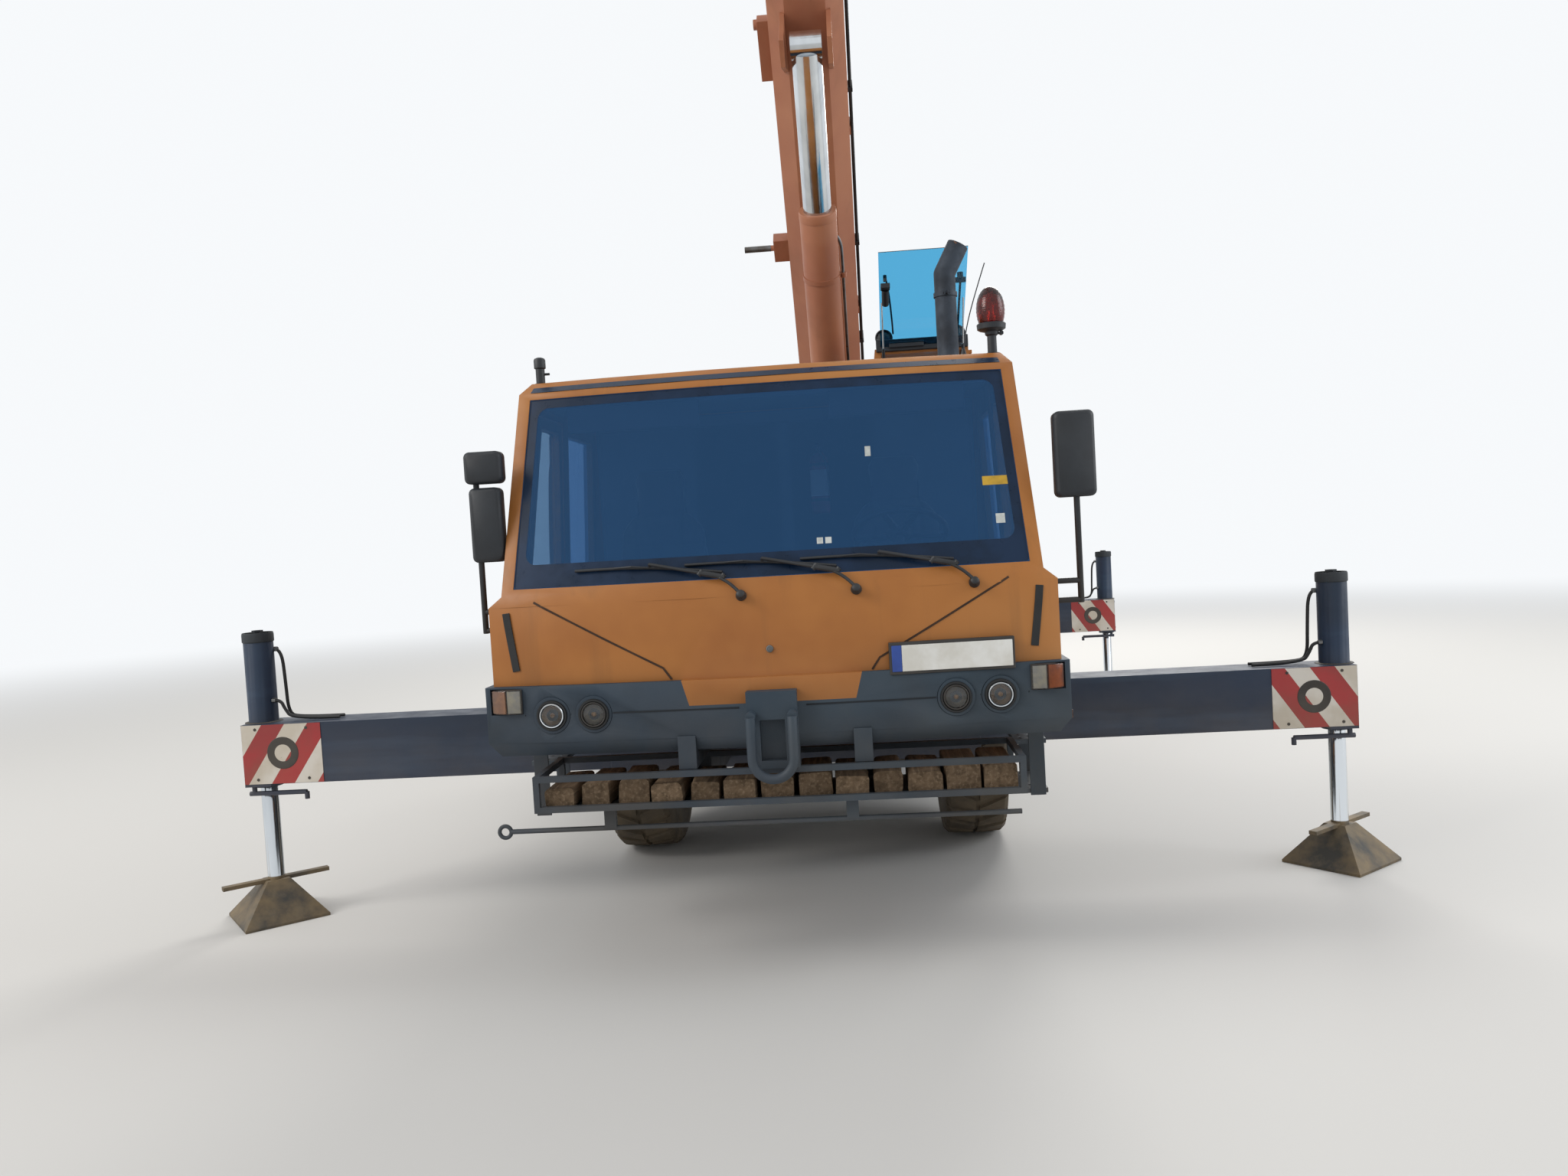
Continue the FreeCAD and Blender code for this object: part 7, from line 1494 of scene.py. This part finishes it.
for side, sign in (("left", 1), ("right", -1)):
    boxes(f"door_card_{side}", panel_grey, ((sign * 1.200, NOSE + 0.46, 1.26),
                                            (sign * 1.214, NOSE + 1.03, 1.68)),
          ((sign * 1.150, NOSE + 0.60, 1.56), (sign * 1.202, NOSE + 0.98, 1.60)), body=f"cab_door_{side}",
          slot="body_paint", bevel=0.006)
    boxes(f"sun_visor_{side}", dash_plastic, ((sign * 0.30, NOSE + 0.452, 2.50),
                                              (sign * 0.92, NOSE + 0.460, 2.62)),
          bevel=0.002)

# %% [markdown]
# ## The screen's header, labels and side markers
# Above the glass the black band runs on over the sheet metal up to the roof's edge. Two blank labels stick
# inside the screen at the driver's side, a blank note hangs near them, and two small round-cornered ones
# sit low in the middle. Nothing is printed on them. A small orange marker sits on each end of the bumper.
# %% Header band, labels and side markers
# The band shares the border's navy, a painted reflection of the sky.
bm = bmesh.new()
header = [(-1.094, 2.704), (1.094, 2.704), (1.088, 2.732), (-1.088, 2.732)]
patch(bm, cab_skin, header, 0.004, across=24, up=3)
show(bm, "screen_header", border_black_sky_reflection)
yellow = Finish("yellow_label", "C8A032", 0.6).vary("B08C2C", 14)
pale = Finish("pale_label", "C9CCC8", 0.6).vary("AEB2AE", 18)
LABELS = (("warning", yellow, 0.965, 1.085, 2.140, 2.180), ("inspection", pale, 1.010, 1.050, 1.970, 2.012),
          ("toll_0", pale, 0.225, 0.252, 1.925, 1.952), ("toll_1", pale, 0.262, 0.289, 1.925, 1.952),
          ("note", pale, 0.455, 0.480, 2.300, 2.345))
for name, finish, x0, x1, z0, z1 in LABELS:
    bm = bmesh.new()
    patch(bm, screen_skin, [(x0, z0), (x1, z0), (x1, z1), (x0, z1)], 0.0012, across=2, up=1)
    show(bm, f"label_{name}", finish, slot="trim_plastic")
side_skin = Skin("cab_shell", "door_left", "door_right", "front_bumper")


def beside(skin, sign, setback, z, lift=0.0):
    """The point of a surface seen from one side, moved out by a lift."""
    place = skin.hit((2.4 * sign, NOSE + setback, z), (-sign, 0, 0))
    if place is None:
        raise ValueError(f"nothing stands beside setback {setback:.3f}, z {z:.3f}")
    return place + Vector((sign * lift, 0, 0))


def side_ring(name, skin, sign, corners, radius, finish, body, bend=0.05):
    """A rubber profile round an opening in a side wall, with bent corners; corners hold setback and z."""
    spots = []
    count = len(corners)
    for i, here in enumerate(corners):
        here = Vector(here)
        before, after = Vector(corners[i - 1]), Vector(corners[(i + 1) % count])
        start, end = here + (before - here).normalized() * bend, here + (after - here).normalized() * bend
        for t in (0.0, 0.25, 0.5, 0.75, 1.0):
            spots.append(start.lerp(here, t).lerp(here.lerp(end, t), t))
    points = [beside(skin, sign, p.x, p.y, radius * 0.35) for p in spots]
    points.append(points[0])
    return pipe(name, points, radius, finish, body, straight=True, sides=2)


bm = bmesh.new()
for sign in (-1, 1):
    place = beside(side_skin, sign, 0.16, 1.13)
    slab(bm, place + Vector((-0.010, -0.035, -0.018)), place + Vector((0.010, 0.035, 0.018)))
show(bm, "side_markers", orange_lens, "carrier", "lamp_lens", bevel=0.003)

# %% [markdown]
# ## Doors, steps and rails
# Each door hangs on two hinges and has a pull handle, a lock and a rubber round its pane. The way up has
# two open steps that hang from the floor and a grab rail behind the door.
# %% Door fittings, steps and grab rails
chequer = Finish("chequer_plate", "3A4148", 0.5, 0.4).vary("4A5157", 4).dust(DUST, 0.3, 0.9, 0.35,
                                                                             5).chips("8A8F92", 30, 0.66)
chequer.gloss(0.4, 0.62).relief(120, 0.0004)


def tread(name, one, other, pitch=0.042):
    """A chequer plate with raised lozenges that point two ways in turn."""
    low = Vector([min(pair) for pair in zip(one, other)])
    high = Vector([max(pair) for pair in zip(one, other)])
    made = bmesh.new()
    slab(made, low, high)
    rows, columns = int((high.y - low.y - 0.02) / pitch), int((high.x - low.x - 0.02) / pitch)
    for i in range(columns):
        for j in range(rows):
            middle = Vector((low.x + 0.01 + (i + 0.5) * pitch, low.y + 0.01 + (j + 0.5) * pitch, high.z))
            turn = math.radians(45 if (i + j) % 2 else -45)
            run = Vector((math.cos(turn), math.sin(turn), 0))
            long, wide = run * 0.014, Vector((-run.y, run.x, 0)) * 0.0035
            ends = [made.verts.new(p) for p in (middle + long, middle + wide, middle - long, middle - wide)]
            peak = made.verts.new(middle + Vector((0, 0, 0.0026)))
            for k in range(4):
                made.faces.new((ends[k], ends[(k + 1) % 4], peak))
    return show(made, name, chequer, slot="chassis_paint", smooth_angle=20)


DOOR_LEAN = 0.230
PANE_FOOT, PANE_HEAD = 1.821, 2.569
for side, sign in (("left", 1), ("right", -1)):
    door = Skin(f"door_{side}")
    body = f"cab_door_{side}"
    bm = bmesh.new()
    place = beside(door, sign, 0.975, 1.735)
    boxes(f"handle_plate_{side}", rubber_trim,
          (place + Vector((-0.004, -0.085, -0.030)), place + Vector((0.004 * sign, 0.050, 0.030))),
          body=body, bevel=0.003)
    bm = bmesh.new()
    x = place.x + sign * 0.024
    slab(bm, (x, place.y - 0.078, 1.722), (x - sign * 0.010, place.y + 0.040, 1.748))
    for shift in (-0.070, 0.032):
        rod(bm, (place.x, place.y + shift, 1.735), (x - sign * 0.002, place.y + shift, 1.735), 0.008, 12)
    lock = beside(door, sign, 0.985, 1.675)
    turned(bm, [(0, 0.012), (0.006, 0.011), (0.008, 0.006), (0.008, 0)], lock, (sign, 0, 0), 20)
    show(bm, f"handle_{side}", chrome, body, bevel=0.004)
    bm = bmesh.new()
    for z in (1.36, 1.76):
        place = beside(side_skin, sign, 0.385, z)
        rod(bm, *chain(place, (sign * 0.006, 0, -0.045), (sign * 0.006, 0, 0.045)), 0.010, 16)
        slab(bm, *chain(place, (-0.003, -0.060, -0.028), (0.003, 0.0, 0.028)))
    show(bm, f"hinges_{side}", black, bevel=0.002)
    panes = Skin(f"door_{side}", f"door_{side}_glass", "cab_shell", "cab_glass")
    door_pane = [(0.466, PANE_FOOT), (1.032, PANE_FOOT), (1.032, PANE_HEAD), (0.466 + DOOR_LEAN, PANE_HEAD)]
    side_ring(f"door_rubber_{side}", panes, sign, door_pane, 0.010, rubber_trim, body)
    quarter = [(1.206, PANE_FOOT), (1.769, PANE_FOOT), (1.769, PANE_HEAD), (1.206, PANE_HEAD)]
    side_ring(f"quarter_rubber_{side}", panes, sign, quarter, 0.010, rubber_trim, "carrier")
    lower, upper = beside(side_skin, sign, 1.155, 1.80), beside(side_skin, sign, 1.155, 2.42)
    out, bend = Vector((sign * 0.045, 0, 0)), Vector((0, 0, 0.04))
    rail = [lower, lower + out * 0.7, lower + out + bend, upper + out - bend, upper + out * 0.7, upper]
    pipe(f"grab_rail_{side}", rail, 0.0125, black)
    boxes(f"step_hangers_{side}", slate,
          *(((sign * 1.150, NOSE + y - 0.004, 0.680), (sign * 1.222, NOSE + y + 0.004, 1.152))
            for y in (0.555, 0.945)),
          bevel=0.002)
    for level, z in (("low", 0.690), ("high", 0.925)):
        tread(f"step_{level}_{side}", (sign * 1.085, NOSE + 0.555, z),
              (sign * 1.232, NOSE + 0.945, z + 0.022))

# %% [markdown]
# ## Exhaust and the crane cab's fittings
# The exhaust has a slotted heat guard, whose slots are dark bars of painted shade, clamps and a cut end. The
# crane cab's front pane is swung up on two struts and carries its wiper motor and a lamp on a thin rod; a
# sill bar, black partly as painted shade of the roof's front edge, lies where its foot shuts.
# %% Guard, clamps, struts, wiper and lamp
STACK = Vector((0.985, NOSE + 1.965, 0))
# Dark bars on the guard: painted shade in its slots.
bm = bmesh.new()
for i in range(0, 20, 2):
    a = math.radians(18 * i)
    for z in (1.56, 1.78, 2.00, 2.22):
        middle = STACK + Vector((0.1015 * math.cos(a), 0.1015 * math.sin(a), z))
        rod(bm, *chain(middle, (0, 0, -0.06), (0, 0, 0.06)), 0.0085, 8)
show(bm, "silencer_slot_shade", rubber_trim, slot="dark_steel")
bm = bmesh.new()
for z, radius in ((1.50, 0.101), (2.38, 0.101), (2.47, 0.063), (2.90, 0.063), (3.30, 0.063)):
    band(bm, STACK, (0, 0, 1), z, 0.026, radius, radius + 0.006)
    rod(bm, *chain(STACK, (-0.02, -radius - 0.016, z + 0.013), (0.02, -radius - 0.016, z + 0.013)), 0.005, 8)
    slab(bm, *chain(STACK, (-0.012, -radius - 0.024, z), (-0.006, -radius, z + 0.026)))
    slab(bm, *chain(STACK, (0.006, -radius - 0.024, z), (0.012, -radius, z + 0.026)))
for z in (1.62, 2.30):
    slab(bm, *chain(STACK, (-0.03, -0.118, z), (0.03, -0.095, z + 0.04)))
show(bm, "exhaust_clamps", stack_steel, bevel=0.001)

swing = math.radians(36)
pane_out = Vector((0, -math.cos(swing), math.sin(swing)))
pane_foot = Vector((0, NOSE + 3.288, 3.218))
bm = bmesh.new()
wiper_foot = pane_foot + pane_out * 0.62 + Vector((0.665, 0, 0))
slab(bm, *chain(wiper_foot, (-0.030, -0.05, -0.045), (0.030, 0.05, -0.014)))
rod(bm, *chain(wiper_foot, (0, 0.035, -0.040), (0, 0.15, -0.115)), 0.024, 20)
rod(bm, *chain(wiper_foot, (0, -0.02, 0.0), (0, -0.02, 0.045)), 0.012, 14)
show(bm, "crane_wiper_motor", black, "superstructure", bevel=0.003)
arm = chain(wiper_foot, (0, -0.02, 0.04), (0.02, 0.10, 0.01), (0.045, 0.32, -0.19), (0.05, 0.42, -0.265))
pipe("crane_wiper_arm", arm, 0.006, black, "superstructure")
for name, x in (("near", HOUSE_IN + 0.055), ("far", HOUSE_OUT - 0.055)):
    start = Vector((x, NOSE + 3.296, 2.86))
    end = pane_foot + pane_out * 0.46 + Vector((x, 0, -0.012))
    pane_mid = start.lerp(end, 0.55)
    bm = bmesh.new()
    rod(bm, start, pane_mid, 0.011, 16)
    rod(bm, start + Vector((-0.01, 0, 0)), start + Vector((0.01, 0, 0)), 0.014, 14)
    show(bm, f"pane_strut_{name}", black, "superstructure", "black_plastic")
    bm = bmesh.new()
    rod(bm, pane_mid, end, 0.005, 12)
    show(bm, f"pane_strut_rod_{name}", chrome, "superstructure", "rod_chrome")
# The bar at the pane's foot is black partly as painted shade of the roof's front edge.
bm = bmesh.new()
slab(bm, (HOUSE_IN + 0.010, NOSE + 3.262, 3.205), (HOUSE_OUT - 0.002, NOSE + 3.300, 3.290))
slab(bm, (HOUSE_IN + 0.10, NOSE + 3.240, 3.226), (HOUSE_IN + 0.34, NOSE + 3.262, 3.268))
show(bm, "pane_hinge_bar_shade", black, "superstructure", "black_plastic", bevel=0.006)
bm = bmesh.new()
lamp_foot = Vector((HOUSE_OUT - 0.075, NOSE + 3.285, 3.285))
lamp_top = lamp_foot + Vector((0.008, -0.36, 0.31))
rod(bm, lamp_foot, lamp_top, 0.008, 12)
slab(bm, lamp_top + Vector((-0.035, -0.016, -0.016)), lamp_top + Vector((0.035, 0.016, 0.016)))
rod(bm, lamp_top + Vector((0, 0.0, 0.010)), lamp_top + Vector((0, 0, 0.050)), 0.020, 16)
show(bm, "crane_cab_aerial_arm", black, "superstructure", "black_plastic", bevel=0.002)
for name, x in (("left", HOUSE_OUT - 0.07), ("right", HOUSE_IN + 0.07)):
    base = Vector((x, NOSE + 3.40, 3.232))
    middle = base + Vector((0, 0.03, 0.075))
    bm = bmesh.new()
    housing = [(0.0, 0.0), (0.0, 0.040), (0.050, 0.060), (0.075, 0.062), (0.078, 0.056), (0.060, 0.050)]
    turned(bm, housing, middle, (0, -1, 0.12), 28)
    rod(bm, base, base + Vector((0, 0, 0.04)), 0.012, 12)
    show(bm, f"work_lamp_{name}", black, "superstructure", smooth_angle=50)
    lens = [(0.074, 0.0), (0.072, 0.035), (0.064, 0.0545), (0.060, 0.0545), (0.066, 0.03), (0.068, 0.0)]
    spun(f"work_lamp_glass_{name}", clear_lens, lens, middle, (0, -1, 0.12), 28, body="superstructure",
         smooth_angle=60)
bm = bmesh.new()
door_low, door_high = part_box("crane_cab_door")
slab(bm, (door_high.x, door_low.y + 0.045, 2.02), (door_high.x + 0.006, door_low.y + 0.085, 2.20))
slab(bm, (door_high.x + 0.020, door_low.y + 0.050, 2.04), (door_high.x + 0.030, door_low.y + 0.080, 2.18))
for z in (2.05, 2.17):
    rod(bm, (door_high.x, door_low.y + 0.065, z), (door_high.x + 0.024, door_low.y + 0.065, z), 0.008, 12)
show(bm, "crane_door_handle", black, "crane_door", bevel=0.002)
boxes("crane_cab_roof_hatch", black, ((HOUSE_IN + 0.10, NOSE + 4.20, 3.230),
                                      (HOUSE_OUT - 0.10, NOSE + 4.62, 3.262)),
      body="superstructure", bevel=0.008)

# %% [markdown]
# ## Deck, lockers and tank
# The walkways on the deck are chequer plate. Each locker has a pressed door with two latches and a long
# hinge; the fuel tank hangs in three straps and has its filler cap at the top. Rubber flaps hang behind the
# rear wheels, and a shaft runs from the engine to the rear axle. The rear end has a coupling and a blank
# plate.
# %% Walkways, locker doors, tank straps, shaft and rear end
for side, sign in (("left", 1), ("right", -1)):
    for name, y0, y1 in (("front", 2.12, 3.24), ("middle", 3.46, 5.38), ("rear", 5.64, 7.10)):
        tread(f"walkway_{name}_{side}", (sign * 0.665, NOSE + y0, 1.4655), (sign * 1.235, NOSE + y1, 1.4695))
    x0, x1 = sorted((sign * 0.78, sign * 1.225))
    y = NOSE + 7.118
    ribs = [x0 + 0.035 + i * 0.0625 for i in range(7)]
    boxes(f"mud_flap_rear_{side}", rubber_trim, ((x0, y, 0.60), (x1, y + 0.008, 1.135)),
          *(((x - 0.008, y - 0.004, 0.65), (x + 0.008, y + 0.012, 1.06)) for x in ribs),
          ((x0, y - 0.012, 1.10), (x1, y + 0.020, 1.142)), bevel=0.002)

LOCKERS = (("left_front", 1, 3.445, 4.225, 0.74), ("right_front", -1, 3.445, 4.5175, 0.74),
           ("right_rear", -1, 4.5475, 5.395, 0.86))
for name, sign, y0, y1, z0 in LOCKERS:
    face = sign * 1.23
    boxes(f"locker_door_{name}", slate,
          ((face, NOSE + y0 + 0.028, z0 + 0.03), (face + sign * 0.007, NOSE + y1 - 0.028, 1.392)),
          ((face + sign * 0.006, NOSE + y0 + 0.085, z0 + 0.085),
           (face + sign * 0.011, NOSE + y1 - 0.085, 1.32)),
          bevel=0.004)
    bm = bmesh.new()
    for y in (y0 + 0.20, y1 - 0.20):
        place = Vector((face + sign * 0.008, NOSE + y, z0 + 0.075))
        turned(bm, [(0, 0.030), (0.004, 0.029), (0.005, 0.022), (0.003, 0.020), (0.003, 0)], place,
               (sign, 0, 0), 24)
        slab(bm, *chain(place, (-0.004, -0.005, -0.030), (0.004, 0.005, 0.030)))
    show(bm, f"locker_latches_{name}", steel, bevel=0.001)
    bm = bmesh.new()
    x = face + sign * 0.005
    rod(bm, (x, NOSE + y0 + 0.05, 1.400), (x, NOSE + y1 - 0.05, 1.400), 0.007, 12)
    for y in (y0 + 0.10, (y0 + y1) / 2, y1 - 0.10):
        slab(bm, (face, NOSE + y - 0.035, 1.375), (face + sign * 0.010, NOSE + y + 0.035, 1.412))
    show(bm, f"locker_hinge_{name}", black, bevel=0.001)

TANK = Vector((0.965, NOSE, 1.095))
TANK_RADIUS = 0.2622
bm = bmesh.new()
for y in (4.42, 4.825, 5.23):
    band(bm, TANK + Vector((0, y, 0)), (0, 1, 0), -0.028, 0.056, TANK_RADIUS, 0.2665, 64)
    rod(bm, *chain(TANK, (0.19, y, 0.215), (0.19, y, 0.262)), 0.008, 10)
    slab(bm, *chain(TANK, (0.165, y - 0.020, 0.205), (0.215, y + 0.020, 0.222)))
show(bm, "tank_straps", black, bevel=0.001)
bm = bmesh.new()
filler_axis = Vector((math.sin(math.radians(52)), 0, math.cos(math.radians(52))))
filler = TANK + filler_axis * TANK_RADIUS + Vector((0, 4.62, 0))
cap = [(-0.02, 0.040), (0.022, 0.040), (0.024, 0.052), (0.048, 0.052), (0.052, 0.046), (0.052, 0)]
turned(bm, cap, filler, filler_axis, 32)
side = filler_axis.orthogonal().normalized()
other = filler_axis.cross(side)
for angle in (0, 120, 240):
    spin = math.radians(angle)
    middle = filler + filler_axis * 0.036 + (side * math.cos(spin) + other * math.sin(spin)) * 0.052
    rod(bm, middle - filler_axis * 0.010, middle + filler_axis * 0.010, 0.007, 8)
show(bm, "tank_cap", steel, smooth_angle=40)

bm = bmesh.new()
shaft = [Vector((0.0, NOSE + 3.14, 1.06)), Vector((0.0, NOSE + 4.55, 0.90)), Vector((0.0, NOSE + 5.98, 0.74))]
for start, end in zip(shaft, shaft[1:]):
    run = (end - start).normalized()
    rod(bm, start + run * 0.10, end - run * 0.10, 0.042, 24)
    for place, way in ((start, 1), (end, -1)):
        rod(bm, place, place + run * way * 0.06, 0.062, 24)
        rod(bm, place + run * way * 0.06, place + run * way * 0.10, 0.030, 16)
rod(bm, shaft[1] + Vector((0, -0.05, 0)), shaft[1] + Vector((0, 0.05, 0)), 0.085, 28)
slab(bm, (-0.345, shaft[1].y - 0.03, 0.955), (0.345, shaft[1].y + 0.03, 1.00))
show(bm, "drive_shaft", under, slot="engine_iron", bevel=0.002, smooth_angle=40)
bm = bmesh.new()
slab(bm, (-0.09, REAR_Y, 0.985), (0.09, REAR_Y + 0.012, 1.105))
for x in (-0.055, 0.043):
    slab(bm, (x, REAR_Y + 0.010, 1.000), (x + 0.012, REAR_Y + 0.034, 1.090))
rod(bm, (0, REAR_Y + 0.023, 0.975), (0, REAR_Y + 0.023, 1.125), 0.011, 18)
for x in (-0.075, 0.075):
    for z in (0.998, 1.092):
        rod(bm, (x, REAR_Y + 0.012, z), (x, REAR_Y + 0.022, z), 0.010, 6)
show(bm, "rear_coupling", under, bevel=0.002)
boxes("rear_plate", plate_white, ((-0.70, REAR_Y, 1.000), (-0.18, REAR_Y + 0.004, 1.112)), bevel=0.002)

# %% [markdown]
# ## Superstructure
# The slewing ring is bolted through the turntable plate. The boom's foot pin and the cylinder's foot pin
# have caps with keeper plates, the winch has its motor at one end, and the counterweight is a casting with
# parting lines, lifting eyes and blank warning plates at its back.
# %% Bolts, pin caps, winch motor and counterweight
RING_Y, RING_RADIUS = NOSE + 4.30, 0.50
CHEEK_X = 0.335
bm = bmesh.new()
for i in range(36):
    a = 2 * math.pi * (i + 0.5) / 36
    x, y = RING_RADIUS * math.cos(a), RING_Y + RING_RADIUS * math.sin(a)
    if min(abs(x + 0.065), abs(x - 0.545)) < 0.07 or x > 0.56:
        continue
    rod(bm, (x, y, 1.649), (x, y, 1.655), 0.020, 16)
    rod(bm, (x, y, 1.655), (x, y, 1.672), 0.014, 6)
show(bm, "ring_bolts", steel, "superstructure", smooth_angle=25)
bm = bmesh.new()
for sign in (-1, 1):
    for setback, z, radius in ((5.32, 3.10, 0.085), (5.0, 1.95, 0.062)):
        place = Vector((BOOM_X + sign * CHEEK_X, NOSE + setback, z))
        cap = [(0, radius + 0.022), (0.008, radius + 0.020), (0.010, radius), (0.020, radius - 0.004),
               (0.022, 0)]
        turned(bm, cap, place, (sign, 0, 0), 36)
        outer = place.x + sign * 0.016
        slab(bm, (place.x + sign * 0.008, place.y - 0.02, z + radius * 0.6),
             (outer, place.y + 0.02, z + radius + 0.060))
        rod(bm, (outer, place.y, z + radius + 0.042), (outer + sign * 0.008, place.y, z + radius + 0.042),
            0.010, 6)
show(bm, "pin_caps", under, "superstructure", bevel=0.002)
bm = bmesh.new()
motor = Vector((BOOM_X - CHEEK_X, NOSE + 5.96, 2.78))
turned(bm, [(0, 0.135), (0.018, 0.135), (0.020, 0.100), (0.120, 0.096), (0.128, 0.078), (0.215, 0.074),
            (0.225, 0.060), (0.225, 0)], motor, (-1, 0, 0), 36)
for i in range(8):
    a = math.radians(45 * i + 22)
    y, z = 0.117 * math.cos(a), 0.117 * math.sin(a)
    rod(bm, *chain(motor, (-0.016, y, z), (-0.030, y, z)), 0.009, 6)
slab(bm, *chain(motor, (-0.205, -0.045, -0.105), (-0.135, 0.045, -0.060)))
show(bm, "winch_motor", slate, "superstructure", "dark_steel", bevel=0.002, smooth_angle=40)
for index, shift in enumerate((-0.02, 0.02)):
    hose = chain(motor + Vector((-0.17, shift, -0.105)), (0, 0, 0), (-0.01, -0.02, -0.12),
                 (0.04, -0.20, -0.38),
                 (0.10, -0.45, -0.62), (0.14, -0.62, -1.005))
    pipe(f"winch_hose_{index}", hose, 0.012, rubber_trim, "superstructure")

weight = Skin("counterweight")
weight_low, weight_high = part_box("counterweight")


def behind(x, z, lift=0.0):
    """The point of the counterweight seen from behind."""
    return weight.hit((x, weight_high.y + 1.0, z), (0, -1, 0)) + Vector((0, lift, 0))


def rear_sheet(bm, x0, x1, z0, z1, lift, steps=12):
    """A thin sheet on the counterweight's curved back."""
    rows = []
    for i in range(steps + 1):
        x = x0 + (x1 - x0) * i / steps
        rows.append([bm.verts.new(behind(x, z, lift)) for z in (z0, z1)])
    return [bm.faces.new((one[0], one[1], two[1], two[0])) for one, two in zip(rows, rows[1:])]


bm = bmesh.new()
for z in (1.955, 2.215):
    rear_sheet(bm, weight_low.x + 0.03, weight_high.x - 0.03, z - 0.006, z + 0.006, 0.0015, 40)
show(bm, "weight_joints", rubber_trim, "superstructure", "dark_steel")
bm = bmesh.new()
for x0 in (weight_low.x + 0.06, weight_high.x - 0.38):
    for i, face in enumerate(rear_sheet(bm, x0, x0 + 0.32, 1.99, 2.18, 0.003, 8)):
        face.material_index = i % 2
show(bm, "weight_warning", (white_paint, red_paint), "superstructure")
for index, (x, y) in enumerate(((-0.85, 6.10), (-0.85, 6.36), (0.85, 6.10), (0.85, 6.36))):
    eye = chain(Vector((x, NOSE + y, 2.478)), (-0.05, 0, 0), (-0.05, 0, 0.05), (-0.03, 0, 0.085),
                (0.03, 0, 0.085),
                (0.05, 0, 0.05), (0.05, 0, 0))
    pipe(f"lifting_eye_{index}", eye, 0.012, steel, "superstructure")

# %% [markdown]
# ## Boom and cylinder
# The base section carries hoses along its left side and has a stowing pin of bare steel on its right. The
# cylinder's barrel has a pipe for its far port, held by bands, and a gland where the rod comes out. The
# hook block shows the ends of its pins.
# %% Hoses, stowing pin, barrel fittings and block pins
HOSE_SIDE = 0.275


def boom_bar(bm, along, above, across):
    """A straight bar on the boom, given by its ends along it, above it and across it."""
    (low, high), (near, far) = above, across
    corners = [on_boom(along[0], a, c) for a, c in ((low, near), (high, near), (high, far), (low, far))]
    plate(bm, corners, on_boom(along[1], 0, 0) - on_boom(along[0], 0, 0))


bm = bmesh.new()
for along in (0.9, 2.4, 4.2, 6.0):
    boom_bar(bm, (along, along + 0.05), (-0.02, 0.18), (0.255, 0.265))
show(bm, "hose_brackets", boom_ochre, "boom", bevel=0.004)
for index, above in enumerate((0.03, 0.075, 0.12)):
    hose = [on_boom(0.05, above - 0.02, HOSE_SIDE), on_boom(0.4, above, HOSE_SIDE),
            on_boom(4.0, above, HOSE_SIDE),
            on_boom(7.5, above, HOSE_SIDE), on_boom(7.75, above + 0.04, 0.268)]
    pipe(f"boom_hose_{index}", hose, 0.012, rubber_trim, "boom")
bm = bmesh.new()
for along in (0.6, 1.5, 2.7, 3.9, 5.1, 6.3, 7.3):
    boom_bar(bm, (along, along + 0.03), (0.005, 0.145), (0.255, 0.292))
show(bm, "boom_hose_clips", black, "boom", bevel=0.002)
bm = bmesh.new()
rod(bm, on_boom(1.55, -0.03, -0.40), on_boom(1.55, -0.03, -0.606), 0.0235, 24)
show(bm, "stowing_pin_sleeve", steel, "boom")

LUFF_FOOT = Vector((BOOM_X, NOSE + 5.0, 1.95))
BARREL_RADIUS = 0.1302
luff_axis = (Vector((BOOM_X, NOSE + 2.587, 5.063)) - LUFF_FOOT).normalized()
side_step = Vector((0.155, 0, 0))
bm = bmesh.new()
for along in (0.55, 1.45, 2.35):
    here = LUFF_FOOT + luff_axis * along
    band(bm, here, luff_axis, 0, 0.035, BARREL_RADIUS, 0.136, 48)
    rod(bm, here + side_step, here + luff_axis * 0.035 + side_step, 0.022, 16)
gland = [(2.80, BARREL_RADIUS), (2.80, 0.1325), (2.845, 0.1325), (2.850, 0.130), (2.858, 0.110),
         (2.858, 0.101),
         (2.80, 0.101)]
turned(bm, gland, LUFF_FOOT, luff_axis, 48)
slab(bm, *chain(LUFF_FOOT + luff_axis * 0.36, (0.115, -0.035, -0.035), (0.185, 0.035, 0.035)))
show(bm, "barrel_bands", boom_ochre, "luff_tube", bevel=0.001, smooth_angle=40)
run = [LUFF_FOOT + luff_axis * along + side_step * share
       for along, share in ((0.38, 1), (2.52, 1), (2.62, 0.95), (2.66, 0.80))]
pipe("barrel_pipe", run, 0.011, steel, "luff_tube")

block_low, block_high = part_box("hook_block")
block_mid = (block_low + block_high) / 2
bm = bmesh.new()
for sign in (-1, 1):
    face = block_high.x if sign > 0 else block_low.x
    ends = [(0, 0.0, 0.055, 32)] + [(dy, dz, 0.014, 6) for dz in (0.10, -0.10) for dy in (0.11, -0.11)]
    for dy, dz, radius, sides in ends:
        y, z = block_mid.y + dy, block_mid.z + dz
        rod(bm, (face - sign * 0.004, y, z), (face + sign * 0.010, y, z), radius, sides)
show(bm, "block_pins", steel, "block", bevel=0.001, smooth_angle=30)
